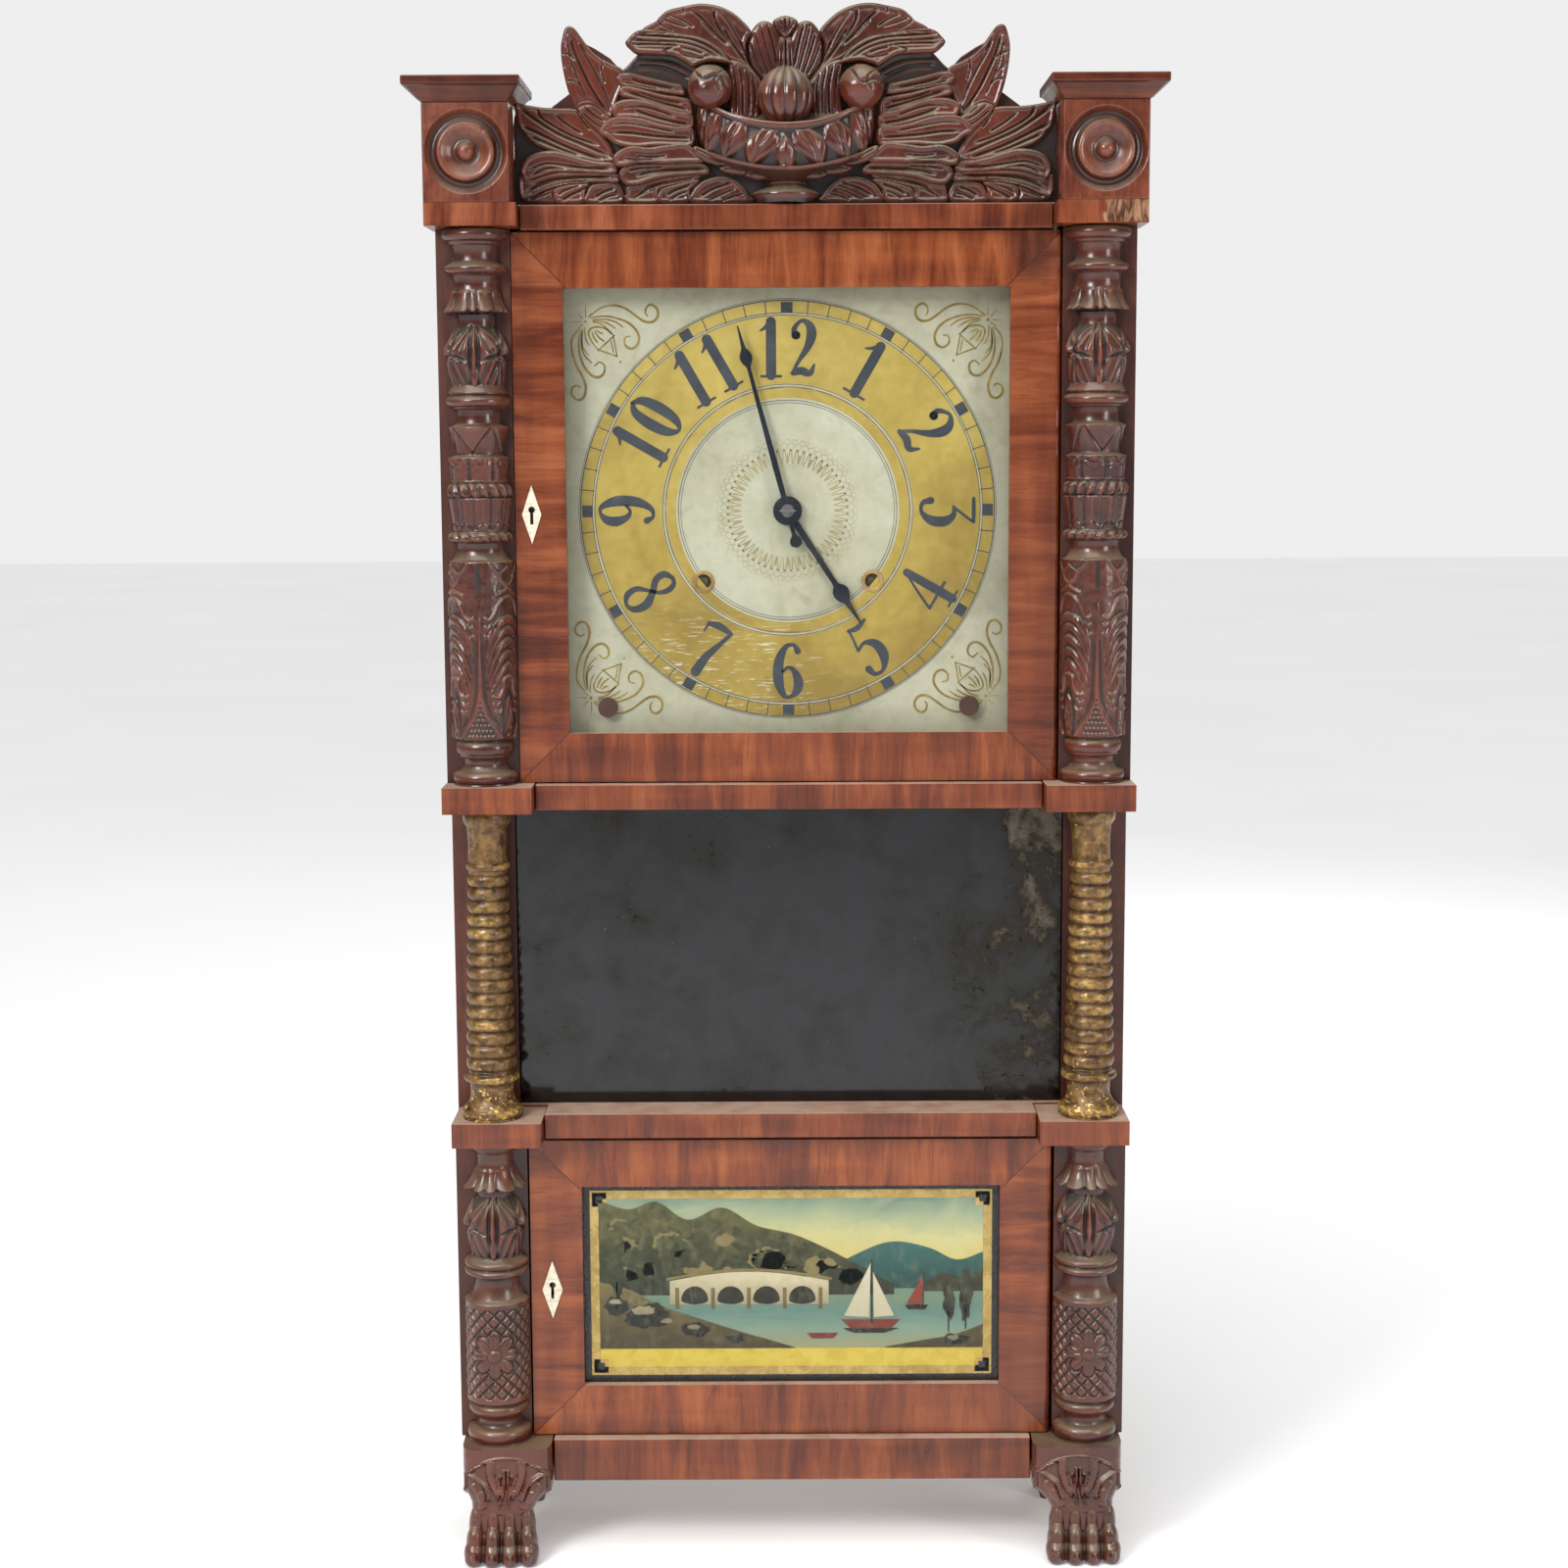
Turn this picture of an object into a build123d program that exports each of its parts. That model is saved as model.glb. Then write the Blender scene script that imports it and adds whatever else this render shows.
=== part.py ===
from build123d import *
import math
import os

os.makedirs("parts", exist_ok=True)

# Triple decker shelf clock. Millimetres. X to the right, front faces -Y, Z up.
# Origin: middle of the bounding box on the surface the feet stand on.

# ---------------------------------------------------------------- driving sizes
HEIGHT = 968.0            # feet to the top of the carved crest
CASE_X = 212.5            # half width of the case
WALL = 10.0               # side boards
Y_STILE = -39.0           # front of the door stiles and of both doors
Y_RAIL = -46.0            # front of the cross rails
Y_BLOCK = -64.0           # front of the square blocks
Y_CAP = -76.0             # front of the top caps
Y_WEB = -21.0             # rear of the front frame, front of the side boards
Y_BACK0, Y_BACK1 = 70.0, 76.0     # back board
Z_CASE0, Z_CASE1 = 48.4, 852.0    # case box

# upper door
UD_X, UD_Z0, UD_Z1 = 167.0, 500.7, 836.2
UO_X, UO_Z0, UO_Z1 = 136.0, 531.0, 803.0
# lower door
LD_X, LD_Z0, LD_Z1 = 166.0, 77.2, 271.2
LO_X, LO_Z0, LO_Z1 = 133.0, 109.6, 240.9
DOOR_T = 18.0
PIV_X, PIV_Y = 163.0, -35.5       # hinge pins near the front right corner
PIN_R, BORE_R = 1.40, 1.46

# columns
COL_X = 188.5
COL_LX = 188.0

# dial and movement
DIAL_Y0, DIAL_Y1 = -13.0, -19.0
CZ = 667.6                        # height of the hands' centre
FP0, FP1 = 2.0, -1.0              # front plate, rear and front face
BP0, BP1 = 47.0, 44.0             # back plate, rear and front face
R_PIV, R_HOLE = 1.00, 1.05        # pivots and their holes
R_ARB = 1.6
R_WIND, R_WINDH = 3.0, 3.06       # winding arbors
GX, GZ = 52.6, -43.8              # winding arbors from the centre
DRUM_R = 15.5

# train positions from the hands' centre
P_T2 = (25.38, -9.21)
P_T3 = (13.5, 23.383)
P_E = (0.0, 42.985)
P_V = (0.0, 72.0)
P_MW = (-24.0 * math.sin(math.radians(45)), -24.0 * math.sin(math.radians(45)))
P_S2 = (-42.6, -0.95)
P_S3 = (-45.6, 24.474)
P_F = (-37.6, 41.98)
P_H = (-84.0, 16.0)
BOB_DROP = 507.0


def front(y, x=0.0, z=0.0):
    # plane that faces the front at depth y, local x to the right and local y up
    return Plane(origin=(x, y, z), x_dir=(1, 0, 0), z_dir=(0, -1, 0))


def slab(x0, x1, y0, y1, z0, z1, mode=Mode.ADD):
    with BuildSketch(Plane.XY.offset(z0)) as s:
        with Locations(((x0 + x1) / 2, (y0 + y1) / 2)):
            Rectangle(x1 - x0, y1 - y0)
    extrude(s.sketch, amount=z1 - z0, mode=mode)


def disc(x, z, r, yb, yf, mode=Mode.ADD):
    # round bar along Y from rear yb to front yf
    with BuildSketch(front(yb, x, z)) as s:
        Circle(r)
    extrude(s.sketch, amount=yb - yf, mode=mode)


def ring(x, z, r, ri, yb, yf, mode=Mode.ADD):
    with BuildSketch(front(yb, x, z)) as s:
        Circle(r)
        Circle(ri, mode=Mode.SUBTRACT)
    extrude(s.sketch, amount=yb - yf, mode=mode)


def plate(points, yb, yf, mode=Mode.ADD):
    # flat shape in X, Z from rear yb to front yf
    with BuildSketch(front(yb)) as s:
        with BuildLine() as l:
            Polyline(*points, close=True)
        make_face(l.edges())
    extrude(s.sketch, amount=yb - yf, mode=mode)


def upright(x, z, r, z1, mode=Mode.ADD, y=0.0):
    with BuildSketch(Plane(origin=(x, y, z), x_dir=(1, 0, 0), z_dir=(0, 0, 1))) as s:
        Circle(r)
    extrude(s.sketch, amount=z1 - z, mode=mode)


def tooth_points(n, m, phase, pinion):
    r = n * m / 2
    add, ded, half = (0.60 * m, 1.40 * m, 0.175) if pinion else (0.95 * m, 1.15 * m, 0.205)
    pitch = 2 * math.pi / n
    pts = []
    for k in range(n):
        a = phase + k * pitch
        w = half * pitch
        prof = [(r - ded, w * 1.05), (r - 0.1 * m, w), (r + 0.5 * add, w * 0.78), (r + add, w * 0.36)]
        for q, h in prof:
            pts.append((q * math.cos(a - h), q * math.sin(a - h)))
        for q, h in reversed(prof):
            pts.append((q * math.cos(a + h), q * math.sin(a + h)))
    return pts


def gear(pos, n, m, phase, yb, yf, pinion=False, bore=0.0, spokes=0, rim=0.0, hub=0.0):
    # toothed wheel or pinion around an axis along Y
    with BuildSketch(front(yb, pos[0], CZ + pos[1])) as s:
        with BuildLine() as l:
            Polyline(*tooth_points(n, m, phase, pinion), close=True)
        make_face(l.edges())
        if spokes:
            r_out = n * m / 2 - 1.15 * m - rim
            half = 2.0
            for k in range(spokes):
                a0 = 2 * math.pi * k / spokes
                a1 = 2 * math.pi * (k + 1) / spokes
                p = []
                d0 = math.asin(half / hub)
                d1 = math.asin(half / r_out)
                p.append((hub * math.cos(a0 + d0), hub * math.sin(a0 + d0)))
                for i in range(7):
                    t = a0 + d1 + (a1 - a0 - 2 * d1) * i / 6
                    p.append((r_out * math.cos(t), r_out * math.sin(t)))
                p.append((hub * math.cos(a1 - d0), hub * math.sin(a1 - d0)))
                am = (a0 + a1) / 2
                p.append((hub * math.cos(am), hub * math.sin(am)))
                with BuildLine() as w:
                    Polyline(*p, close=True)
                make_face(w.edges(), mode=Mode.SUBTRACT)
        if bore:
            Circle(bore, mode=Mode.SUBTRACT)
    extrude(s.sketch, amount=yb - yf)


def mesh_phase(a_pos, b_pos, n_a, phase_a, n_b):
    # phase that puts b's tooth gap on a's tooth
    th = math.atan2(b_pos[1] - a_pos[1], b_pos[0] - a_pos[0])
    p_a = (th - phase_a) * n_a / (2 * math.pi)
    return th + math.pi - (0.5 - p_a) * 2 * math.pi / n_b


def arbor(pos, y0=BP1 - 0.6, y1=FP0 + 0.6, r=R_ARB):
    # steel arbor between the plates with a pivot at each end
    disc(pos[0], CZ + pos[1], r, y0, y1)
    disc(pos[0], CZ + pos[1], R_PIV, BP0 - 0.4, y0)
    disc(pos[0], CZ + pos[1], R_PIV, y1, FP1 + 0.4)


# ================================================================ case
with BuildPart() as side_boards:
    slab(-CASE_X, -CASE_X + WALL, Y_WEB, Y_BACK0, Z_CASE0, Z_CASE1)
    slab(CASE_X - WALL, CASE_X, Y_WEB, Y_BACK0, Z_CASE0, Z_CASE1)

with BuildPart() as back_board:
    slab(-CASE_X, CASE_X, Y_BACK0, Y_BACK1, Z_CASE0, Z_CASE1)
    # grooves between the three boards of the back
    for gx in (-70.0, 72.0):
        slab(gx - 0.8, gx + 0.8, Y_BACK1 - 1.2, Y_BACK1 + 1, Z_CASE0 - 1, Z_CASE1 + 1, mode=Mode.SUBTRACT)

IN_X = CASE_X - WALL - 0.2
with BuildPart() as top_board:
    slab(-IN_X, IN_X, -8.8, Y_BACK0, 840.0, Z_CASE1)

with BuildPart() as bottom_board:
    slab(-IN_X, IN_X, Y_WEB, Y_BACK0, Z_CASE0, 60.0)

# upper, middle and lower stiles at each side
STRIKE_Z = 666.3
LOCK2_Z = 173.6
with BuildPart() as front_stiles:
    for s in (-1, 1):
        a, b = sorted((s * 167.5, s * CASE_X))
        slab(a, b, Y_STILE, Y_WEB, 500.3, 838.4)
        a, b = sorted((s * 167.2, s * CASE_X))
        slab(a, b, Y_STILE, Y_WEB, 76.3, 273.3)
        a, b = sorted((s * 173.0, s * IN_X))
        slab(a, b, Y_WEB, -9.0, 290.4, 483.7)
    # mortises that take the lock bolts
    slab(-174.0, -167.4, -28.0, -22.0, STRIKE_Z - 6.0, STRIKE_Z + 6.0, mode=Mode.SUBTRACT)
    slab(-173.5, -167.1, -28.0, -22.0, LOCK2_Z - 6.0, LOCK2_Z + 6.0, mode=Mode.SUBTRACT)

with BuildPart() as front_rails:
    slab(-160.6, 160.6, Y_RAIL, Y_WEB, 837.1, Z_CASE1)
    slab(-IN_X, IN_X, Y_WEB, -9.0, 837.1, Z_CASE1)
    slab(-157.4, 157.4, Y_RAIL, Y_WEB, 483.8, 499.8)
    slab(-IN_X, IN_X, Y_WEB, -9.0, 483.8, 499.8)
    slab(-155.3, 155.3, Y_RAIL, Y_WEB, 274.4, 290.3)
    slab(-IN_X, IN_X, Y_WEB, -9.0, 274.4, 290.3)
    slab(-152.9, 152.9, Y_RAIL, Y_WEB, Z_CASE0, 76.1)
    slab(-IN_X, IN_X, Y_WEB, -9.0, 60.2, 76.1)

# square plinth blocks over the caps of the columns, each with a turned roundel
with BuildPart() as corner_blocks:
    for s in (-1, 1):
        a, b = sorted((s * 164.6, s * 216.0))
        slab(a, b, Y_BLOCK, -12.0, Z_CASE1, 910.0)
        cx = s * 190.3
        disc(cx, 881.8, 24.3, Y_BLOCK + 4.0, Y_BLOCK - 1.0, mode=Mode.SUBTRACT)
        disc(cx, 881.8, 16.5, Y_BLOCK + 4.0, Y_BLOCK - 0.5)
        ring(cx, 881.8, 13.6, 7.4, Y_BLOCK + 1.0, Y_BLOCK - 1.0, mode=Mode.SUBTRACT)
        disc(cx, 881.8, 3.7, Y_BLOCK, Y_BLOCK - 2.5)

with BuildPart() as corner_caps:
    for s in (-1, 1):
        cx = s * 190.3
        with BuildSketch(Plane.XY.offset(910.0)) as lo:
            with Locations((cx, (Y_BLOCK - 12.0) / 2)):
                Rectangle(51.4, -12.0 - Y_BLOCK)
        with BuildSketch(Plane.XY.offset(919.0)) as hi:
            with Locations((s * 191.1, -38.0)):
                Rectangle(67.6, 73.0)
        loft([lo.sketch.face(), hi.sketch.face()])
        a, b = sorted((s * 156.2, s * 226.3))
        slab(a, b, Y_CAP, 0.0, 919.0, 924.4)

with BuildPart() as column_blocks:
    for s in (-1, 1):
        a, b = sorted((s * 161.1, s * 216.0))
        slab(a, b, Y_BLOCK, Y_WEB, 838.4, Z_CASE1)
        a, b = sorted((s * 157.9, s * 213.0))
        slab(a, b, Y_BLOCK, Y_WEB, 484.0, 500.3)
        a, b = sorted((s * 155.8, s * 211.6))
        slab(a, b, Y_BLOCK, Y_WEB, 273.4, 288.8)
    # blind holes for the door pins
    upright(PIV_X, 838.0, PIN_R, 846.0, Mode.SUBTRACT, PIV_Y)
    upright(PIV_X, 492.0, PIN_R, 501.0, Mode.SUBTRACT, PIV_Y)
    upright(PIV_X, 273.0, PIN_R, 281.0, Mode.SUBTRACT, PIV_Y)

with BuildPart() as hinge_pins:
    for z0, z1, zw0, zw1 in ((827.0, 846.0, 836.4, 838.4), (492.0, 510.0, 500.3, 500.6), (262.0, 281.0, 271.4, 273.4), (68.0, 87.0, 76.2, 77.0)):
        upright(PIV_X, z0, PIN_R, z1, Mode.ADD, PIV_Y)
        upright(PIV_X, zw0, 2.2, zw1, Mode.ADD, PIV_Y)

# ---------------------------------------------------------------- carved crest
CREST_HALF = [(0, 968.0), (12, 966.5), (20, 958.5), (27, 957.5), (36, 964.5), (48, 967.6), (62, 966.5), (76, 959.0), (88, 950.0), (97, 938.5),
              (101, 937.0), (109, 946.0), (118, 952.0), (125.5, 956.0), (128.0, 949.0), (126.0, 938.0), (121, 929.0), (133, 925.0), (146, 915.0),
              (155, 902.0), (161.5, 888.0), (164.0, 872.0), (163.6, 852.2)]


def mirrored(half):
    return half + [(-x, z) for x, z in reversed(half) if abs(x) > 0.01]


def shrink(half, k, kz):
    return [(x * k, 852.2 + (z - 852.2) * kz) for x, z in half]


with BuildPart() as crest_board:
    plate(mirrored(shrink(CREST_HALF, 0.97, 0.93)), -24.0, -32.0)

with BuildPart() as crest_carving:
    plate(mirrored(CREST_HALF), -32.0, -41.0)
    plate(mirrored(shrink(CREST_HALF, 0.88, 0.86)), -41.0, -47.0)
    # footed bowl with fruit, half round against the leaves
    with BuildSketch(front(-44.0, 0, 0)) as bowl:
        with BuildLine() as bl:
            Polyline((0, 854.0), (22, 854.0), (20, 859.0), (12, 863.0), (13, 868.0), (34, 872.0), (47, 881.0), (52, 892.0), (52, 897.0), (40, 903.0), (22, 911.0), (0, 914.0), close=True)
        make_face(bl.edges())
    revolve(bowl.sketch, axis=Axis((0, -44.0, 0), (0, 0, -1)), revolution_arc=180)
    slab(-60, 60, -110.0, -62.0, 852.3, 920.0, mode=Mode.SUBTRACT)
    slab(-60, 60, -32.0, 20.0, 852.3, 920.0, mode=Mode.SUBTRACT)

# ---------------------------------------------------------------- columns
UPPER_PROFILE = [(0, 500.3), (20.3, 500.3), (20.3, 507.0), (14.2, 509.5), (14.0, 514.5), (17.8, 519.0), (18.0, 527.5), (19.5, 529.0), (19.8, 560.0), (20.4, 600.0),
                 (20.5, 636.5), (19.8, 638.5), (15.6, 641.0), (15.8, 648.0), (20.0, 650.0), (20.0, 655.5), (17.5, 657.0), (18.6, 662.0), (20.0, 675.0), (19.5, 677.0),
                 (19.6, 684.5), (19.0, 687.0), (18.6, 693.0), (18.6, 700.0), (14.6, 703.0), (17.6, 711.0), (18.0, 719.0), (14.0, 721.5), (14.0, 730.0), (20.0, 731.5),
                 (20.0, 738.0), (19.2, 739.5), (16.0, 745.0), (18.4, 757.0), (19.5, 764.0), (17.5, 772.0), (11.6, 779.0), (11.6, 786.0), (19.5, 787.5), (15.2, 800.0),
                 (14.2, 801.5), (14.2, 810.0), (19.0, 811.0), (19.0, 816.0), (14.3, 817.0), (14.3, 830.0), (16.5, 831.5), (16.5, 838.4), (0, 838.4)]
with BuildPart() as upper_columns:
    for s in (-1, 1):
        with BuildSketch(front(Y_STILE, s * COL_X, 0)) as cs:
            with BuildLine() as cl:
                Polyline(*UPPER_PROFILE, close=True)
            make_face(cl.edges())
        revolve(cs.sketch, axis=Axis((s * COL_X, Y_STILE, 0), (0, 0, -1)), revolution_arc=180)

MID_PROFILE = [(0, 288.8), (19.0, 288.8), (19.0, 292.5), (17.6, 298.0), (13.5, 303.0), (13.2, 310.0), (17.5, 313.5), (17.5, 316.0), (14.5, 320.0)]
for k in range(15):
    zz = 320.0 + 8.3 * k + 4.15
    rr = 15.8 - 2.95 * k / 14
    MID_PROFILE += [(rr, zz), (rr - 2.3, zz + 4.15)]
MID_PROFILE += [(13.5, 447.0), (13.5, 450.0), (12.2, 452.0), (12.4, 474.0), (14.8, 477.0), (14.8, 484.0), (0, 484.0)]
COL_MY = -43.0
with BuildPart() as middle_columns:
    for s in (-1, 1):
        with BuildSketch(front(COL_MY, s * COL_LX, 0)) as ms:
            with BuildLine() as ml:
                Polyline(*MID_PROFILE, close=True)
            make_face(ml.edges())
        revolve(ms.sketch, axis=Axis((s * COL_LX, COL_MY, 0), (0, 0, 1)), revolution_arc=360)

LOW_PROFILE = [(0, 76.2), (20.5, 76.2), (20.5, 86.0), (14.2, 88.5), (14.0, 93.5), (19.5, 95.0), (19.5, 102.0), (20.9, 104.0), (20.9, 170.0), (17.0, 172.0), (14.5, 178.0),
               (14.5, 185.0), (20.5, 187.0), (20.5, 196.0), (15.5, 199.0), (18.4, 212.0), (19.4, 220.0), (17.5, 229.0), (11.6, 236.5), (11.6, 240.0), (19.8, 243.0),
               (15.0, 252.0), (12.0, 256.0), (11.5, 265.5), (15.0, 267.0), (15.0, 273.4), (0, 273.4)]
with BuildPart() as lower_columns:
    for s in (-1, 1):
        with BuildSketch(front(Y_STILE, s * COL_LX, 0)) as ls:
            with BuildLine() as ll:
                Polyline(*LOW_PROFILE, close=True)
            make_face(ll.edges())
        revolve(ls.sketch, axis=Axis((s * COL_LX, Y_STILE, 0), (0, 0, -1)), revolution_arc=180)

# ---------------------------------------------------------------- feet
with BuildPart() as front_feet:
    for s in (-1, 1):
        a, b = sorted((s * 153.4, s * 210.6))
        slab(a, b, Y_BLOCK, Y_WEB, 46.0, 76.2)
        # ankle that narrows to the paw
        with BuildSketch(Plane.XY.offset(46.0)) as k0:
            with Locations((s * 182.0, (Y_BLOCK + Y_WEB) / 2)):
                Rectangle(57.2, Y_WEB - Y_BLOCK)
        with BuildSketch(Plane.XY.offset(28.0)) as k1:
            with Locations((s * 185.8, -43.0)):
                Rectangle(40.0, 36.0)
        loft([k1.sketch.face(), k0.sketch.face()])
        # paw with four toes
        with BuildSketch(Plane.XY) as p0:
            with Locations((s * 185.8, -44.0)):
                RectangleRounded(44.0, 44.0, 8.0)
        extrude(p0.sketch, amount=28.5)
        for t in range(4):
            tx = s * 185.8 + (t - 1.5) * 11.4
            with BuildSketch(Plane.XY) as tp:
                with Locations((tx, -66.0)):
                    Circle(5.6)
            extrude(tp.sketch, amount=17.0)
    # blind holes for the lower door pin
    upright(PIV_X, 68.0, PIN_R, 80.0, Mode.SUBTRACT, PIV_Y)

with BuildPart() as rear_feet:
    for s in (-1, 1):
        with BuildSketch(Plane.XY) as r0:
            with Locations((s * 184.0, 50.0)):
                RectangleRounded(32.0, 30.0, 4.0)
        with BuildSketch(Plane.XY.offset(48.4)) as r1:
            with Locations((s * 184.0, 48.0)):
                RectangleRounded(46.0, 42.0, 4.0)
        loft([r0.sketch.face(), r1.sketch.face()])

# ---------------------------------------------------------------- mirror
with BuildPart() as mirror_glass:
    slab(-172.5, 172.5, -17.0, -14.0, 290.6, 483.5)
with BuildPart() as mirror_backboard:
    slab(-172.5, 172.5, -13.8, -8.8, 290.6, 483.5)

# ---------------------------------------------------------------- dial
with BuildPart() as dial_board:
    slab(-165.0, 165.0, DIAL_Y1, DIAL_Y0, 500.0, 836.8)
    disc(0, CZ, 5.5, -10, -25, mode=Mode.SUBTRACT)
    for s in (-1, 1):
        disc(s * GX, CZ + GZ, 4.6, -10, -25, mode=Mode.SUBTRACT)

with BuildPart() as dial_buttons:
    for s in (-1, 1):
        disc(s * 113.0, 545.5, 3.2, DIAL_Y1, DIAL_Y1 - 2.0)
        disc(s * 113.0, 545.5, 6.2, DIAL_Y1 - 1.6, DIAL_Y1 - 5.0)

with BuildPart() as winding_grommets:
    for s in (-1, 1):
        ring(s * GX, CZ + GZ, 6.9, 4.6, DIAL_Y1, DIAL_Y1 - 1.0)

# ---------------------------------------------------------------- what carries the movement
with BuildPart() as movement_supports:
    slab(-139.0, -133.0, -7.5, Y_BACK0, 60.0, 770.0)
    slab(133.0, 139.0, -7.5, Y_BACK0, 60.0, 770.0)
    slab(-133.0, 133.0, -7.0, 50.0, 560.0, 572.0)

PL_Z0, PL_Z1, PL_X = 572.0, 756.0, 92.0
arbor_holes = [P_T2, P_T3, P_E, P_V, P_S2, P_S3, P_F, P_H]
WINDOWS = [(0, -66, 44, 20), (0, -30, 30, 20), (72, 20, 26, 46), (46, 50, 34, 30), (46, 8, 18, 24), (-66, 46, 14, 30)]


def plate_holes(y0, y1):
    for p in arbor_holes:
        disc(p[0], CZ + p[1], R_HOLE, y0, y1, mode=Mode.SUBTRACT)
    for s in (-1, 1):
        disc(s * GX, CZ + GZ, R_WINDH, y0, y1, mode=Mode.SUBTRACT)
    disc(0, CZ, 1.55, y0, y1, mode=Mode.SUBTRACT)
    for wx, wz, ww, wh in WINDOWS:
        with BuildSketch(front(y0, wx, CZ + wz)) as ws:
            RectangleRounded(ww, wh, 4.0)
        extrude(ws.sketch, amount=y0 - y1, mode=Mode.SUBTRACT)


with BuildPart() as front_plate:
    slab(-PL_X, PL_X, FP1, FP0, PL_Z0, PL_Z1)
    plate_holes(FP0 + 1, FP1 - 1)
    # stud of the minute wheel
    disc(P_MW[0], CZ + P_MW[1], 1.5, FP0 - 1.0, -11.4)
    disc(P_MW[0], CZ + P_MW[1], 3.0, FP1, FP1 - 0.8)

with BuildPart() as back_plate:
    slab(-PL_X, PL_X, BP1, BP0, PL_Z0, PL_Z1)
    plate_holes(BP0 + 1, BP1 - 1)
    # four riveted pillars
    for px in (-84.0, 84.0):
        for pz in (579.6, 747.6):
            disc(px, pz, 3.6, BP1, FP0)
            disc(px, pz, 4.6, BP1, BP1 - 3.0)
            disc(px, pz, 4.6, FP0 + 3.0, FP0)
    # cock that holds the pendulum spring
    slab(-5.0, 5.0, BP0, 60.0, 746.0, 751.0)

# ---------------------------------------------------------------- wire gong
with BuildPart() as gong:
    with BuildLine() as spiral:
        gx = -102.0
        side = 1
        rad = 32.0
        x_now = gx
        for k in range(9):
            x_next = x_now + side * 2 * rad
            mid = (x_now + x_next) / 2
            top = 1 if side > 0 else -1
            ThreePointArc((x_now, 57.0, 520.0), (mid, 57.0, 520.0 + top * rad), (x_next, 57.0, 520.0))
            x_now = x_next
            side = -side
            rad -= 2.3
        end_x = x_now
    with BuildSketch(Plane(origin=(gx, 57.0, 520.0), x_dir=(1, 0, 0), z_dir=(0, 0, 1))) as wire:
        Circle(1.2)
    sweep(wire.sketch, path=spiral.wires()[0])
    disc(end_x, 520.0, 4.0, Y_BACK0, 54.5)

with BuildPart() as pulley_brackets:
    for s in (-1, 1):
        cx = s * 154.5
        slab(cx - 8, cx + 8, 22.0, 40.0, 838.0, 840.0)
        for y0, y1 in ((22.0, 24.5), (37.5, 40.0)):
            slab(cx - 5, cx + 5, y0, y1, 809.0, 838.0)
        disc(cx, 815.0, 1.55, 45.0, 15.0, mode=Mode.SUBTRACT)

# ================================================================ doors
def door_frame(x, z0, z1, ox, oz0, oz1):
    slab(-x, x, Y_STILE, Y_STILE + DOOR_T, z0, z1)
    slab(-ox, ox, Y_STILE - 1, Y_WEB + 1, oz0, oz1, mode=Mode.SUBTRACT)
    slab(-ox - 3.5, ox + 3.5, -33.0, Y_WEB + 1, oz0 - 3.5, oz1 + 3.5, mode=Mode.SUBTRACT)
    upright(PIV_X, z1 - 9.7, BORE_R, z1 + 1, Mode.SUBTRACT, PIV_Y)
    upright(PIV_X, z0 - 1, BORE_R, z0 + 10.3, Mode.SUBTRACT, PIV_Y)


def lock_pocket(x, cx, z):
    # mortise for the lock from the rear and the keyhole from the front
    slab(-x - 1, cx + 11.0, -30.0, Y_WEB + 1, z - 20.0, z + 20.0, mode=Mode.SUBTRACT)
    disc(cx, z + 3.0, 2.2, -29.0, -40.0, mode=Mode.SUBTRACT)
    slab(cx - 1.1, cx + 1.1, -40.0, -29.0, z - 6.0, z + 3.0, mode=Mode.SUBTRACT)


UE_X, LE_X = -157.0, -152.5
with BuildPart() as upper_door_frame:
    door_frame(UD_X, UD_Z0, UD_Z1, UO_X, UO_Z0, UO_Z1)
    lock_pocket(UD_X, UE_X, STRIKE_Z)
    fillet(upper_door_frame.edges().filter_by(Axis.Z).sort_by(Axis.X)[-4:].group_by(Axis.Y)[0], radius=3.5)

with BuildPart() as lower_door_frame:
    door_frame(LD_X, LD_Z0, LD_Z1, LO_X, LO_Z0, LO_Z1)
    lock_pocket(LD_X, LE_X, LOCK2_Z)
    fillet(lower_door_frame.edges().filter_by(Axis.Z).sort_by(Axis.X)[-4:].group_by(Axis.Y)[0], radius=3.5)

with BuildPart() as upper_door_glass:
    slab(-UO_X - 3.0, UO_X + 3.0, -33.0, -31.0, UO_Z0 - 3.0, UO_Z1 + 3.0)

with BuildPart() as lower_door_tablet:
    slab(-LO_X - 3.0, LO_X + 3.0, -33.0, -31.0, LO_Z0 - 3.0, LO_Z1 + 3.0)


def escutcheon(cx, z, w, h):
    plate([(cx, z - h / 2), (cx + w / 2, z), (cx, z + h / 2), (cx - w / 2, z)], Y_STILE, Y_STILE - 0.9)
    disc(cx, z + 3.0, 2.0, Y_STILE + 1, Y_STILE - 3, mode=Mode.SUBTRACT)
    slab(cx - 0.95, cx + 0.95, Y_STILE - 3, Y_STILE + 1, z - 6.0, z + 3.0, mode=Mode.SUBTRACT)


with BuildPart() as upper_escutcheon:
    escutcheon(UE_X, STRIKE_Z, 12.0, 36.0)
with BuildPart() as lower_escutcheon:
    escutcheon(LE_X, LOCK2_Z, 13.0, 38.0)


def lock_case(x, cx, z):
    slab(-x, cx + 10.8, -29.8, -21.2, z - 19.5, z + 19.5)
    # channel for the bolt, open at the door's edge
    slab(-x - 1, cx + 6.0, -27.6, -23.4, z - 5.4, z + 5.4, mode=Mode.SUBTRACT)
    # keyhole into the channel
    disc(cx, z + 3.0, 2.0, -27.0, -31.0, mode=Mode.SUBTRACT)


with BuildPart() as upper_lock_case:
    lock_case(UD_X, UE_X, STRIKE_Z)
with BuildPart() as lower_lock_case:
    lock_case(LD_X, LE_X, LOCK2_Z)

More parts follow.
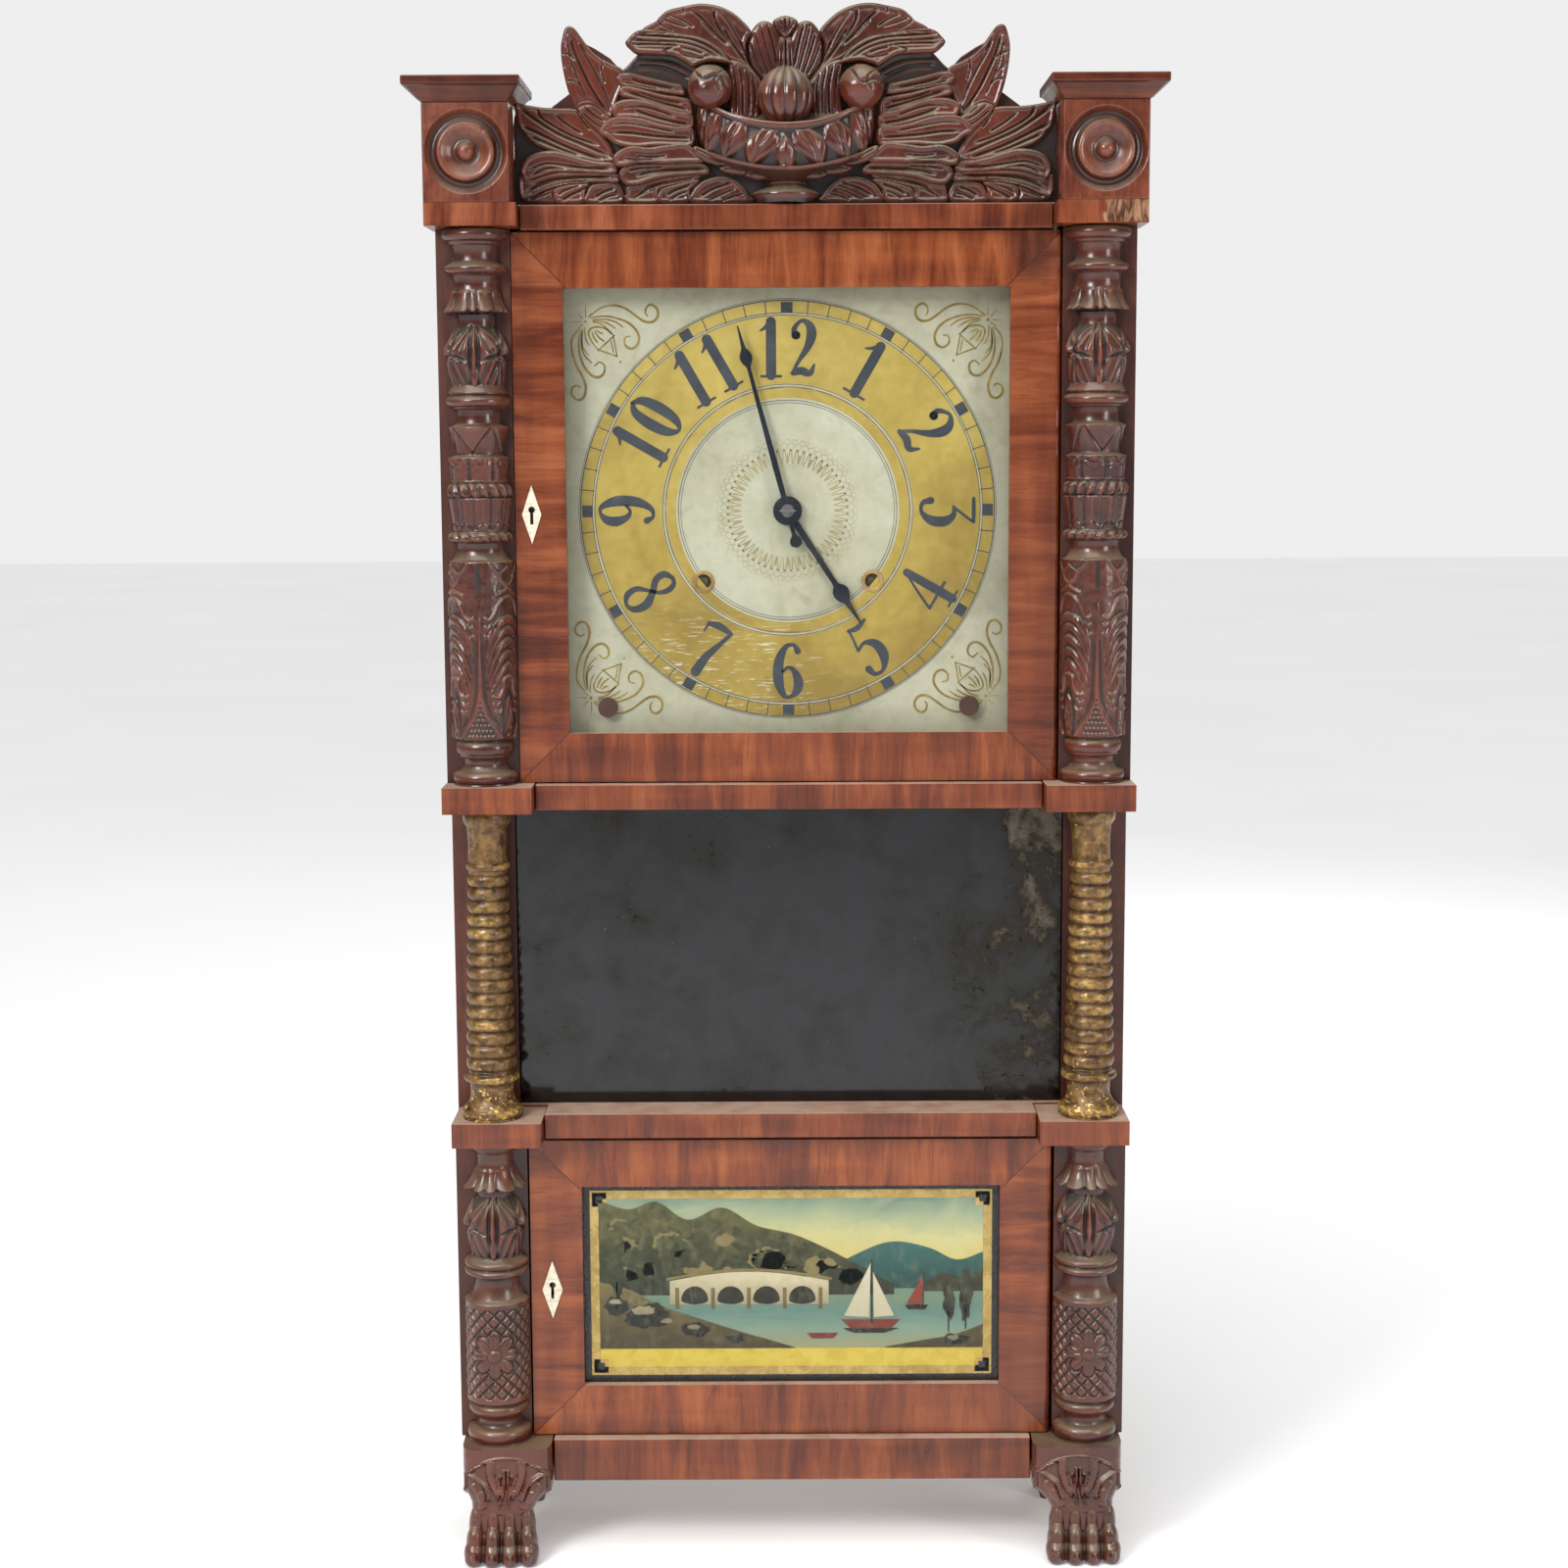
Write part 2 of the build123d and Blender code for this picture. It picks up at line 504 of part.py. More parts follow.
with BuildPart() as upper_lock_bolt:
    slab(-UD_X + 0.1, UE_X + 4.5, -27.2, -23.8, STRIKE_Z - 5.0, STRIKE_Z + 5.0)
with BuildPart() as lower_lock_bolt:
    slab(-LD_X + 0.1, LE_X + 4.5, -27.2, -23.8, LOCK2_Z - 5.0, LOCK2_Z + 5.0)

# ================================================================ going train
PH_T3W = 0.3
ph_t3p = mesh_phase((0, 0), P_T3, 64, 0.0, 8)          # third pinion in the centre wheel
ph_ep = mesh_phase(P_T3, P_E, 60, PH_T3W, 8)           # escape pinion in the third wheel
ph_t2w = 0.2
ph_cp = mesh_phase(P_T2, (0, 0), 48, ph_t2w, 12)       # centre pinion in the second wheel
ph_t2p = mesh_phase((GX, GZ), P_T2, 72, 0.1, 8)        # second pinion in the great wheel

with BuildPart() as time_great_wheel:
    gear((GX, GZ), 72, 1.1, 0.1, 40.8, 38.2, bore=R_WINDH, spokes=5, rim=5.0, hub=11.0)

with BuildPart() as second_wheel:
    arbor(P_T2)
    gear(P_T2, 8, 1.1, ph_t2p, 42.4, 36.4, pinion=True)
    gear(P_T2, 48, 0.9, ph_t2w, 32.0, 30.0, spokes=4, rim=3.0, hub=6.0)

with BuildPart() as centre_wheel:
    ring(0, CZ, 2.9, 1.56, 43.2, 2.8)
    gear((0, 0), 12, 0.9, ph_cp, 34.0, 28.0, pinion=True, bore=1.56)
    gear((0, 0), 64, 0.75, 0.0, 22.0, 20.0, bore=1.56, spokes=4, rim=3.0, hub=7.0)

with BuildPart() as third_wheel:
    arbor(P_T3)
    gear(P_T3, 8, 0.75, ph_t3p, 24.0, 18.0, pinion=True)
    gear(P_T3, 60, 0.7, PH_T3W, 14.0, 12.0, spokes=4, rim=2.6, hub=5.5)

with BuildPart() as escape_wheel:
    arbor(P_E, r=1.45)
    gear(P_E, 8, 0.7, ph_ep, 16.0, 10.0, pinion=True)
    # forty-two pointed teeth
    with BuildSketch(front(27.4, P_E[0], CZ + P_E[1])) as es:
        with BuildLine() as el:
            ep = []
            for k in range(42):
                a = 2 * math.pi * k / 42
                w = 2 * math.pi / 42
                ep += [(17.6 * math.cos(a), 17.6 * math.sin(a)), (20.0 * math.cos(a + 0.42 * w), 20.0 * math.sin(a + 0.42 * w)),
                       (20.0 * math.cos(a + 0.50 * w), 20.0 * math.sin(a + 0.50 * w)), (17.6 * math.cos(a + 0.62 * w), 17.6 * math.sin(a + 0.62 * w))]
            Polyline(*ep, close=True)
        make_face(el.edges())
        for k in range(4):
            a = math.pi / 2 * k + math.pi / 4
            with Locations((9.8 * math.cos(a), 9.8 * math.sin(a))):
                Circle(4.3, mode=Mode.SUBTRACT)
    extrude(es.sketch, amount=1.4)

with BuildPart() as verge:
    # arbor with the recoil anchor and, behind the back plate, the crutch
    disc(0, CZ + P_V[1], 1.6, BP1 - 0.6, FP0 + 0.6)
    disc(0, CZ + P_V[1], R_PIV, FP0 + 0.6, FP1 + 0.4)
    disc(0, CZ + P_V[1], R_PIV, 54.0, BP1 - 0.6)
    plate([(-4.2, CZ + 74.4), (4.2, CZ + 74.4), (15.6, CZ + 66.4), (14.6, CZ + 61.0), (10.9, CZ + 61.3), (10.4, CZ + 64.8), (3.2, CZ + 68.6),
           (-3.2, CZ + 68.6), (-10.4, CZ + 64.8), (-10.9, CZ + 61.3), (-14.6, CZ + 61.0), (-15.6, CZ + 66.4)], 28.4, 25.0)
    slab(-1.3, 1.3, 50.4, 52.6, CZ + P_V[1] - 64.0, CZ + P_V[1] + 2.0)
    slab(-1.3, 1.3, 50.4, 61.0, CZ + P_V[1] - 66.0, CZ + P_V[1] - 64.0)
    # fork round the rod
    slab(-3.4, -2.0, 52.6, 61.0, CZ + P_V[1] - 66.0, CZ + P_V[1] - 64.0)
    slab(2.0, 3.4, 52.6, 61.0, CZ + P_V[1] - 66.0, CZ + P_V[1] - 64.0)
    slab(-3.4, 3.4, 50.4, 53.0, CZ + P_V[1] - 66.0, CZ + P_V[1] - 64.0)
    slab(-1.9, 1.9, 53.0, 62.0, CZ + P_V[1] - 67.0, CZ + P_V[1] - 63.0, mode=Mode.SUBTRACT)

with BuildPart() as pendulum:
    zb = CZ + P_V[1] - BOB_DROP
    slab(-2.2, 2.2, 56.7, 57.3, CZ + P_V[1] - 40.0, CZ + P_V[1] + 5.6)
    upright(0, zb, 1.4, CZ + P_V[1] - 38.0, Mode.ADD, 57.0)
    # lens shaped bob, rating nut below it
    with BuildSketch(Plane(origin=(0, 57.0, zb), x_dir=(0, -1, 0), z_dir=(1, 0, 0))) as bs:
        with BuildLine() as bline:
            Polyline((-7.5, 0), (7.5, 0), (7.2, 12), (5.6, 22), (2.6, 30), (0.8, 33), (-0.8, 33), (-2.6, 30), (-5.6, 22), (-7.2, 12), close=True)
        make_face(bline.edges())
    revolve(bs.sketch, axis=Axis((0, 57.0, zb), (0, 1, 0)), revolution_arc=360)
    upright(0, zb - 46.0, 1.2, zb - 20.0, Mode.ADD, 57.0)
    upright(0, zb - 42.0, 4.0, zb - 38.0, Mode.ADD, 57.0)

# ================================================================ motion work and hands
ph_cn = 0.15                                            # pinion on the centre arbor
ph_mw = mesh_phase((0, 0), P_MW, 12, ph_cn, 36)
ph_mp = 0.4
ph_hw = mesh_phase(P_MW, (0, 0), 10, ph_mp, 40)

with BuildPart() as centre_arbor:
    disc(0, CZ, 1.5, 48.0, -28.0)
    gear((0, 0), 12, 1.0, ph_cn, -2.2, -5.4, pinion=True)
    # brass collet in front of the minute hand, with its taper pin
    disc(0, CZ, 4.0, -25.2, -26.4)
    disc(0, CZ, 2.6, 49.2, 48.0)
    with BuildSketch(Plane(origin=(-5.0, -27.1, CZ), x_dir=(0, 0, 1), z_dir=(1, 0, 0))) as tps:
        Circle(0.55)
    extrude(tps.sketch, amount=10.0)

with BuildPart() as minute_wheel:
    gear(P_MW, 36, 1.0, ph_mw, -2.8, -4.8, pinion=False, bore=1.56, spokes=4, rim=3.0, hub=6.0)
    gear(P_MW, 10, 0.96, ph_mp, -4.8, -11.0, pinion=True, bore=1.56)
    ring(P_MW[0], CZ + P_MW[1], 3.0, 1.56, -2.2, -2.8)

with BuildPart() as hour_wheel:
    gear((0, 0), 40, 0.96, ph_hw, -8.0, -10.0, bore=1.56, spokes=4, rim=3.0, hub=6.5)
    ring(0, CZ, 3.0, 1.56, -6.2, -22.6)


def rotate_pts(pts, deg):
    a = math.radians(deg)
    return [(x * math.cos(a) + y * math.sin(a), CZ - x * math.sin(a) + y * math.cos(a)) for x, y in pts]


MIN_DEG, HOUR_DEG = -15.0, 147.0
min_half = [(1.6, 0), (1.9, 30), (1.2, 88), (1.3, 91), (3.4, 94.5), (4.0, 97), (3.4, 99.5), (1.4, 103), (1.1, 106), (0.4, 117)]
tail_half = [(0.5, -23.5), (3.4, -22), (3.9, -20), (3.4, -18), (1.4, -15.5), (1.3, -5)]
with BuildPart() as minute_hand:
    right = tail_half + min_half
    plate(rotate_pts(right + [(-x, y) for x, y in reversed(right)], MIN_DEG), -24.2, -25.2)
    disc(0, CZ, 8.5, -24.2, -25.2)
    disc(0, CZ, 1.5, -20, -30, mode=Mode.SUBTRACT)

hour_half = [(2.2, 0), (2.0, 20), (1.7, 52), (1.9, 55), (4.6, 58), (5.2, 60.7), (4.6, 63.5), (1.9, 68), (1.5, 72), (0.5, 84)]
with BuildPart() as hour_hand:
    plate(rotate_pts(hour_half + [(-x, y) for x, y in reversed(hour_half)], HOUR_DEG), -21.6, -22.6)
    disc(0, CZ, 9.0, -21.6, -22.6)
    disc(0, CZ, 3.0, -20, -30, mode=Mode.SUBTRACT)

# ================================================================ strike train
ph_s2w = 0.35
ph_s2p = mesh_phase((-GX, GZ), P_S2, 72, 0.23, 8)
ph_s3p = mesh_phase(P_S2, P_S3, 56, ph_s2w, 8)
ph_s3w = 0.11
ph_fp = mesh_phase(P_S3, P_F, 48, ph_s3w, 7)

with BuildPart() as strike_great_wheel:
    gear((-GX, GZ), 72, 1.1, 0.23, 40.8, 38.2, bore=R_WINDH, spokes=5, rim=5.0, hub=11.0)

with BuildPart() as pin_wheel:
    arbor(P_S2)
    gear(P_S2, 8, 1.1, ph_s2p, 42.4, 36.4, pinion=True)
    gear(P_S2, 56, 0.8, ph_s2w, 32.0, 30.0, spokes=4, rim=4.0, hub=6.0)
    for k in range(8):
        a = math.pi / 4 * k + 0.2
        disc(P_S2[0] + 19.0 * math.cos(a), CZ + P_S2[1] + 19.0 * math.sin(a), 0.8, 35.6, 31.0)

with BuildPart() as locking_wheel:
    arbor(P_S3)
    gear(P_S3, 8, 0.8, ph_s3p, 34.0, 28.0, pinion=True)
    gear(P_S3, 48, 0.7, ph_s3w, 16.0, 14.0, spokes=4, rim=2.6, hub=5.0)

with BuildPart() as fly:
    arbor(P_F, r=1.3)
    gear(P_F, 7, 0.7, ph_fp, 18.0, 12.0, pinion=True)
    slab(P_F[0] - 11.0, P_F[0] + 11.0, 20.5, 40.0, CZ + P_F[1] - 0.5, CZ + P_F[1] + 0.5)
    disc(P_F[0], CZ + P_F[1], 2.4, 41.0, 19.5)


def barrel(s):
    x, z = s * GX, CZ + GZ
    disc(x, z, R_WIND, 48.4, -2.0)
    disc(x, z, DRUM_R, 35.0, 9.0)
    disc(x, z, 18.0, 9.0, 7.6)
    disc(x, z, 18.0, 36.2, 35.0)
    # ratchet
    with BuildSketch(front(37.6, x, z)) as rs:
        with BuildLine() as rl:
            rp = []
            for k in range(20):
                a = 2 * math.pi * k / 20 * s
                b = 2 * math.pi * (k + 0.9) / 20 * s
                rp += [(10.4 * math.cos(a), 10.4 * math.sin(a)), (12.4 * math.cos(b), 12.4 * math.sin(b))]
            Polyline(*rp, close=True)
        make_face(rl.edges())
    extrude(rs.sketch, amount=1.4)
    # square end for the winding key
    slab(x - 2.1, x + 2.1, -12.4, -2.0, z - 2.1, z + 2.1)
    # nut behind the back plate
    disc(x, z, 4.6, 49.6, 47.4)


with BuildPart() as time_barrel:
    barrel(1)
with BuildPart() as strike_barrel:
    barrel(-1)

HX, HZ = P_H[0], CZ + P_H[1]
with BuildPart() as hammer:
    arbor(P_H)
    disc(HX, HZ, R_PIV, 54.0, 46.0)
    disc(HX, HZ, 3.0, 54.0, 50.6)
    dx, dz = -109.0 - HX, 520.0 - HZ
    ln = math.hypot(dx, dz)
    nx, nz = -dz / ln * 1.1, dx / ln * 1.1
    plate([(HX + nx, HZ + nz), (HX - nx, HZ - nz), (-109.0 - nx, 520.0 - nz), (-109.0 + nx, 520.0 + nz)], 54.0, 51.0)
    with BuildSketch(Plane(origin=(-115.0, 57.0, 520.0), x_dir=(0, 1, 0), z_dir=(1, 0, 0))) as hs:
        Circle(5.4)
    extrude(hs.sketch, amount=11.0)
    # lifting tail over the pin wheel
    tx, tz = P_S2[0] - P_H[0], P_S2[1] - P_H[1]
    tl = math.hypot(tx, tz)
    ux, uz = tx / tl, tz / tl
    plate([(HX - uz * 1.2, HZ + ux * 1.2), (HX + ux * 24.4 - uz * 0.6, HZ + uz * 24.4 + ux * 0.6), (HX + ux * 24.4 + uz * 0.6, HZ + uz * 24.4 - ux * 0.6), (HX + uz * 1.2, HZ - ux * 1.2)], 35.2, 33.2)


# ================================================================ pulleys and weights
def sheave(cx):
    with BuildSketch(Plane(origin=(cx, 31.0, 815.0), x_dir=(0, -1, 0), z_dir=(1, 0, 0))) as ps:
        with BuildLine() as pl:
            Polyline((-9.4, 0), (-9.4, 1.5), (-5.6, 1.5), (-5.6, 4.0), (-4.0, 4.0), (-4.0, 17.6), (-1.2, 14.4), (1.2, 14.4), (4.0, 17.6), (4.0, 4.0), (5.6, 4.0), (5.6, 1.5), (9.4, 1.5), (9.4, 0), close=True)
        make_face(pl.edges())
    revolve(ps.sketch, axis=Axis((cx, 31.0, 815.0), (0, 1, 0)), revolution_arc=360)


with BuildPart() as left_pulley:
    sheave(-154.5)
with BuildPart() as right_pulley:
    sheave(154.5)


def weight(cx):
    with BuildSketch(front(31.0, cx, 60.4)) as ws:
        with BuildLine() as wl:
            Polyline((0, 0), (23.5, 0), (26.0, 2.5), (26.0, 196.0), (22.0, 201.0), (0, 203.0), close=True)
        make_face(wl.edges())
    revolve(ws.sketch, axis=Axis((cx, 31.0, 0), (0, 0, 1)), revolution_arc=360)
    # wire eye in the top
    with BuildSketch(Plane(origin=(cx, 31.0 + 6.5, 60.4 + 213.0), x_dir=(0, 1, 0), z_dir=(0, 0, 1))) as wr:
        Circle(1.5)
    revolve(wr.sketch, axis=Axis((cx, 31.0, 60.4 + 213.0), (1, 0, 0)), revolution_arc=360)
    upright(cx, 60.4 + 202.0, 2.2, 60.4 + 207.5, Mode.ADD, 31.0)


with BuildPart() as strike_weight:
    weight(-170.5)
with BuildPart() as time_weight:
    weight(170.5)

# ================================================================ write every piece
pieces = {
    "side_boards": side_boards, "back_board": back_board, "top_board": top_board, "bottom_board": bottom_board,
    "front_stiles": front_stiles, "front_rails": front_rails, "corner_blocks": corner_blocks, "corner_caps": corner_caps,
    "column_blocks": column_blocks, "hinge_pins": hinge_pins, "crest_board": crest_board, "crest_carving": crest_carving,
    "upper_columns": upper_columns, "middle_columns": middle_columns, "lower_columns": lower_columns,
    "front_feet": front_feet, "rear_feet": rear_feet, "mirror_glass": mirror_glass, "mirror_backboard": mirror_backboard,
    "dial_board": dial_board, "dial_buttons": dial_buttons, "winding_grommets": winding_grommets,
    "movement_supports": movement_supports, "front_plate": front_plate, "back_plate": back_plate, "gong": gong,
    "pulley_brackets": pulley_brackets,
    "upper_door_frame": upper_door_frame, "upper_door_glass": upper_door_glass, "upper_escutcheon": upper_escutcheon,
    "upper_lock_case": upper_lock_case, "upper_lock_bolt": upper_lock_bolt,
    "lower_door_frame": lower_door_frame, "lower_door_tablet": lower_door_tablet, "lower_escutcheon": lower_escutcheon,
    "lower_lock_case": lower_lock_case, "lower_lock_bolt": lower_lock_bolt,
    "time_barrel": time_barrel, "time_great_wheel": time_great_wheel, "second_wheel": second_wheel, "centre_wheel": centre_wheel,
    "third_wheel": third_wheel, "escape_wheel": escape_wheel, "verge": verge, "pendulum": pendulum,
    "centre_arbor": centre_arbor, "minute_hand": minute_hand, "minute_wheel": minute_wheel, "hour_wheel": hour_wheel, "hour_hand": hour_hand,
    "strike_barrel": strike_barrel, "strike_great_wheel": strike_great_wheel, "pin_wheel": pin_wheel, "locking_wheel": locking_wheel,
    "fly": fly, "hammer": hammer, "left_pulley": left_pulley, "right_pulley": right_pulley,
    "strike_weight": strike_weight, "time_weight": time_weight,
}
for name, piece in pieces.items():
    piece.part.label = name
    export_step(piece.part, f"parts/{name}.step")
print(len(pieces), "pieces written")
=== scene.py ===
import bpy
import math
import random
import numpy as np
from mathutils import Matrix, Vector


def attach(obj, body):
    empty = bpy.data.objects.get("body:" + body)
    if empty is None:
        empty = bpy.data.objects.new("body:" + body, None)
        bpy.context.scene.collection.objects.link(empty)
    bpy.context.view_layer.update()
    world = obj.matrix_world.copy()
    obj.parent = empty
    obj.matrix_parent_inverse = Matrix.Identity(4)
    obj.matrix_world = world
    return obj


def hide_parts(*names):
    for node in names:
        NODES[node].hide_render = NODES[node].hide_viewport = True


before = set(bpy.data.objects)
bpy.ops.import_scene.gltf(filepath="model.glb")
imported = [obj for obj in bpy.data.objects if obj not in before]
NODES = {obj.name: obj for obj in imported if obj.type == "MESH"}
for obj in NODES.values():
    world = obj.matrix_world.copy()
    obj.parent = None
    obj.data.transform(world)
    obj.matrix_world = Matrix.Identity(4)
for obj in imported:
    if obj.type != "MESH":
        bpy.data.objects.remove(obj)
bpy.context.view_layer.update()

MM = 0.001
scene = bpy.context.scene


# ------------------------------------------------------------------ numeric helpers
def _hash(ix, iy, iz, seed):
    n = (ix.astype(np.int64) * 374761393 + iy.astype(np.int64) * 668265263 + iz.astype(np.int64) * 2147483647 + seed * 1274126177) & 0x7FFFFFFF
    n = ((n ^ (n >> 13)) * 1274126177) & 0x7FFFFFFF
    return ((n ^ (n >> 16)) & 0xFFFF) / 65535.0


def vnoise(x, y, z, seed=1):
    # smooth value noise, -1 to 1
    x, y, z = np.broadcast_arrays(np.asarray(x, float), np.asarray(y, float), np.asarray(z, float))
    ix, iy, iz = np.floor(x), np.floor(y), np.floor(z)
    fx, fy, fz = x - ix, y - iy, z - iz
    fx, fy, fz = fx * fx * (3 - 2 * fx), fy * fy * (3 - 2 * fy), fz * fz * (3 - 2 * fz)
    out = 0
    for dx in (0, 1):
        for dy in (0, 1):
            for dz in (0, 1):
                w = (fx if dx else 1 - fx) * (fy if dy else 1 - fy) * (fz if dz else 1 - fz)
                out = out + w * _hash(ix + dx, iy + dy, iz + dz, seed)
    return out * 2 - 1


def fbm(x, y, z, seed=1, octaves=3):
    out, a = 0, 1.0
    for k in range(octaves):
        out = out + a * vnoise(x * 2 ** k, y * 2 ** k, z * 2 ** k, seed + 17 * k)
        a *= 0.5
    return out / 1.75


def poly_dist(px, pz, pts):
    # distance to an open polyline and the share of its length at the nearest point
    pts = np.asarray(pts, float)
    best = np.full(px.shape, 1e9)
    along = np.zeros(px.shape)
    seg = np.hypot(*(pts[1:] - pts[:-1]).T)
    total = seg.sum() or 1.0
    run = 0.0
    for k in range(len(pts) - 1):
        a, d = pts[k], pts[k + 1] - pts[k]
        L2 = max(d @ d, 1e-12)
        t = np.clip(((px - a[0]) * d[0] + (pz - a[1]) * d[1]) / L2, 0, 1)
        dist = np.hypot(px - a[0] - t * d[0], pz - a[1] - t * d[1])
        m = dist < best
        best = np.where(m, dist, best)
        along = np.where(m, (run + t * seg[k]) / total, along)
        run += seg[k]
    return best, along


def inside_sdf(px, pz, pts):
    # distance to a closed outline, positive inside
    pts = np.asarray(pts, float)
    best = np.full(px.shape, 1e9)
    odd = np.zeros(px.shape, bool)
    n = len(pts)
    for k in range(n):
        a, b = pts[k], pts[(k + 1) % n]
        d = b - a
        L2 = max(d @ d, 1e-12)
        t = np.clip(((px - a[0]) * d[0] + (pz - a[1]) * d[1]) / L2, 0, 1)
        best = np.minimum(best, np.hypot(px - a[0] - t * d[0], pz - a[1] - t * d[1]))
        cross = (a[1] > pz) != (b[1] > pz)
        if abs(d[1]) > 1e-12:
            xc = a[0] + (pz - a[1]) / d[1] * d[0]
            odd ^= cross & (px < xc)
    return np.where(odd, best, -best)


def smooth_line(pts, closed=False, n=6):
    # Catmull-Rom curve through the points, any dimension
    pts = [np.asarray(p, float) for p in pts]
    out = []
    m = len(pts)
    rng = m if closed else m - 1
    for k in range(rng):
        p1, p2 = pts[k], pts[(k + 1) % m]
        p0 = pts[(k - 1) % m] if (closed or k > 0) else p1 * 2 - p2
        p3 = pts[(k + 2) % m] if (closed or k + 2 < m) else p2 * 2 - p1
        for i in range(n):
            t = i / n
            out.append(0.5 * (2 * p1 + (p2 - p0) * t + (2 * p0 - 5 * p1 + 4 * p2 - p3) * t * t + (3 * p1 - p0 - 3 * p2 + p3) * t ** 3))
    if not closed:
        out.append(pts[-1])
    return np.array(out)


# ------------------------------------------------------------------ mesh helpers
class Geo:
    def __init__(self):
        self.v, self.f, self.a, self.n = [], [], [], 0

    def add(self, verts, faces, attr=None):
        verts = np.asarray(verts, float)
        self.v.append(verts)
        self.a.append(np.full(len(verts), 0.5) if attr is None else np.asarray(attr, float))
        self.f += [tuple(i + self.n for i in f) for f in faces]
        self.n += len(verts)

    def prism(self, pts, y0, y1):
        # flat shape in x, z from rear y0 to front y1
        n = len(pts)
        v = [(x, y1, z) for x, z in pts] + [(x, y0, z) for x, z in pts]
        area = sum(pts[i][0] * pts[(i + 1) % n][1] - pts[(i + 1) % n][0] * pts[i][1] for i in range(n))
        ring = list(range(n)) if area > 0 else list(range(n))[::-1]
        f = [tuple(ring), tuple(i + n for i in reversed(ring))]
        for k in range(n):
            a, b = ring[k], ring[(k + 1) % n]
            f.append((b, a, a + n, b + n))
        self.add(v, f)

    def annulus(self, cx, cz, r0, r1, y0, y1, n=128, a0=0.0, a1=None, wob=0.0, seed=3):
        full = a1 is None
        m = n if full else n + 1
        ang = np.array([a0 + (2 * math.pi if full else a1 - a0) * k / n for k in range(m)])
        w = wob * vnoise(np.cos(ang) * 6, np.sin(ang) * 6, r0 * 0.1, seed)
        v = []
        for y in (y1, y0):
            for r in (r1 + w, r0 + w * 0.7):
                v += [(cx + q * math.sin(t), y, cz + q * math.cos(t)) for q, t in zip(r, ang)]
        f = []
        for k in range(n):
            j = (k + 1) % m
            f += [(k, j, j + m, k + m), (k + 2 * m, k + 3 * m, j + 3 * m, j + 2 * m), (k, k + 2 * m, j + 2 * m, j), (k + m, j + m, j + 3 * m, k + 3 * m)]
        if not full:
            f += [(0, m, 3 * m, 2 * m), (m - 1, 3 * m - 1, 4 * m - 1, 2 * m - 1)]
        self.add(v, f)

    def stroke(self, pts, y0, y1, n=6, cap=6):
        # flat stroke with its own half width at each point: (x, z, half width)
        c = smooth_line(pts, n=n) if len(pts) > 2 else np.asarray(pts, float)
        d = np.gradient(c[:, :2], axis=0)
        d /= np.maximum(np.hypot(d[:, 0], d[:, 1])[:, None], 1e-9)
        nx, nz = -d[:, 1], d[:, 0]
        left = [(x + a * w, z + b * w) for (x, z, w), a, b in zip(c, nx, nz)]
        right = [(x - a * w, z - b * w) for (x, z, w), a, b in zip(c, nx, nz)]
        def end(i, sign):
            x, z, w = c[i]
            t = math.atan2(d[i, 1], d[i, 0])
            return [(x + w * math.cos(t + s), z + w * math.sin(t + s)) for s in [sign * (math.pi / 2 - math.pi * (k + 1) / (cap + 1)) for k in range(cap)]]
        outline = left + end(len(c) - 1, 1) + right[::-1] + [(c[0][0] + c[0][2] * math.cos(math.atan2(d[0, 1], d[0, 0]) + math.pi + s), c[0][1] + c[0][2] * math.sin(math.atan2(d[0, 1], d[0, 0]) + math.pi + s)) for s in [math.pi / 2 - math.pi * (k + 1) / (cap + 1) for k in range(cap)]]
        # quads along the stroke keep it from folding over itself
        m = len(c)
        v, f = [], []
        for y in (y1, y0):
            v += [(x, y, z) for x, z in left] + [(x, y, z) for x, z in right]
        for k in range(m - 1):
            f += [(k, k + m, k + m + 1, k + 1), (k + 2 * m, k + 2 * m + 1, k + 3 * m + 1, k + 3 * m), (k, k + 1, k + 2 * m + 1, k + 2 * m), (k + m, k + 3 * m, k + 3 * m + 1, k + m + 1)]
        f += [(0, 2 * m, 3 * m, m), (m - 1, 2 * m - 1, 4 * m - 1, 3 * m - 1)]
        self.add(v, f)
        for i in (0, m - 1):
            x, z, w = c[i]
            self.prism([(x + w * math.cos(t), z + w * math.sin(t)) for t in [2 * math.pi * k / 14 for k in range(14)]], y0, y1 + 0.008)

    def obj(self, name, mat, body, slot=None, replaces=(), smooth=True, auto=None):
        v = np.concatenate(self.v) * MM
        me = bpy.data.meshes.new(name)
        me.from_pydata(v.tolist(), [], self.f)
        at = me.attributes.new("relief", "FLOAT", "POINT")
        at.data.foreach_set("value", np.concatenate(self.a).astype(np.float32))
        me.validate()
        me.update()
        if smooth:
            me.polygons.foreach_set("use_smooth", [True] * len(me.polygons))
        o = bpy.data.objects.new(name, me)
        scene.collection.objects.link(o)
        me.materials.append(mat)
        if smooth and auto:
            me.set_sharp_from_angle(angle=math.radians(auto))
        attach(o, body)
        if replaces:
            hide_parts(*replaces)
        return o


def grid_quads(rows, cols, wrap=False, flip=False):
    f = []
    c2 = cols if wrap else cols - 1
    for i in range(rows - 1):
        for j in range(c2):
            a, b = i * cols + j, i * cols + (j + 1) % cols
            q = (a, b, b + cols, a + cols)
            f.append(q[::-1] if flip else q)
    return f


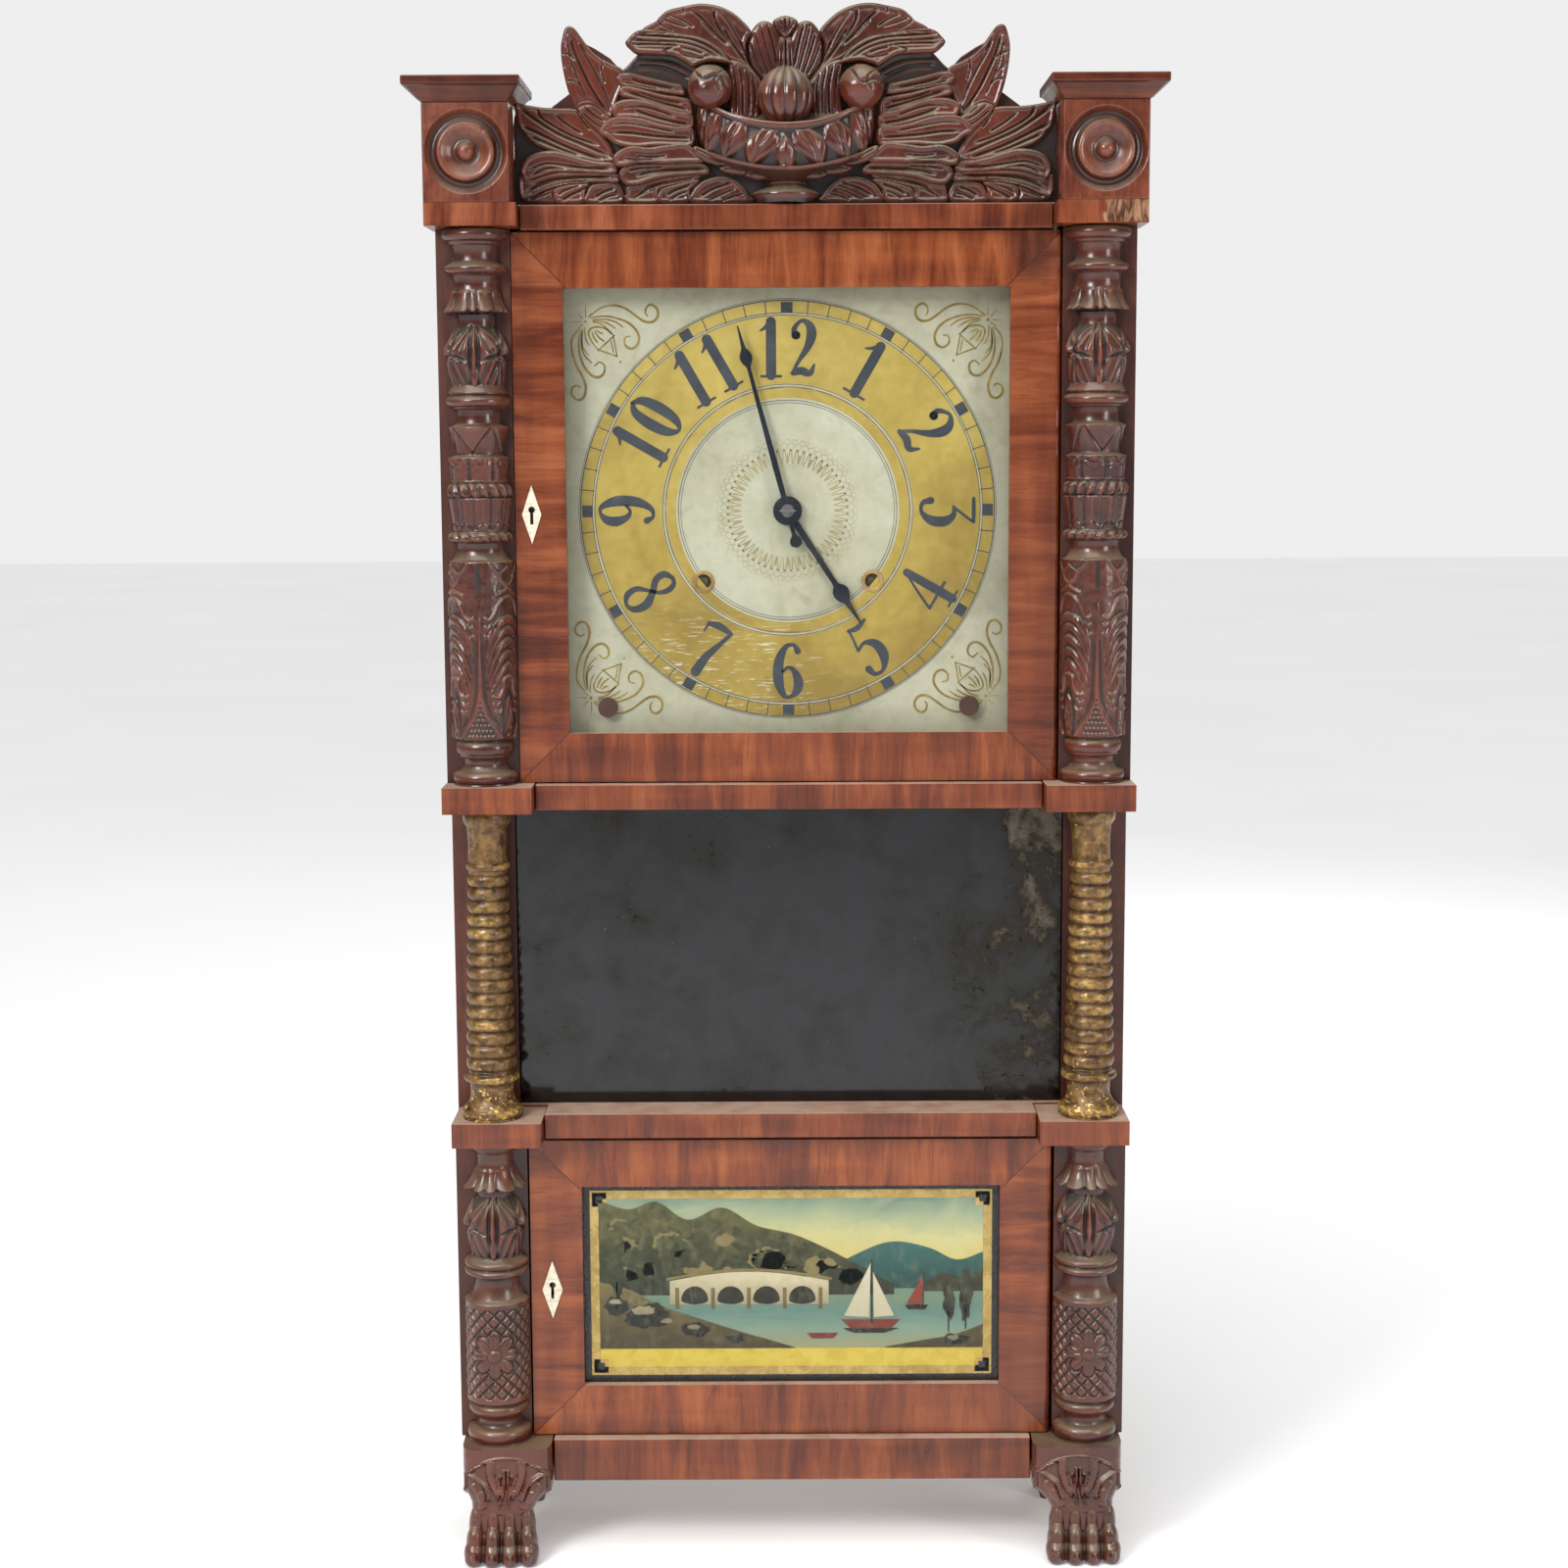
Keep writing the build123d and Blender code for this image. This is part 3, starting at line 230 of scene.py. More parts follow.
# ------------------------------------------------------------------ material helpers
class Mat:
    def __init__(self, name):
        self.m = bpy.data.materials.new(name)
        self.m.use_nodes = True
        self.t = self.m.node_tree
        self.t.nodes.clear()
        self.out = self.t.nodes.new("ShaderNodeOutputMaterial")
        self.b = self.t.nodes.new("ShaderNodeBsdfPrincipled")
        self.t.links.new(self.b.outputs[0], self.out.inputs[0])
        self.co = self.t.nodes.new("ShaderNodeTexCoord").outputs["Object"]

    def link(self, src, dst):
        if isinstance(dst, str):
            dst = self.b.inputs[dst]
        if hasattr(src, "is_output") or isinstance(src, bpy.types.NodeSocket):
            self.t.links.new(src, dst)
        else:
            dst.default_value = src
        return self

    def set(self, **k):
        for n, v in k.items():
            self.b.inputs[n.replace("_", " ")].default_value = v
        return self

    def node(self, kind, ins=None, **props):
        n = self.t.nodes.new(kind)
        for k, v in props.items():
            setattr(n, k, v)
        for k, v in (ins or {}).items():
            s = n.inputs[k]
            if isinstance(v, bpy.types.NodeSocket):
                self.t.links.new(v, s)
            else:
                s.default_value = v
        return n

    def noise(self, scale=(1, 1, 1), detail=4.0, distort=0.0, rough=0.55, loc=(0, 0, 0), rot=(0, 0, 0), co=None):
        mp = self.node("ShaderNodeMapping", {"Vector": co or self.co, "Scale": scale, "Location": loc, "Rotation": rot})
        return self.node("ShaderNodeTexNoise", {"Vector": mp.outputs[0], "Scale": 1.0, "Detail": detail, "Roughness": rough, "Distortion": distort}).outputs["Fac"]

    def math(self, op, a, b=0.0, c=0.0, clamp=False):
        n = self.t.nodes.new("ShaderNodeMath")
        n.operation = op
        n.use_clamp = clamp
        for i, v in enumerate((a, b, c)):
            if isinstance(v, bpy.types.NodeSocket):
                self.t.links.new(v, n.inputs[i])
            else:
                n.inputs[i].default_value = v
        return n.outputs[0]

    def ramp(self, fac, stops, mode="LINEAR"):
        n = self.t.nodes.new("ShaderNodeValToRGB")
        self.t.links.new(fac, n.inputs[0])
        n.color_ramp.interpolation = mode
        el = n.color_ramp.elements
        while len(el) > 1:
            el.remove(el[-1])
        el[0].position, el[0].color = stops[0][0], (*stops[0][1], 1)
        for p, c in stops[1:]:
            e = el.new(p)
            e.color = (*c, 1)
        return n.outputs[0]

    def step(self, fac, lo, hi, to=(0.0, 1.0)):
        n = self.node("ShaderNodeMapRange", {"From Min": lo, "From Max": hi, "To Min": to[0], "To Max": to[1]})
        self.t.links.new(fac, n.inputs["Value"])
        return n.outputs[0]

    def mix(self, fac, a, b, blend="MIX"):
        n = self.t.nodes.new("ShaderNodeMix")
        n.data_type = "RGBA"
        n.blend_type = blend
        n.clamp_factor = True
        for s, v in ((n.inputs[0], fac), (n.inputs[6], a), (n.inputs[7], b)):
            if isinstance(v, bpy.types.NodeSocket):
                self.t.links.new(v, s)
            elif isinstance(v, (int, float)):
                s.default_value = v
            else:
                s.default_value = (*v, 1) if len(v) == 3 else v
        return n.outputs[2]

    def bump(self, h, dist=0.0003, strength=1.0, prev=None):
        ins = {"Height": h, "Distance": dist, "Strength": strength}
        if prev is not None:
            ins["Normal"] = prev
        return self.node("ShaderNodeBump", ins).outputs[0]

    def xyz(self):
        n = self.node("ShaderNodeSeparateXYZ", {0: self.co})
        return n.outputs[0], n.outputs[1], n.outputs[2]

    def up(self):
        g = self.node("ShaderNodeNewGeometry")
        n = self.node("ShaderNodeSeparateXYZ", {0: g.outputs["Normal"]})
        return n.outputs[2]

    def attr(self, name="relief"):
        return self.node("ShaderNodeAttribute", attribute_name=name).outputs["Fac"]


def veneer_colour(m, axis, tone=1.0, red=1.0, seed=0.0):
    # figured mahogany with its grain along one axis
    s = {"X": (7, 55, 55), "Z": (55, 55, 7)}[axis]
    f = {"X": (34, 420, 420), "Z": (420, 420, 34)}[axis]
    c = {"X": (75, 9, 9), "Z": (9, 9, 75)}[axis]
    broad = m.noise(s, 5, 0.9, 0.6, loc=(seed, seed * 1.7, seed * 0.6))
    fine = m.noise(f, 3, 0.3, 0.7, loc=(seed, 0, seed))
    curl = m.noise(c, 2, 0.4, 0.5, loc=(seed * 0.3, 0, seed))
    v = m.math("ADD", m.math("MULTIPLY", broad, 0.62), m.math("ADD", m.math("MULTIPLY", fine, 0.22), m.math("MULTIPLY", curl, 0.22)))
    k = tone
    col = m.ramp(v, [(0.34, (0.062 * k, 0.0105 * k, 0.0035 * k)), (0.45, (0.140 * k, 0.0255 * k * red, 0.0070 * k)), (0.54, (0.235 * k, 0.050 * k * red, 0.0125 * k)), (0.66, (0.37 * k, 0.098 * k * red, 0.026 * k))])
    pores = m.step(fine, 0.60, 0.72)
    return m.mix(m.math("MULTIPLY", pores, 0.55), col, (0.034 * k, 0.007 * k, 0.003 * k)), fine, broad


def finish_wood(m, col, fine, broad, dust=True, rough=0.30, up_dust=0.9):
    if dust:
        up = m.up()
        speck = m.noise((60, 60, 60), 5)
        d = m.math("MULTIPLY", m.step(up, 0.55, 0.95), m.step(speck, 0.25, 0.55, (0.55, 1.0)), clamp=True)
        col = m.mix(m.math("MULTIPLY", d, up_dust), col, (0.44, 0.300, 0.220))
        r = m.math("ADD", m.step(broad, 0.3, 0.7, (rough - 0.06, rough + 0.12)), m.math("MULTIPLY", d, 0.4), clamp=True)
    else:
        r = m.step(broad, 0.3, 0.7, (rough - 0.06, rough + 0.12))
    m.link(col, "Base Color").link(r, "Roughness")
    m.link(m.bump(fine, 0.00012, 0.6, m.bump(broad, 0.0003, 0.25)), "Normal")
    m.set(Coat_Weight=0.12, Coat_Roughness=0.14)
    return m.m


def veneer(name, axis, tone=1.0, red=1.0, seed=0.0, dust=True, rough=0.30):
    m = Mat(name)
    col, fine, broad = veneer_colour(m, axis, tone, red, seed)
    stain = m.noise((9, 9, 9), 3, 0.5, loc=(seed + 4, 1, 2))
    col = m.mix(m.step(stain, 0.52, 0.75, (0.0, 0.6)), col, (0.075 * tone, 0.022 * tone, 0.012 * tone))
    return finish_wood(m, col, fine, broad, dust, rough)


def door_veneer(name, zc, diff, seed, patch=None):
    # crossbanded frame: grain across the stiles and up the rails, mitred at the corners
    m = Mat(name)
    across, f1, b1 = veneer_colour(m, "X", 0.78, 0.98, seed)
    upright, f2, b2 = veneer_colour(m, "Z", 0.90, 1.03, seed + 3.3)
    x, y, z = m.xyz()
    d = m.math("SUBTRACT", m.math("SUBTRACT", m.math("ABSOLUTE", m.math("SUBTRACT", z, zc)), m.math("ABSOLUTE", x)), diff)
    rail = m.step(d, -0.0001, 0.0001)
    col = m.mix(rail, across, upright)
    line = m.step(m.math("ABSOLUTE", d), 0.00025, 0.0008, (0.75, 0.0))
    col = m.mix(line, col, (0.03, 0.009, 0.005))
    # joints between the pieces of veneer
    side = m.math("ABSOLUTE", m.math("SUBTRACT", m.math("FRACT", m.math("MULTIPLY", z, 9.3)), 0.5))
    seam = m.math("MULTIPLY", m.step(side, 0.0, 0.0035, (0.55, 0.0)), m.math("SUBTRACT", 1.0, rail))
    col = m.mix(seam, col, (0.04, 0.011, 0.006))
    tone = m.node("ShaderNodeTexNoise", {"Vector": m.node("ShaderNodeMapping", {"Vector": m.co, "Scale": (3, 1, 9.3), "Location": (seed, 0, 0)}).outputs[0], "Scale": 1.0, "Detail": 0.0}).outputs["Fac"]
    col = m.mix(m.step(tone, 0.45, 0.75, (0.0, 0.45)), col, (0.13, 0.032, 0.014))
    if patch:
        px, pz, pr = patch
        dist = m.math("SQRT", m.math("ADD", m.math("POWER", m.math("SUBTRACT", x, px), 2.0), m.math("POWER", m.math("SUBTRACT", z, pz), 2.0)))
        wob = m.math("ADD", dist, m.math("MULTIPLY", m.noise((60, 60, 60), 3), 0.02))
        col = m.mix(m.step(wob, pr * 0.6, pr, (0.7, 0.0)), col, (0.05, 0.013, 0.008))
    fine = m.mix(rail, f1, f2)
    broad = m.mix(rail, b1, b2)
    return finish_wood(m, col, fine, broad, True, 0.27)


def carved(name, tone=1.0, dusty=1.0):
    m = Mat(name)
    rel = m.attr()
    n1 = m.noise((70, 70, 70), 4, 0.4)
    n2 = m.noise((600, 600, 120), 3, 0.2, 0.7)
    n3 = m.noise((14, 14, 14), 3, 0.3, loc=(3, 5, 1))
    k = tone
    base = m.ramp(m.math("ADD", m.math("MULTIPLY", n1, 0.6), m.math("MULTIPLY", n2, 0.4)), [(0.33, (0.026 * k, 0.0050 * k, 0.0034 * k)), (0.5, (0.060 * k, 0.0105 * k, 0.0064 * k)), (0.66, (0.108 * k, 0.0205 * k, 0.0100 * k))])
    redder = m.mix(m.step(n3, 0.42, 0.62, (0.0, 0.5)), base, (0.165 * k, 0.032 * k, 0.012 * k))
    worn = m.math("MULTIPLY", m.step(rel, 0.62, 0.95), m.step(n1, 0.3, 0.6, (0.25, 1.0)))
    c = m.mix(m.math("MULTIPLY", worn, 0.46), redder, (0.215, 0.070, 0.036))
    # painted shade: low relief values, in grooves, hollows and undersides of the carving, are darkened nearly to black
    shaded_groove = m.step(rel, 0.46, 0.12)
    c = m.mix(m.math("MULTIPLY", shaded_groove, 0.92), c, (0.0065, 0.0026, 0.0022))
    up = m.up()
    soft = m.noise((38, 38, 38), 5, 0.6, loc=(9, 2, 4))
    d = m.math("MULTIPLY", m.step(up, 0.10, 0.62), m.step(soft, 0.30, 0.56, (0.10, 1.0)), clamp=True)
    d = m.math("MULTIPLY", d, m.math("SUBTRACT", 1.0, m.math("MULTIPLY", shaded_groove, 0.6)))
    d = m.math("MULTIPLY", d, 0.90 * dusty)
    grime = m.math("MULTIPLY", m.math("MULTIPLY", m.step(rel, 0.28, 0.42), m.step(rel, 0.56, 0.46)), 0.10 * dusty)
    c = m.mix(grime, c, (0.12, 0.10, 0.07))
    c = m.mix(d, c, (0.225, 0.185, 0.115))
    m.link(c, "Base Color")
    r = m.math("ADD", m.step(n1, 0.3, 0.7, (0.17, 0.30)), m.math("ADD", m.math("MULTIPLY", d, 0.35), m.math("MULTIPLY", shaded_groove, 0.3)), clamp=True)
    m.link(r, "Roughness")
    m.link(m.bump(n2, 0.00015, 0.45, m.bump(n1, 0.0005, 0.35)), "Normal")
    m.set(Coat_Weight=0.30, Coat_Roughness=0.10)
    return m.m


def plain(name, stops, rough=(0.3, 0.5), scale=(40, 40, 40), metallic=0.0, bump=0.0002, fine=(300, 300, 300), coat=0.0):
    m = Mat(name)
    n1 = m.noise(scale, 5, 0.4)
    n2 = m.noise(fine, 3, 0.2)
    v = m.math("ADD", m.math("MULTIPLY", n1, 0.7), m.math("MULTIPLY", n2, 0.3))
    m.link(m.ramp(v, stops), "Base Color")
    m.link(m.step(n1, 0.3, 0.7, rough), "Roughness")
    m.link(m.bump(n2, bump, 0.5), "Normal")
    m.set(Metallic=metallic, Coat_Weight=coat, Coat_Roughness=0.12)
    return m.m


M_RAIL = veneer("rail_veneer", "Z", 0.72, 0.96, 2.0)
def block_veneer():
    # veneer of the blocks, with a bare rough patch on the right capital
    m = Mat("block_veneer")
    col, fine, broad = veneer_colour(m, "Z", 0.74, 0.96, 7.0)
    x, y, z = m.xyz()
    rough = m.noise((300, 300, 90), 4, 0.8)
    edge = m.math("ADD", x, m.math("MULTIPLY", m.math("SUBTRACT", rough, 0.5), 0.012))
    lost = m.math("MULTIPLY", m.step(edge, 0.189, 0.1905), m.math("MULTIPLY", m.step(z, 0.8385, 0.8395), m.step(y, -0.0625, -0.0635)))
    bare = m.ramp(rough, [(0.38, (0.055, 0.020, 0.011)), (0.52, (0.20, 0.090, 0.045)), (0.66, (0.36, 0.20, 0.115))])
    col = m.mix(lost, col, bare)
    return finish_wood(m, col, fine, broad, True, 0.30)


M_BLOCK = block_veneer()
M_CAP = veneer("cap_veneer", "X", 0.46, 0.88, 5.0)
M_STILE = veneer("stile_dark", "Z", 0.24, 0.80, 11.0, rough=0.36)
M_SIDE = veneer("side_stain", "Z", 0.40, 0.92, 15.0, rough=0.42)
M_UDOOR = door_veneer("upper_door_veneer", 0.66845, 0.00075, 1.0, (0.150, 0.822, 0.030))
M_LDOOR = door_veneer("lower_door_veneer", 0.1742, -0.069, 6.0)
M_CARVED = carved("carved_polish", 0.92, 0.62)
M_CREST = carved("crest_polish", 0.96, 0.84)
M_PINE = plain("aged_pine", [(0.3, (0.11, 0.062, 0.030)), (0.5, (0.21, 0.128, 0.066)), (0.7, (0.32, 0.21, 0.115))], (0.6, 0.85), (90, 90, 7), fine=(500, 500, 40), bump=0.0006)
M_BRASS = plain("dull_brass", [(0.3, (0.28, 0.17, 0.06)), (0.5, (0.52, 0.35, 0.13)), (0.7, (0.70, 0.50, 0.22))], (0.25, 0.5), metallic=0.95)
M_STEEL = plain("aged_steel", [(0.3, (0.10, 0.095, 0.09)), (0.55, (0.26, 0.25, 0.245)), (0.75, (0.36, 0.30, 0.24))], (0.3, 0.55), metallic=0.9)
M_HAND = plain("blued_steel", [(0.3, (0.010, 0.012, 0.018)), (0.55, (0.022, 0.026, 0.038)), (0.78, (0.06, 0.045, 0.035))], (0.25, 0.5), metallic=0.6)
M_IRON = plain("cast_iron", [(0.3, (0.03, 0.028, 0.026)), (0.6, (0.07, 0.06, 0.052)), (0.78, (0.14, 0.07, 0.035))], (0.6, 0.85), (120, 120, 120), metallic=0.4, bump=0.0012)
M_BONE = plain("old_bone", [(0.3, (0.50, 0.43, 0.30)), (0.5, (0.70, 0.64, 0.49)), (0.7, (0.80, 0.75, 0.61))], (0.35, 0.5), (150, 150, 500), bump=0.0003)
M_BUTTON = plain("turned_button", [(0.3, (0.03, 0.012, 0.007)), (0.6, (0.09, 0.03, 0.015)), (0.8, (0.16, 0.06, 0.03))], (0.3, 0.5))


def gilt_material():
    m = Mat("bronzed_gilding")
    rel = m.attr()
    n1 = m.noise((160, 160, 160), 5, 0.5)
    n2 = m.noise((30, 30, 30), 4, 0.4)
    x, y, z = m.xyz()
    base = m.ramp(n1, [(0.32, (0.048, 0.022, 0.007)), (0.5, (0.140, 0.070, 0.020)), (0.68, (0.270, 0.150, 0.046))])
    low = m.step(z, 0.345, 0.292)
    fleck = m.noise((330, 330, 420), 4, 0.6, loc=(1, 5, 2))
    right = m.step(x, 0.0, 0.1)
    # painted highlight: brighter gold on raised relief, stronger on the right column and towards the bottom
    painted_highlight = m.math("MULTIPLY", m.step(m.math("ADD", n2, m.math("ADD", m.math("MULTIPLY", low, 0.07), m.math("MULTIPLY", right, 0.045))), 0.54, 0.66), m.step(rel, 0.50, 0.66))
    c = m.mix(m.math("MULTIPLY", painted_highlight, m.step(fleck, 0.42, 0.56, (0.15, 0.8))), base, (0.60, 0.37, 0.10))
    c = m.mix(m.math("MULTIPLY", m.step(m.math("ADD", fleck, m.math("MULTIPLY", low, 0.09)), 0.68, 0.72), 0.9), c, (0.86, 0.60, 0.18))
    # painted shade: low relief values, in the hollows of the rings, are darkened
    c = m.mix(m.step(rel, 0.44, 0.20, (0.0, 0.88)), c, (0.016, 0.009, 0.005))
    m.link(c, "Base Color")
    m.link(m.step(n1, 0.3, 0.7, (0.32, 0.5)), "Roughness")
    m.link(m.bump(n1, 0.0005, 0.4), "Normal")
    m.set(Metallic=0.35, Coat_Weight=0.15, Coat_Roughness=0.2)
    return m.m


def mirror_material():
    m = Mat("old_mirror")
    x, y, z = m.xyz()
    fox = m.noise((26, 26, 26), 8, 0.25, 0.68)
    spots = m.noise((210, 210, 210), 4, 0.3, 0.6, loc=(4, 4, 1))
    right = m.step(x, 0.07, 0.15)
    edge = m.step(m.math("ABSOLUTE", m.math("SUBTRACT", z, 0.387)), 0.075, 0.097)
    age = m.math("ADD", fox, m.math("ADD", m.math("MULTIPLY", right, 0.19), m.math("SUBTRACT", m.math("MULTIPLY", edge, 0.06), 0.06)))
    # painted reflection: the silvering gets a near-black colour that stands for the dark room it reflects; the brown
    # foxing and pale spots are the glass's own ageing
    c = m.ramp(age, [(0.38, (0.050, 0.051, 0.053)), (0.60, (0.040, 0.039, 0.037)), (0.67, (0.036, 0.030, 0.023)), (0.76, (0.135, 0.112, 0.082))])
    sp = m.math("MULTIPLY", m.step(spots, 0.62, 0.68), m.step(age, 0.48, 0.66))
    c = m.mix(m.math("MULTIPLY", sp, 0.8), c, (0.018, 0.013, 0.010))
    dots = m.math("MULTIPLY", m.step(m.noise((420, 420, 420), 3, 0.2, 0.6, loc=(7, 1, 3)), 0.735, 0.76), 0.6)
    c = m.mix(dots, c, (0.42, 0.40, 0.36))
    m.link(c, "Base Color")
    m.link(m.math("ADD", m.step(age, 0.56, 0.74, (0.10, 0.48)), m.math("MULTIPLY", sp, 0.3), clamp=True), "Roughness")
    m.link(m.step(age, 0.62, 0.80, (1.0, 0.5)), "Metallic")
    m.link(m.bump(m.noise((5, 5, 5), 1), 0.0003, 0.03), "Normal")
    return m.m


def dial_material():
    m = Mat("dial_ground")
    n = m.noise((12, 12, 12), 5, 0.6)
    f = m.noise((110, 110, 110), 5, 0.5)
    streak = m.noise((5, 40, 220), 4, 0.2)
    c = m.ramp(m.math("ADD", m.math("MULTIPLY", n, 0.6), m.math("MULTIPLY", f, 0.4)), [(0.36, (0.355, 0.350, 0.235)), (0.5, (0.455, 0.450, 0.320)), (0.64, (0.530, 0.535, 0.405))])
    x, y, z = m.xyz()
    dirt = m.math("MULTIPLY", m.step(f, 0.58, 0.7), 0.28)
    c = m.mix(dirt, c, (0.25, 0.24, 0.16))
    c = m.mix(m.step(streak, 0.62, 0.72, (0.0, 0.14)), c, (0.30, 0.28, 0.20))
    edge = m.math("MAXIMUM", m.math("ABSOLUTE", x), m.math("ABSOLUTE", m.math("SUBTRACT", z, 0.6676)))
    c = m.mix(m.step(edge, 0.120, 0.140, (0.0, 0.35)), c, (0.20, 0.20, 0.14))
    m.link(c, "Base Color")
    m.link(m.step(n, 0.3, 0.7, (0.38, 0.55)), "Roughness")
    m.link(m.bump(f, 0.0003, 0.3), "Normal")
    m.set(Coat_Weight=0.1, Coat_Roughness=0.3)
    return m.m


def glass_material(name, alpha, tint):
    m = Mat(name)
    n = m.noise((16, 16, 16), 4, 0.6)
    m.set(Base_Color=(*tint, 1), Specular_IOR_Level=0.6)
    m.link(m.step(n, 0.35, 0.75, (alpha * 0.7, alpha * 1.5)), "Alpha")
    m.link(m.step(n, 0.3, 0.7, (0.03, 0.10)), "Roughness")
    m.link(m.bump(m.noise((7, 7, 7), 2), 0.0004, 0.12), "Normal")
    m.m.surface_render_method = "BLENDED"
    return m.m


M_GILT = gilt_material()
M_MIRROR = mirror_material()
M_DIAL = dial_material()
M_GLASS = glass_material("door_glass", 0.045, (0.10, 0.12, 0.11))


def dress(node, mat, bevel=0.0, seg=2):
    o = NODES[node]
    if not o.material_slots:
        o.data.materials.append(mat)
    for s in o.material_slots:
        s.link = "OBJECT"
        s.material = mat
    if bevel:
        w = o.modifiers.new("weld", "WELD")
        w.merge_threshold = 0.00001
        b = o.modifiers.new("bevel", "BEVEL")
        b.width = bevel * MM
        b.segments = seg
        b.limit_method = "ANGLE"
        b.angle_limit = math.radians(40)
        b.harden_normals = True
        b.use_clamp_overlap = True


dress("side_boards", M_SIDE, 0.8)
for n in ("back_board", "top_board", "bottom_board", "movement_supports", "mirror_backboard", "rear_feet"):
    dress(n, M_PINE, 0.8)
dress("front_stiles", M_STILE, 0.6)
dress("front_rails", M_RAIL, 0.9)
dress("column_blocks", M_BLOCK, 0.9)
dress("corner_blocks", M_BLOCK, 0.8)
dress("corner_caps", M_CAP, 1.4, 3)
dress("upper_door_frame", M_UDOOR, 0.8)
dress("lower_door_frame", M_LDOOR, 0.8)
dress("crest_board", M_STILE, 0.8)
dress("mirror_glass", M_MIRROR, 0.2)
dress("dial_board", M_DIAL, 0.3)
dress("upper_door_glass", M_GLASS)
dress("dial_buttons", M_BUTTON, 0.8)
for n in ("front_plate", "back_plate", "time_great_wheel", "strike_great_wheel", "second_wheel", "centre_wheel", "third_wheel", "escape_wheel", "minute_wheel", "hour_wheel", "pin_wheel", "locking_wheel", "fly", "time_barrel", "strike_barrel", "left_pulley", "right_pulley", "pendulum"):
    dress(n, M_BRASS)
dress("winding_grommets", M_BRASS, 0.35, 3)
for n in ("hinge_pins", "gong", "pulley_brackets", "upper_lock_case", "lower_lock_case", "upper_lock_bolt", "lower_lock_bolt", "verge", "centre_arbor", "hammer"):
    dress(n, M_STEEL)
for n in ("minute_hand", "hour_hand"):
    dress(n, M_HAND, 0.25, 2)
for n in ("upper_escutcheon", "lower_escutcheon"):
    dress(n, M_BONE, 0.3, 2)
for n in ("time_weight", "strike_weight"):
    dress(n, M_IRON)


# ------------------------------------------------------------------ turned and carved columns
def bead(z, z0, z1, rb, rm, p=0.5):
    t = (z - (z0 + z1) / 2) / ((z1 - z0) / 2)
    return np.where(np.abs(t) <= 1, rb + (rm - rb) * np.clip(1 - t * t, 0, 1) ** p, 0)


def profile(z, parts):
    # radius along z from a list of (kind, z0, z1, ...)
    r = np.full(z.shape, 1.0)
    for p in parts:
        kind, z0, z1 = p[:3]
        m = (z >= z0) & (z <= z1)
        t = np.clip((z - z0) / (z1 - z0), 0, 1)
        if kind == "bead":
            v = bead(z, z0, z1, p[3], p[4], p[5] if len(p) > 5 else 0.5)
        elif kind == "line":
            v = p[3] + (p[4] - p[3]) * t
        elif kind == "cove":            # ends r0, r1 and a hollow of depth d
            v = p[3] + (p[4] - p[3]) * t - p[5] * 4 * t * (1 - t)
        elif kind == "bell":            # quarter round from r0 at the bottom to r1 at the top
            v = p[3] + (p[4] - p[3]) * np.sin(t * math.pi / 2)
        elif kind == "flare":
            v = p[3] + (p[4] - p[3]) * (1 - np.cos(t * math.pi / 2))
        r = np.where(m, np.maximum(v, 1.0), r)
    return r


def ridge(dist, w, h, p=0.5):
    return h * np.clip(1 - (dist / w) ** 2, 0, 1) ** p


def build_column(name, cx, cy, parts, z0, z1, relief, half, mat, slot, replaces, rows, cols, mirror=False, seed=1):
    z = np.linspace(z0, z1, rows)
    if half:
        th = np.linspace(-math.pi / 2, math.pi / 2, cols)
    else:
        th = np.linspace(-math.pi, math.pi, cols + 1)[:-1]
    TH, Z = np.meshgrid(th, z)
    T = -TH if mirror else TH
    R = profile(Z, parts)
    dR, rel = relief(T, Z, R) if relief else (0 * R, 0.5 + 0 * R)
    nz = fbm(np.sin(TH) * 3 + seed, np.cos(TH) * 3, Z * 0.12, seed, 2) * 0.12
    # painted shade: hollows of the turning get a lower relief value, which the materials paint dark; raised edges get a
    # higher one, shown as rubbed wear on the carved columns and as a painted highlight on the gilt ones
    r0 = R[:, 0]
    k = max(3, int(4.2 / ((z1 - z0) / rows)))
    pad = np.pad(r0, k, mode="edge")
    mean = np.convolve(pad, np.ones(2 * k + 1) / (2 * k + 1), "valid")
    hollow = np.clip((r0 - mean) * 0.17, -0.42, 0.22)[:, None]
    rel = rel + hollow
    r = R + dR + nz
    X = cx + r * np.sin(TH)
    Y = cy - r * np.cos(TH)
    g = Geo()
    v = np.stack([X.ravel(), Y.ravel(), Z.ravel()], 1)
    f = grid_quads(rows, cols, wrap=not half)
    if half:
        for i in range(rows - 1):
            a, b = i * cols, i * cols + cols - 1
            f.append((a, a + cols, b + cols, b))
    f.append(tuple(range(cols))[::-1])
    f.append(tuple((rows - 1) * cols + k for k in range(cols)))
    g.add(v, f, np.clip(rel, 0, 1).ravel())
    return g.obj(name, mat, "case", slot, replaces, auto=None)


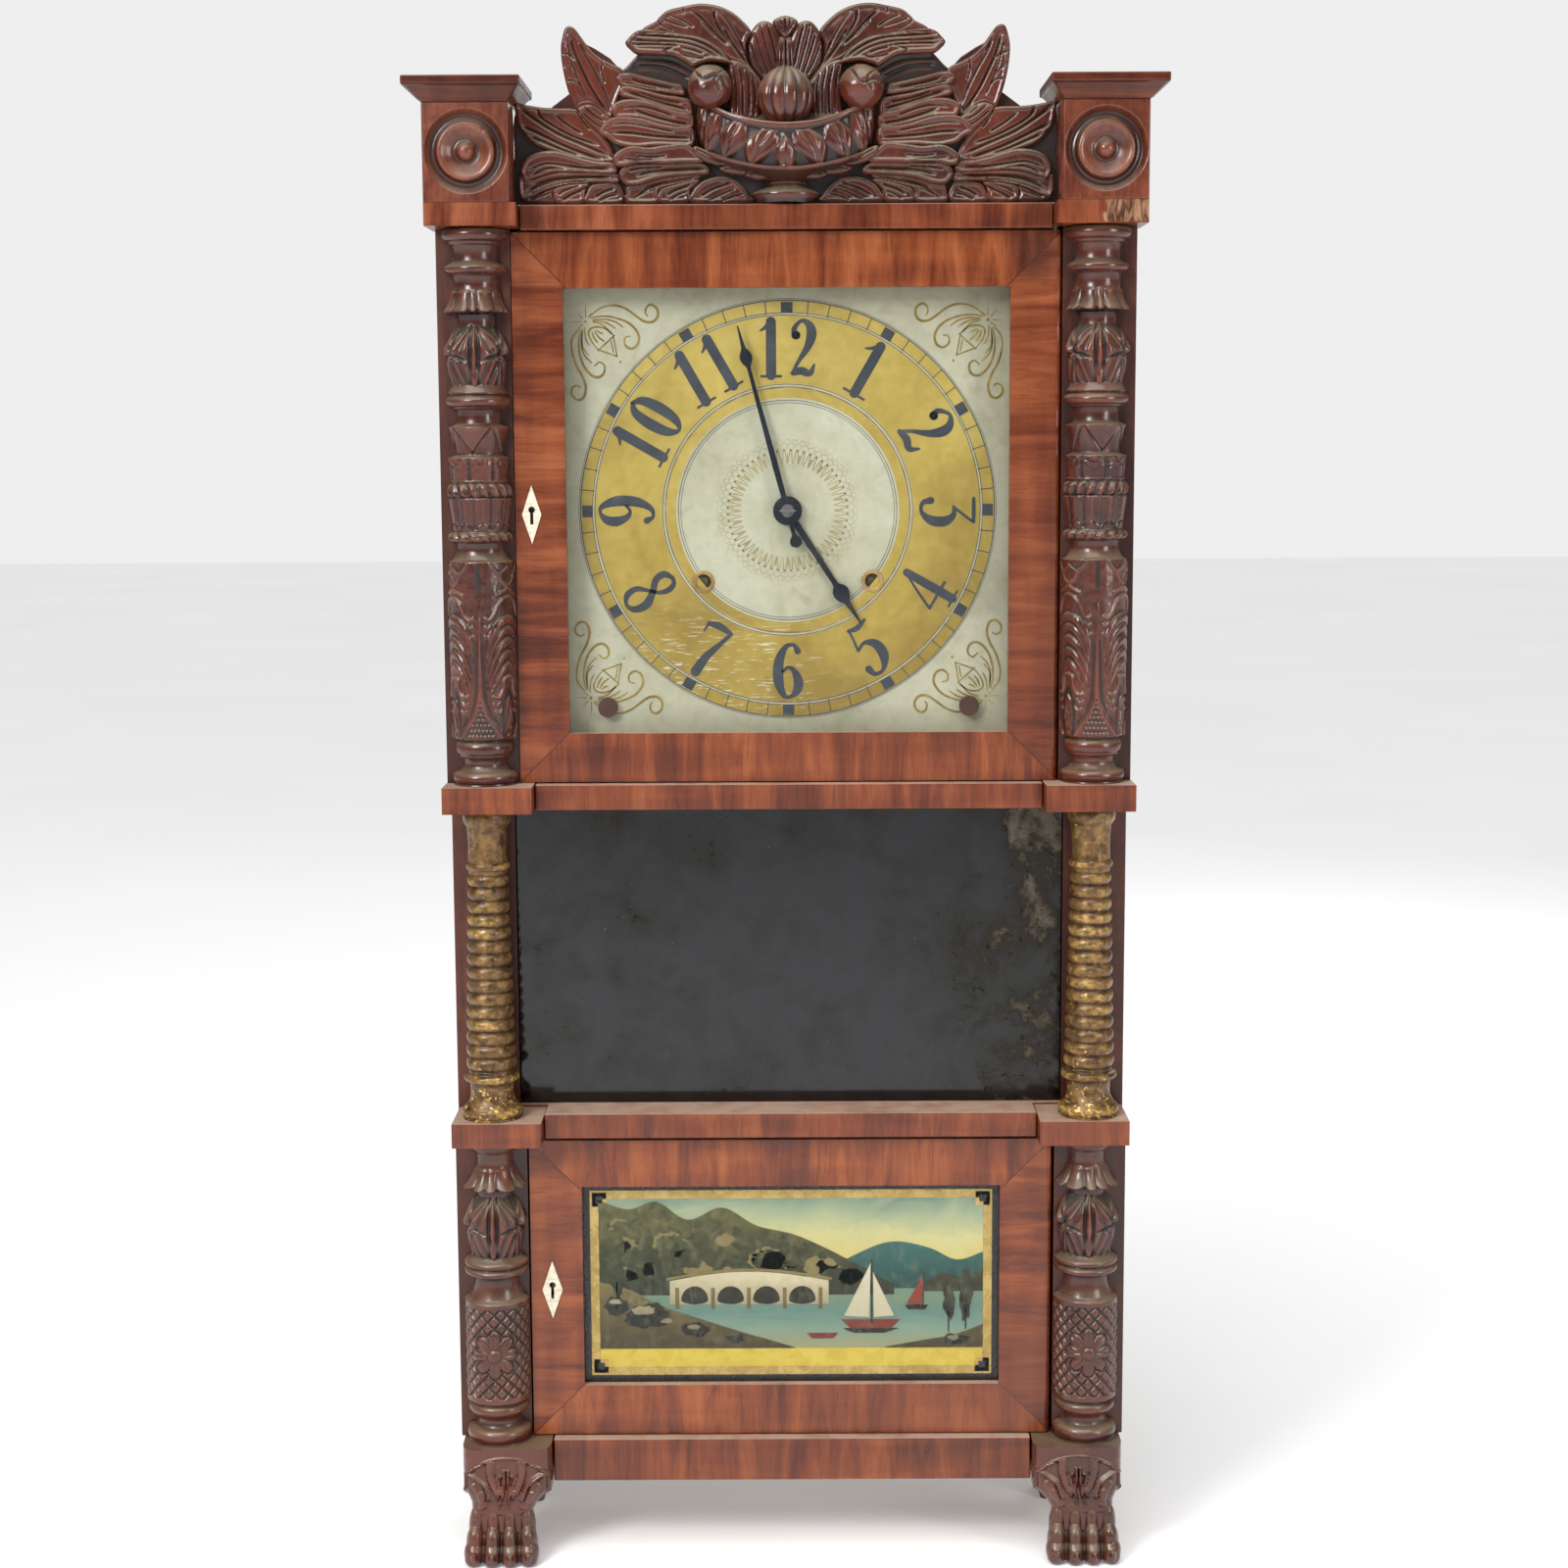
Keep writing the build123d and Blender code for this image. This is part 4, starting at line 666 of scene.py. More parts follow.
UPPER = [("line", 500.3, 501.2, 19.6, 20.2), ("bead", 501.0, 508.6, 17.0, 20.3), ("cove", 508.6, 517.5, 16.2, 15.6, 2.0), ("line", 517.5, 518.6, 15.8, 17.4), ("bead", 518.4, 527.6, 15.4, 18.4),
         ("line", 527.6, 529.2, 15.6, 19.0), ("line", 529.2, 638.0, 19.1, 19.9), ("line", 638.0, 639.2, 20.2, 17.6), ("cove", 639.2, 649.8, 17.6, 16.0, 1.6), ("bead", 649.8, 656.2, 16.4, 20.0), ("line", 656.2, 657.4, 17.2, 17.4),
         ("line", 657.4, 676.4, 17.6, 19.9), ("bead", 676.4, 685.6, 16.8, 19.8), ("line", 685.6, 687.2, 17.6, 18.6), ("line", 687.2, 701.0, 17.6, 19.0), ("line", 701.0, 702.6, 18.6, 14.6),
         ("flare", 702.6, 719.8, 14.6, 18.4), ("line", 719.8, 721.2, 17.8, 14.4), ("cove", 721.2, 730.6, 14.3, 14.3, 0.6), ("line", 730.6, 731.6, 16.4, 17.0), ("bead", 731.4, 738.6, 15.2, 20.1), ("line", 738.6, 740.0, 17.2, 18.6), ("cove", 740.0, 745.0, 18.6, 15.8, 0.4),
         ("bell", 745.0, 762.0, 15.6, 18.2), ("cove", 762.0, 779.5, 18.2, 11.8, -2.2), ("cove", 779.5, 787.2, 11.8, 12.2, 0.4), ("flare", 787.2, 788.6, 12.4, 18.6), ("cove", 788.6, 800.4, 19.3, 15.0, 0.9), ("cove", 800.4, 810.0, 14.6, 14.8, 0.9),
         ("line", 810.0, 811.0, 15.0, 16.2), ("bead", 811.0, 817.0, 15.4, 19.1), ("line", 817.0, 818.0, 16.6, 15.0), ("cove", 818.0, 828.6, 14.2, 15.0, 0.9), ("line", 828.6, 830.4, 16.2, 17.0), ("bead", 830.2, 838.4, 16.6, 20.5)]


def leaf_bulb(T, Z, zt, zb, R):
    # acanthus bulb: centre rib, flutes that fan from the neck and volutes at each side
    s = np.clip((zt - Z) / (zt - zb), 0, 1)
    dR = np.zeros_like(T)
    rel = np.full_like(T, 0.52)
    for c in (-1.92, 0.0, 1.92):
        u = (T - c) / 0.96
        a = np.abs(u)
        m = a < 1.0
        # upper lobe with flutes
        spread = 0.16 + 1.05 * np.clip(s / 0.55, 0, 1) ** 0.8
        t = a / spread
        fl = np.cos(2 * math.pi * 2.6 * np.clip(t, 0, 1.4) ** 0.9)
        up = (s < 0.60) & m
        dR = np.where(up, dR + 0.55 * fl * np.clip(s / 0.12, 0, 1), dR)
        rel = np.where(up, 0.5 + 0.34 * fl, rel)
        vol = np.exp(-(((a - 0.70) / 0.20) ** 2 + ((s - 0.44) / 0.13) ** 2))
        dR += np.where(m, 2.1 * vol, 0)
        # notch between the upper and the lower lobes
        line = 0.60 - 0.16 * np.clip(a - 0.25, 0, 1)
        notch = np.exp(-((s - line) / 0.030) ** 2) * np.clip((a - 0.22) / 0.2, 0, 1)
        dR -= np.where(m, 1.9 * notch, 0)
        rel = np.where(m, rel - 0.75 * notch, rel)
        lo = (s >= 0.60) & m
        t2 = a + 0.85 * (s - 0.6)
        f2 = np.cos(2 * math.pi * 2.7 * t2)
        dR = np.where(lo, dR + 0.50 * f2, dR)
        rel = np.where(lo, 0.5 + 0.34 * f2, rel)
        rib = np.exp(-(a / 0.075) ** 2)
        gr = np.exp(-((a - 0.17) / 0.045) ** 2)
        dR += np.where(m, 1.1 * rib - 1.0 * gr, 0)
        rel = np.where(m, rel + 0.3 * rib - 0.6 * gr, rel)
        edge = np.exp(-((a - 0.985) / 0.035) ** 2)
        dR -= np.where(m, 1.5 * edge, 0)
        rel = np.where(m, rel - 0.6 * edge, rel)
    return dR, rel


def pleats(T, n, depth):
    c = np.abs(np.cos(T * n / 2))
    return depth * (c ** 0.7 - 0.62), 0.25 + 0.6 * c


def rope(T, Z, z0, z1, n, depth):
    ph = T * n + (Z - z0) / (z1 - z0) * 3.4
    c = np.cos(ph)
    return depth * c, 0.48 + 0.40 * c


def V(u, v):
    # crop place on the long cylinder as angle and height
    s = max(-0.985, min(0.985, (u - 262.0) / 190.0))
    return math.asin(s) * 19.8, 638.0 - (v - 290.0) * 0.1125


LONG = []        # (kind, half width, height, points)
LONG += [("r", 1.15, 1.35, [V(247, 292), V(254, 500), V(262, 760), V(268, 1000), V(286, 1090), V(318, 1160), V(384, 1248)]),
         ("g", 0.75, 1.2, [V(266, 300), V(274, 600), V(282, 820), V(290, 1000), V(318, 1100), V(372, 1180)]),
         ("r", 1.0, 0.9, [V(330, 296), V(352, 330), V(384, 356)]), ("r", 1.0, 0.9, [V(436, 296), V(410, 330), V(384, 356), V(396, 396), V(420, 420)]),
         ("g", 0.7, 0.9, [V(346, 300), V(384, 340), V(424, 300)]),
         ("r", 1.3, 1.1, [V(424, 432), V(398, 452), V(362, 470)]),
         ("h", 4.2, 2.1, [V(352, 548)]), ("h", 3.0, 1.7, [V(398, 500)]),
         ("r", 1.2, 1.5, [V(440, 470), V(404, 486), V(372, 520), V(350, 572), V(322, 604), V(300, 596)]),
         ("r", 1.0, 1.2, [V(300, 640), V(318, 648), V(330, 632)]), ("r", 1.0, 1.1, [V(296, 690), V(316, 700), V(330, 682)]),
         ("l", 2.4, 1.7, [V(306, 800), V(330, 700), V(380, 622), V(442, 590)]), ("l", 2.0, 1.6, [V(312, 840), V(345, 740), V(395, 670), V(448, 640)]),
         ("l", 2.2, 1.7, [V(318, 900), V(352, 800), V(400, 735), V(450, 700)]), ("l", 2.0, 1.5, [V(322, 950), V(360, 860), V(404, 800), V(450, 768)]),
         ("l", 1.8, 1.4, [V(330, 1000), V(372, 920), V(410, 860), V(452, 830)]),
         ("h", 3.2, 1.9, [V(400, 958)]), ("h", 2.2, 1.4, [V(366, 1010)]),
         ("r", 1.2, 1.4, [V(452, 905), V(420, 915), V(398, 930), V(392, 980), V(372, 1022), V(340, 1020)]),
         ("r", 0.9, 1.0, [V(340, 1060), V(360, 1070), V(376, 1052)]), ("r", 0.9, 1.0, [V(352, 1104), V(372, 1112), V(388, 1094)]),
         ("l", 1.8, 1.3, [V(402, 1160), V(418, 1060), V(452, 980)]), ("l", 1.8, 1.3, [V(412, 1200), V(430, 1120), V(456, 1050)]), ("l", 1.6, 1.2, [V(420, 1240), V(440, 1190), V(458, 1130)]),
         ("g", 0.8, 1.0, [V(396, 1246), V(392, 1150), V(402, 1040), V(440, 930)])]


def apply_strokes(A, Z, strokes, dR, rel):
    for kind, w, h, pts in strokes:
        if kind == "h":
            d = np.hypot(A - pts[0][0], Z - pts[0][1])
            k = np.exp(-(d / w) ** 2)
            dR -= h * k
            # a lower relief value in the drilled hollow: painted shade
            rel -= 0.55 * k
            continue
        c = smooth_line(pts, n=4) if len(pts) > 2 else np.asarray(pts)
        lo, hi = c.min(0) - w * 3, c.max(0) + w * 3
        m = (A > lo[0]) & (A < hi[0]) & (Z > lo[1]) & (Z < hi[1])
        if not m.any():
            continue
        d, t = poly_dist(A[m], Z[m], c)
        if kind == "r":
            k = np.clip(1 - (d / w) ** 2, 0, 1) ** 0.6
            dR[m] = np.maximum(dR[m], h * k)
            rel[m] = np.maximum(rel[m], 0.45 + 0.5 * k * (k > 0))
        elif kind == "g":
            k = np.exp(-(d / w) ** 2)
            dR[m] -= h * k
            # a lower relief value along the groove: painted shade
            rel[m] -= 0.6 * k
        elif kind == "l":
            ww = w * np.clip(0.35 + 1.0 * np.sin(np.clip(t, 0, 1) * math.pi * 0.62), 0.2, 1.3)
            k = np.clip(1 - (d / ww) ** 2, 0, 1) ** 0.5
            near = np.clip(1 - d / (ww * 1.35), 0, 1)
            dR[m] = np.maximum(dR[m], h * k * (0.55 + 0.45 * t))
            rel[m] = np.where(near > 0, np.maximum(np.where(k > 0, 0.30 + 0.52 * k, 0.1), np.where(k > 0, rel[m], 0)), rel[m])
    return dR, rel


def upper_relief(T, Z, R):
    dR = np.zeros_like(T)
    rel = np.full_like(T, 0.52)
    # long cylinder
    m = (Z > 529.0) & (Z < 638.4)
    a = np.zeros_like(T)
    rr = np.full_like(T, 0.42)
    for c in (-2.0, 0.0, 2.0):
        A = np.abs(T - c) * 19.8
        part = np.abs(T - c) <= 1.0
        if not part.any():
            continue
        aa, r1 = apply_strokes(A, Z, LONG, np.zeros_like(T), np.full_like(T, 0.44))
        # rows of beads between the legs of the stem
        for k, row in enumerate((1068, 1094, 1122, 1150, 1180, 1210, 1240)):
            zz = 638.0 - (row - 290) * 0.1125
            for i in range(k + 1):
                bx = (i - k / 2) * 2.6
                if bx < -0.01:
                    continue
                d = np.hypot(A - bx, Z - zz)
                kk = np.clip(1 - (d / 1.12) ** 2, 0, 1) ** 0.5
                aa = np.maximum(aa, 1.1 * kk)
                r1 = np.where(kk > 0, 0.25 + 0.6 * kk, r1)
            tri = (A < (k / 2 + 0.6) * 2.6) & (np.abs(Z - zz) < 1.65)
            # the ground between the beads gets a low relief value: painted shade
            r1 = np.where(tri & (aa < 0.15), 0.16, r1)
        a = np.where(part, aa, a)
        rr = np.where(part, r1, rr)
    chip = fbm(T * 8, Z * 0.25, 0, 5, 3)
    dR = np.where(m, a + 0.18 * chip, dR)
    rel = np.where(m, rr + 0.08 * chip, rel)
    # rope rings
    for z0, z1, d in ((649.8, 656.2, 0.75), (676.4, 685.6, 0.95)):
        k, q = rope(T, Z, z0, z1, 17, d)
        mm = (Z > z0) & (Z < z1)
        t = np.clip(1 - ((Z - (z0 + z1) / 2) / ((z1 - z0) / 2)) ** 2, 0, 1)
        dR = np.where(mm, k * t ** 0.5 - 0.2, dR)
        rel = np.where(mm, q, rel)
    # cup with flat facets and small arched cuts near its foot
    mm = (Z > 657.4) & (Z < 676.4)
    fa = np.cos((T * 5.2 + 0.5) % math.pi - math.pi / 2)
    sh = np.abs(np.sin(T * 5.2 + 0.5))
    arch = np.exp(-((Z - (659.4 + 3.0 * (1 - np.abs(np.sin(T * 5.2 + 2.07))) ** 0.7)) / 0.8) ** 2)
    dR = np.where(mm, -1.05 * (1 - sh) ** 1.6 - 0.5 * arch, dR)
    rel = np.where(mm, 0.60 - 0.45 * (1 - sh) ** 3 + 0.25 * (sh > 0.97) - 0.25 * arch, rel)
    # second cup with rough leaf edge
    mm = (Z > 687.2) & (Z < 701.0)
    n = fbm(T * 7.5, Z * 0.55, 2, 8, 3)
    top = np.clip((Z - 692) / 7, 0, 1)
    pan = np.abs(np.sin(T * 3.6 + 0.9))
    dR = np.where(mm, 0.8 * n * top - 1.0 * (1 - pan) ** 4 * 1.2, dR)
    rel = np.where(mm, 0.5 + 0.45 * n * top - 0.4 * (1 - pan) ** 4, rel)
    # leaf cup: pointed leaves that cross
    mm = (Z > 702.6) & (Z < 719.8)
    s = (719.8 - Z) / 17.2
    tri = np.abs(((T * 2.15 + 0.35) / math.pi * 2) % 2 - 1)
    e1 = np.abs(s - tri * 0.95)
    k = np.exp(-(e1 / 0.07) ** 2)
    dR = np.where(mm, 0.55 * (s < tri * 0.95) - 0.8 * k, dR)
    rel = np.where(mm, 0.56 - 0.42 * k + 0.3 * np.exp(-((e1 - 0.12) / 0.05) ** 2), rel)
    # bulb
    mm = (Z > 745.0) & (Z < 780.0)
    d2, q2 = leaf_bulb(T, Z, 780.0, 745.0, R)
    dR = np.where(mm, d2, dR)
    rel = np.where(mm, q2, rel)
    # ruffle
    mm = (Z > 787.6) & (Z < 801.0)
    pl, q = pleats(T + 0.12 * np.sin(T * 5), 13, 2.0)
    low = np.clip((801.0 - Z) / 11, 0, 1)
    cut = (Z < 788.2 + 1.6 * (1 - np.abs(np.cos((T + 0.12 * np.sin(T * 5)) * 6.5))))
    dR = np.where(mm, pl * (0.35 + 0.65 * low) - 3.0 * cut, dR)
    # the cut under the ruffle gets a low relief value: painted shade
    rel = np.where(mm, np.where(cut, 0.15, q), rel)
    return dR, rel


LOWER = [("line", 76.2, 77.4, 19.4, 20.4), ("bead", 77.0, 86.2, 17.0, 20.6), ("cove", 86.2, 94.0, 15.4, 15.4, 1.6), ("line", 94.0, 95.2, 15.4, 17.2), ("bead", 94.8, 102.2, 15.8, 19.6), ("line", 102.2, 104.0, 17.0, 20.0),
         ("line", 104.0, 169.6, 20.1, 20.1), ("line", 169.6, 171.2, 20.4, 18.2), ("cove", 171.2, 184.6, 17.6, 14.6, 0.9), ("line", 184.6, 186.2, 15.0, 17.4), ("bead", 186.0, 191.4, 16.4, 20.4), ("bead", 191.4, 196.8, 16.4, 20.4), ("line", 196.8, 198.6, 17.4, 15.4),
         ("bell", 198.6, 219.0, 15.2, 18.2), ("cove", 219.0, 237.0, 18.2, 11.8, -2.0), ("cove", 237.0, 241.8, 11.8, 12.4, 0.3), ("flare", 241.8, 243.0, 12.6, 19.0), ("cove", 243.0, 255.4, 19.6, 13.0, 1.2), ("cove", 255.4, 266.2, 12.6, 13.0, 1.0), ("line", 266.2, 267.4, 13.4, 14.6), ("bead", 267.2, 273.4, 13.4, 15.6)]


def lower_relief(T, Z, R):
    dR = np.zeros_like(T)
    rel = np.full_like(T, 0.52)
    m = (Z > 104.2) & (Z < 169.6)
    A = T * 20.1
    ZZ = Z - 136.8
    p = 8.6
    l1 = np.abs(((A + ZZ) / p) % 1 - 0.5)
    l2 = np.abs(((A - ZZ) / p) % 1 - 0.5)
    g = np.maximum(np.exp(-((0.5 - l1) / 0.10) ** 2), np.exp(-((0.5 - l2) / 0.10) ** 2))
    dome = np.clip(1 - (2 * (0.5 - l1) - 1) ** 2, 0, 1) * np.clip(1 - (2 * (0.5 - l2) - 1) ** 2, 0, 1)
    dR = np.where(m, 0.75 * dome - 1.0 * g - 0.2, dR)
    rel = np.where(m, 0.40 + 0.40 * dome - 0.40 * g, rel)
    # eight petalled flower with a ball in its middle
    rr = np.hypot(A, ZZ)
    an = np.arctan2(ZZ, A)
    pet = np.abs(np.cos(an * 4))
    R0 = 15.5 * (0.55 + 0.45 * pet ** 0.6)
    inn = rr < R0
    mid = np.exp(-((1 - pet) / 0.05) ** 2)
    h = 1.55 * np.clip(1 - (rr / np.maximum(R0, 0.1)) ** 3, 0, 1) ** 0.5 * (0.45 + 0.55 * pet ** 0.5) - 0.65 * mid * (rr > 4.5)
    rim = np.clip(1 - np.abs(rr - R0) / 0.9, 0, 1)
    dR = np.where(m & inn, h, dR)
    rel = np.where(m & inn, 0.30 + 0.45 * pet - 0.28 * mid, rel)
    # the sunk outline around the flower gets a low relief value: painted shade
    rel = np.where(m & ~inn & (rr < R0 + 1.6), 0.10, rel)
    dR = np.where(m & ~inn & (rr < R0 + 1.6), -1.0, dR)
    ball = rr < 3.9
    dR = np.where(m & ball, 0.9 + 1.9 * np.sqrt(np.clip(1 - (rr / 3.9) ** 2, 0, 1)), dR)
    rel = np.where(m & ball, 0.62, rel)
    rel = np.where(m & (rr > 3.9) & (rr < 4.7), 0.12, rel)
    border = (np.abs(ZZ) > 29.6)
    dR = np.where(m & border, 0.35, dR)
    rel = np.where(m & border, 0.62, rel)
    mm = (Z > 198.6) & (Z < 237.5)
    d2, q2 = leaf_bulb(T, Z, 238.0, 198.6, R)
    dR = np.where(mm, d2, dR)
    rel = np.where(mm, q2, rel)
    mm = (Z > 242.0) & (Z < 256.0)
    pl, q = pleats(T + 0.1 * np.sin(T * 4 + 1), 11, 2.4)
    low = np.clip((256.0 - Z) / 12, 0, 1)
    cut = (Z < 242.8 + 1.8 * (1 - np.abs(np.cos((T + 0.1 * np.sin(T * 4 + 1)) * 5.5))))
    dR = np.where(mm, pl * (0.25 + 0.75 * low) - 3.2 * cut, dR)
    # the cut under the ruffle gets a low relief value: painted shade
    rel = np.where(mm, np.where(cut, 0.15, q), rel)
    return dR, rel


MIDDLE = [("line", 288.8, 290.0, 18.4, 19.0), ("bead", 289.6, 296.0, 17.0, 19.2), ("cove", 296.0, 304.0, 17.6, 13.4, 1.0), ("line", 304.0, 311.5, 13.3, 13.6), ("line", 311.5, 312.6, 14.4, 15.2), ("bead", 312.4, 317.4, 14.6, 17.6), ("line", 317.4, 320.0, 14.4, 14.2)]
for k in range(15):
    zz = 320.0 + 8.3 * k
    rr = 15.8 - 2.95 * k / 14
    MIDDLE += [("bead", zz, zz + 8.3, rr - 2.3, rr, 0.75)]
MIDDLE += [("line", 444.5, 447.5, 12.0, 12.3), ("bead", 447.0, 451.5, 12.2, 13.7), ("cove", 451.5, 474.0, 12.2, 12.6, 0.5), ("line", 474.0, 476.0, 12.6, 14.2), ("bead", 475.6, 484.0, 13.2, 15.0)]


def middle_relief(T, Z, R):
    dR = 0.10 * fbm(T * 3, Z * 0.3, 1, 3, 3)
    return dR, np.full_like(R, 0.52) + 0.10 * fbm(np.sin(T) * 4, np.cos(T) * 4, Z * 0.3, 2, 3)


for side, s in (("left", -1), ("right", 1)):
    rep = (lambda n: (n,)) if s < 0 else (lambda n: (n,))
    build_column(f"upper_column_{side}", s * 188.5, -39.0, UPPER, 500.3, 838.4, upper_relief, True, M_CARVED, "carved_mahogany", ("upper_columns",), 660, 150, mirror=(s > 0), seed=3 + s)
    build_column(f"lower_column_{side}", s * 188.0, -39.0, LOWER, 76.2, 273.4, lower_relief, True, M_CARVED, "carved_mahogany", ("lower_columns",), 440, 150, mirror=(s > 0), seed=9 + s)
    build_column(f"middle_column_{side}", s * 188.0, -43.0, MIDDLE, 288.8, 484.0, middle_relief, False, M_GILT, "gilt_bronze_paint", ("middle_columns",), 520, 96, seed=15 + s)


# ------------------------------------------------------------------ carved crest
def C(u, v):
    return (u * 0.11684 - 179.07, 971.7 - v * 0.11344)


Y_BACKING = -31.6


def relief_leaf(g, outline, base, dome, grooves=(), ridges=(), tilt=(0.0, 0.0), thick=None, res=0.55, wd=4.5, mirror=False, seed=1, shade_offset=0.0, grow=0.0, hollow=0.0):
    pts = smooth_line([C(*p) for p in outline], closed=True, n=5)
    lo, hi = pts.min(0) - 1.5 * res - grow, pts.max(0) + 1.5 * res + grow
    nx, nz = int((hi[0] - lo[0]) / res) + 2, int((hi[1] - lo[1]) / res) + 2
    xs = lo[0] + res * np.arange(nx)
    zs = lo[1] + res * np.arange(nz)
    X, Z = np.meshgrid(xs, zs)
    S = inside_sdf(X, Z, pts) + grow
    Sc = (S[:-1, :-1] + S[1:, :-1] + S[:-1, 1:] + S[1:, 1:]) / 4
    cell = Sc > 0.05
    # drop cells joined only at a corner
    for _ in range(2):
        pad = np.pad(cell, 1)
        n4 = pad[:-2, 1:-1].astype(int) + pad[2:, 1:-1] + pad[1:-1, :-2] + pad[1:-1, 2:]
        cell &= n4 >= 2
    used = np.zeros_like(S, bool)
    cnt = np.zeros_like(S, int)
    for di in (0, 1):
        for dj in (0, 1):
            cnt[di:di + cell.shape[0], dj:dj + cell.shape[1]] += cell
    used = cnt > 0
    rim = used & (cnt < 4)
    gz, gx = np.gradient(S, res)
    gl = np.maximum(np.hypot(gx, gz), 0.3)
    X2 = np.where(rim, X - np.clip(S, -res, res) * gx / gl ** 2, X)
    Z2 = np.where(rim, Z - np.clip(S, -res, res) * gz / gl ** 2, Z)
    D = np.clip(S, 0, None)
    D = np.where(rim, 0.0, D)
    t = np.clip(D / wd, 0, 1)
    H = base + dome * np.sqrt(np.clip(1 - (1 - t) ** 2, 0, 1))
    cx, cz = pts.mean(0)
    H += tilt[0] * (X2 - cx) + tilt[1] * (Z2 - cz)
    dip = np.clip((D - 1.3) / 2.2, 0, 1)
    dip = dip * dip * (3 - 2 * dip)
    H -= hollow * dip
    # a negative offset lowers the relief value, so the material paints this surface as shade
    rel = np.full_like(H, 0.52 + shade_offset) + 0.30 * np.exp(-((D - 0.3) / 0.7) ** 2)
    for w, dep, gp in grooves:
        q = np.array([C(*p) for p in gp])
        q = smooth_line(q, n=4) if len(q) > 2 else q
        d, al = poly_dist(X2, Z2, q)
        fade = np.clip(np.minimum(al, 1 - al) * 8 + 0.25, 0, 1)
        k = np.exp(-(d / w) ** 2) * fade
        H -= 1.25 * dep * k
        # groove bottoms get a lower relief value: painted shade
        rel -= 0.62 * np.exp(-(d / (w * 0.8)) ** 2) * fade
        rel += 0.20 * np.exp(-((d - w * 1.7) / (w * 0.7)) ** 2) * fade
    for w, hh, gp in ridges:
        q = np.array([C(*p) for p in gp])
        q = smooth_line(q, n=4) if len(q) > 2 else q
        d, al = poly_dist(X2, Z2, q)
        k = np.clip(1 - (d / w) ** 2, 0, 1) ** 0.7
        H += hh * k
        rel += 0.32 * k
    H += 0.22 * fbm(X2 * 0.16, Z2 * 0.16, seed, seed, 3)
    H = np.clip(H, 0.6, 27.0)
    bot = np.zeros_like(H) if thick is None else np.clip(H - thick - 0.4 * np.clip(D, 0, 6), 0, None)
    idx = -np.ones(S.shape, int)
    idx[used] = np.arange(used.sum())
    n = used.sum()
    sx = -1.0 if mirror else 1.0
    top = np.stack([sx * X2[used], Y_BACKING - H[used], Z2[used]], 1)
    low = np.stack([sx * X2[used], Y_BACKING - bot[used], Z2[used]], 1)
    f = []
    ii, jj = np.nonzero(cell)
    pad = np.pad(cell, 1)
    for i, j in zip(ii, jj):
        a, b, c, d = idx[i, j], idx[i, j + 1], idx[i + 1, j + 1], idx[i + 1, j]
        q = (a, b, c, d)
        f.append(q if not mirror else q[::-1])
        q2 = (a + n, d + n, c + n, b + n)
        f.append(q2 if not mirror else q2[::-1])
        for (pi, pj), (p, r) in (((i, j + 1), (a, b)), ((i + 2, j + 1), (c, d)), ((i + 1, j), (d, a)), ((i + 1, j + 2), (b, c))):
            if not pad[pi, pj]:
                w = (p, p + n, r + n, r)
                f.append(w if not mirror else w[::-1])
    # the undersides and side walls get a low relief value of 0.14: painted shade
    g.add(np.concatenate([top, low]), f, np.clip(np.concatenate([rel[used], np.full(n, 0.14)]), 0, 1))


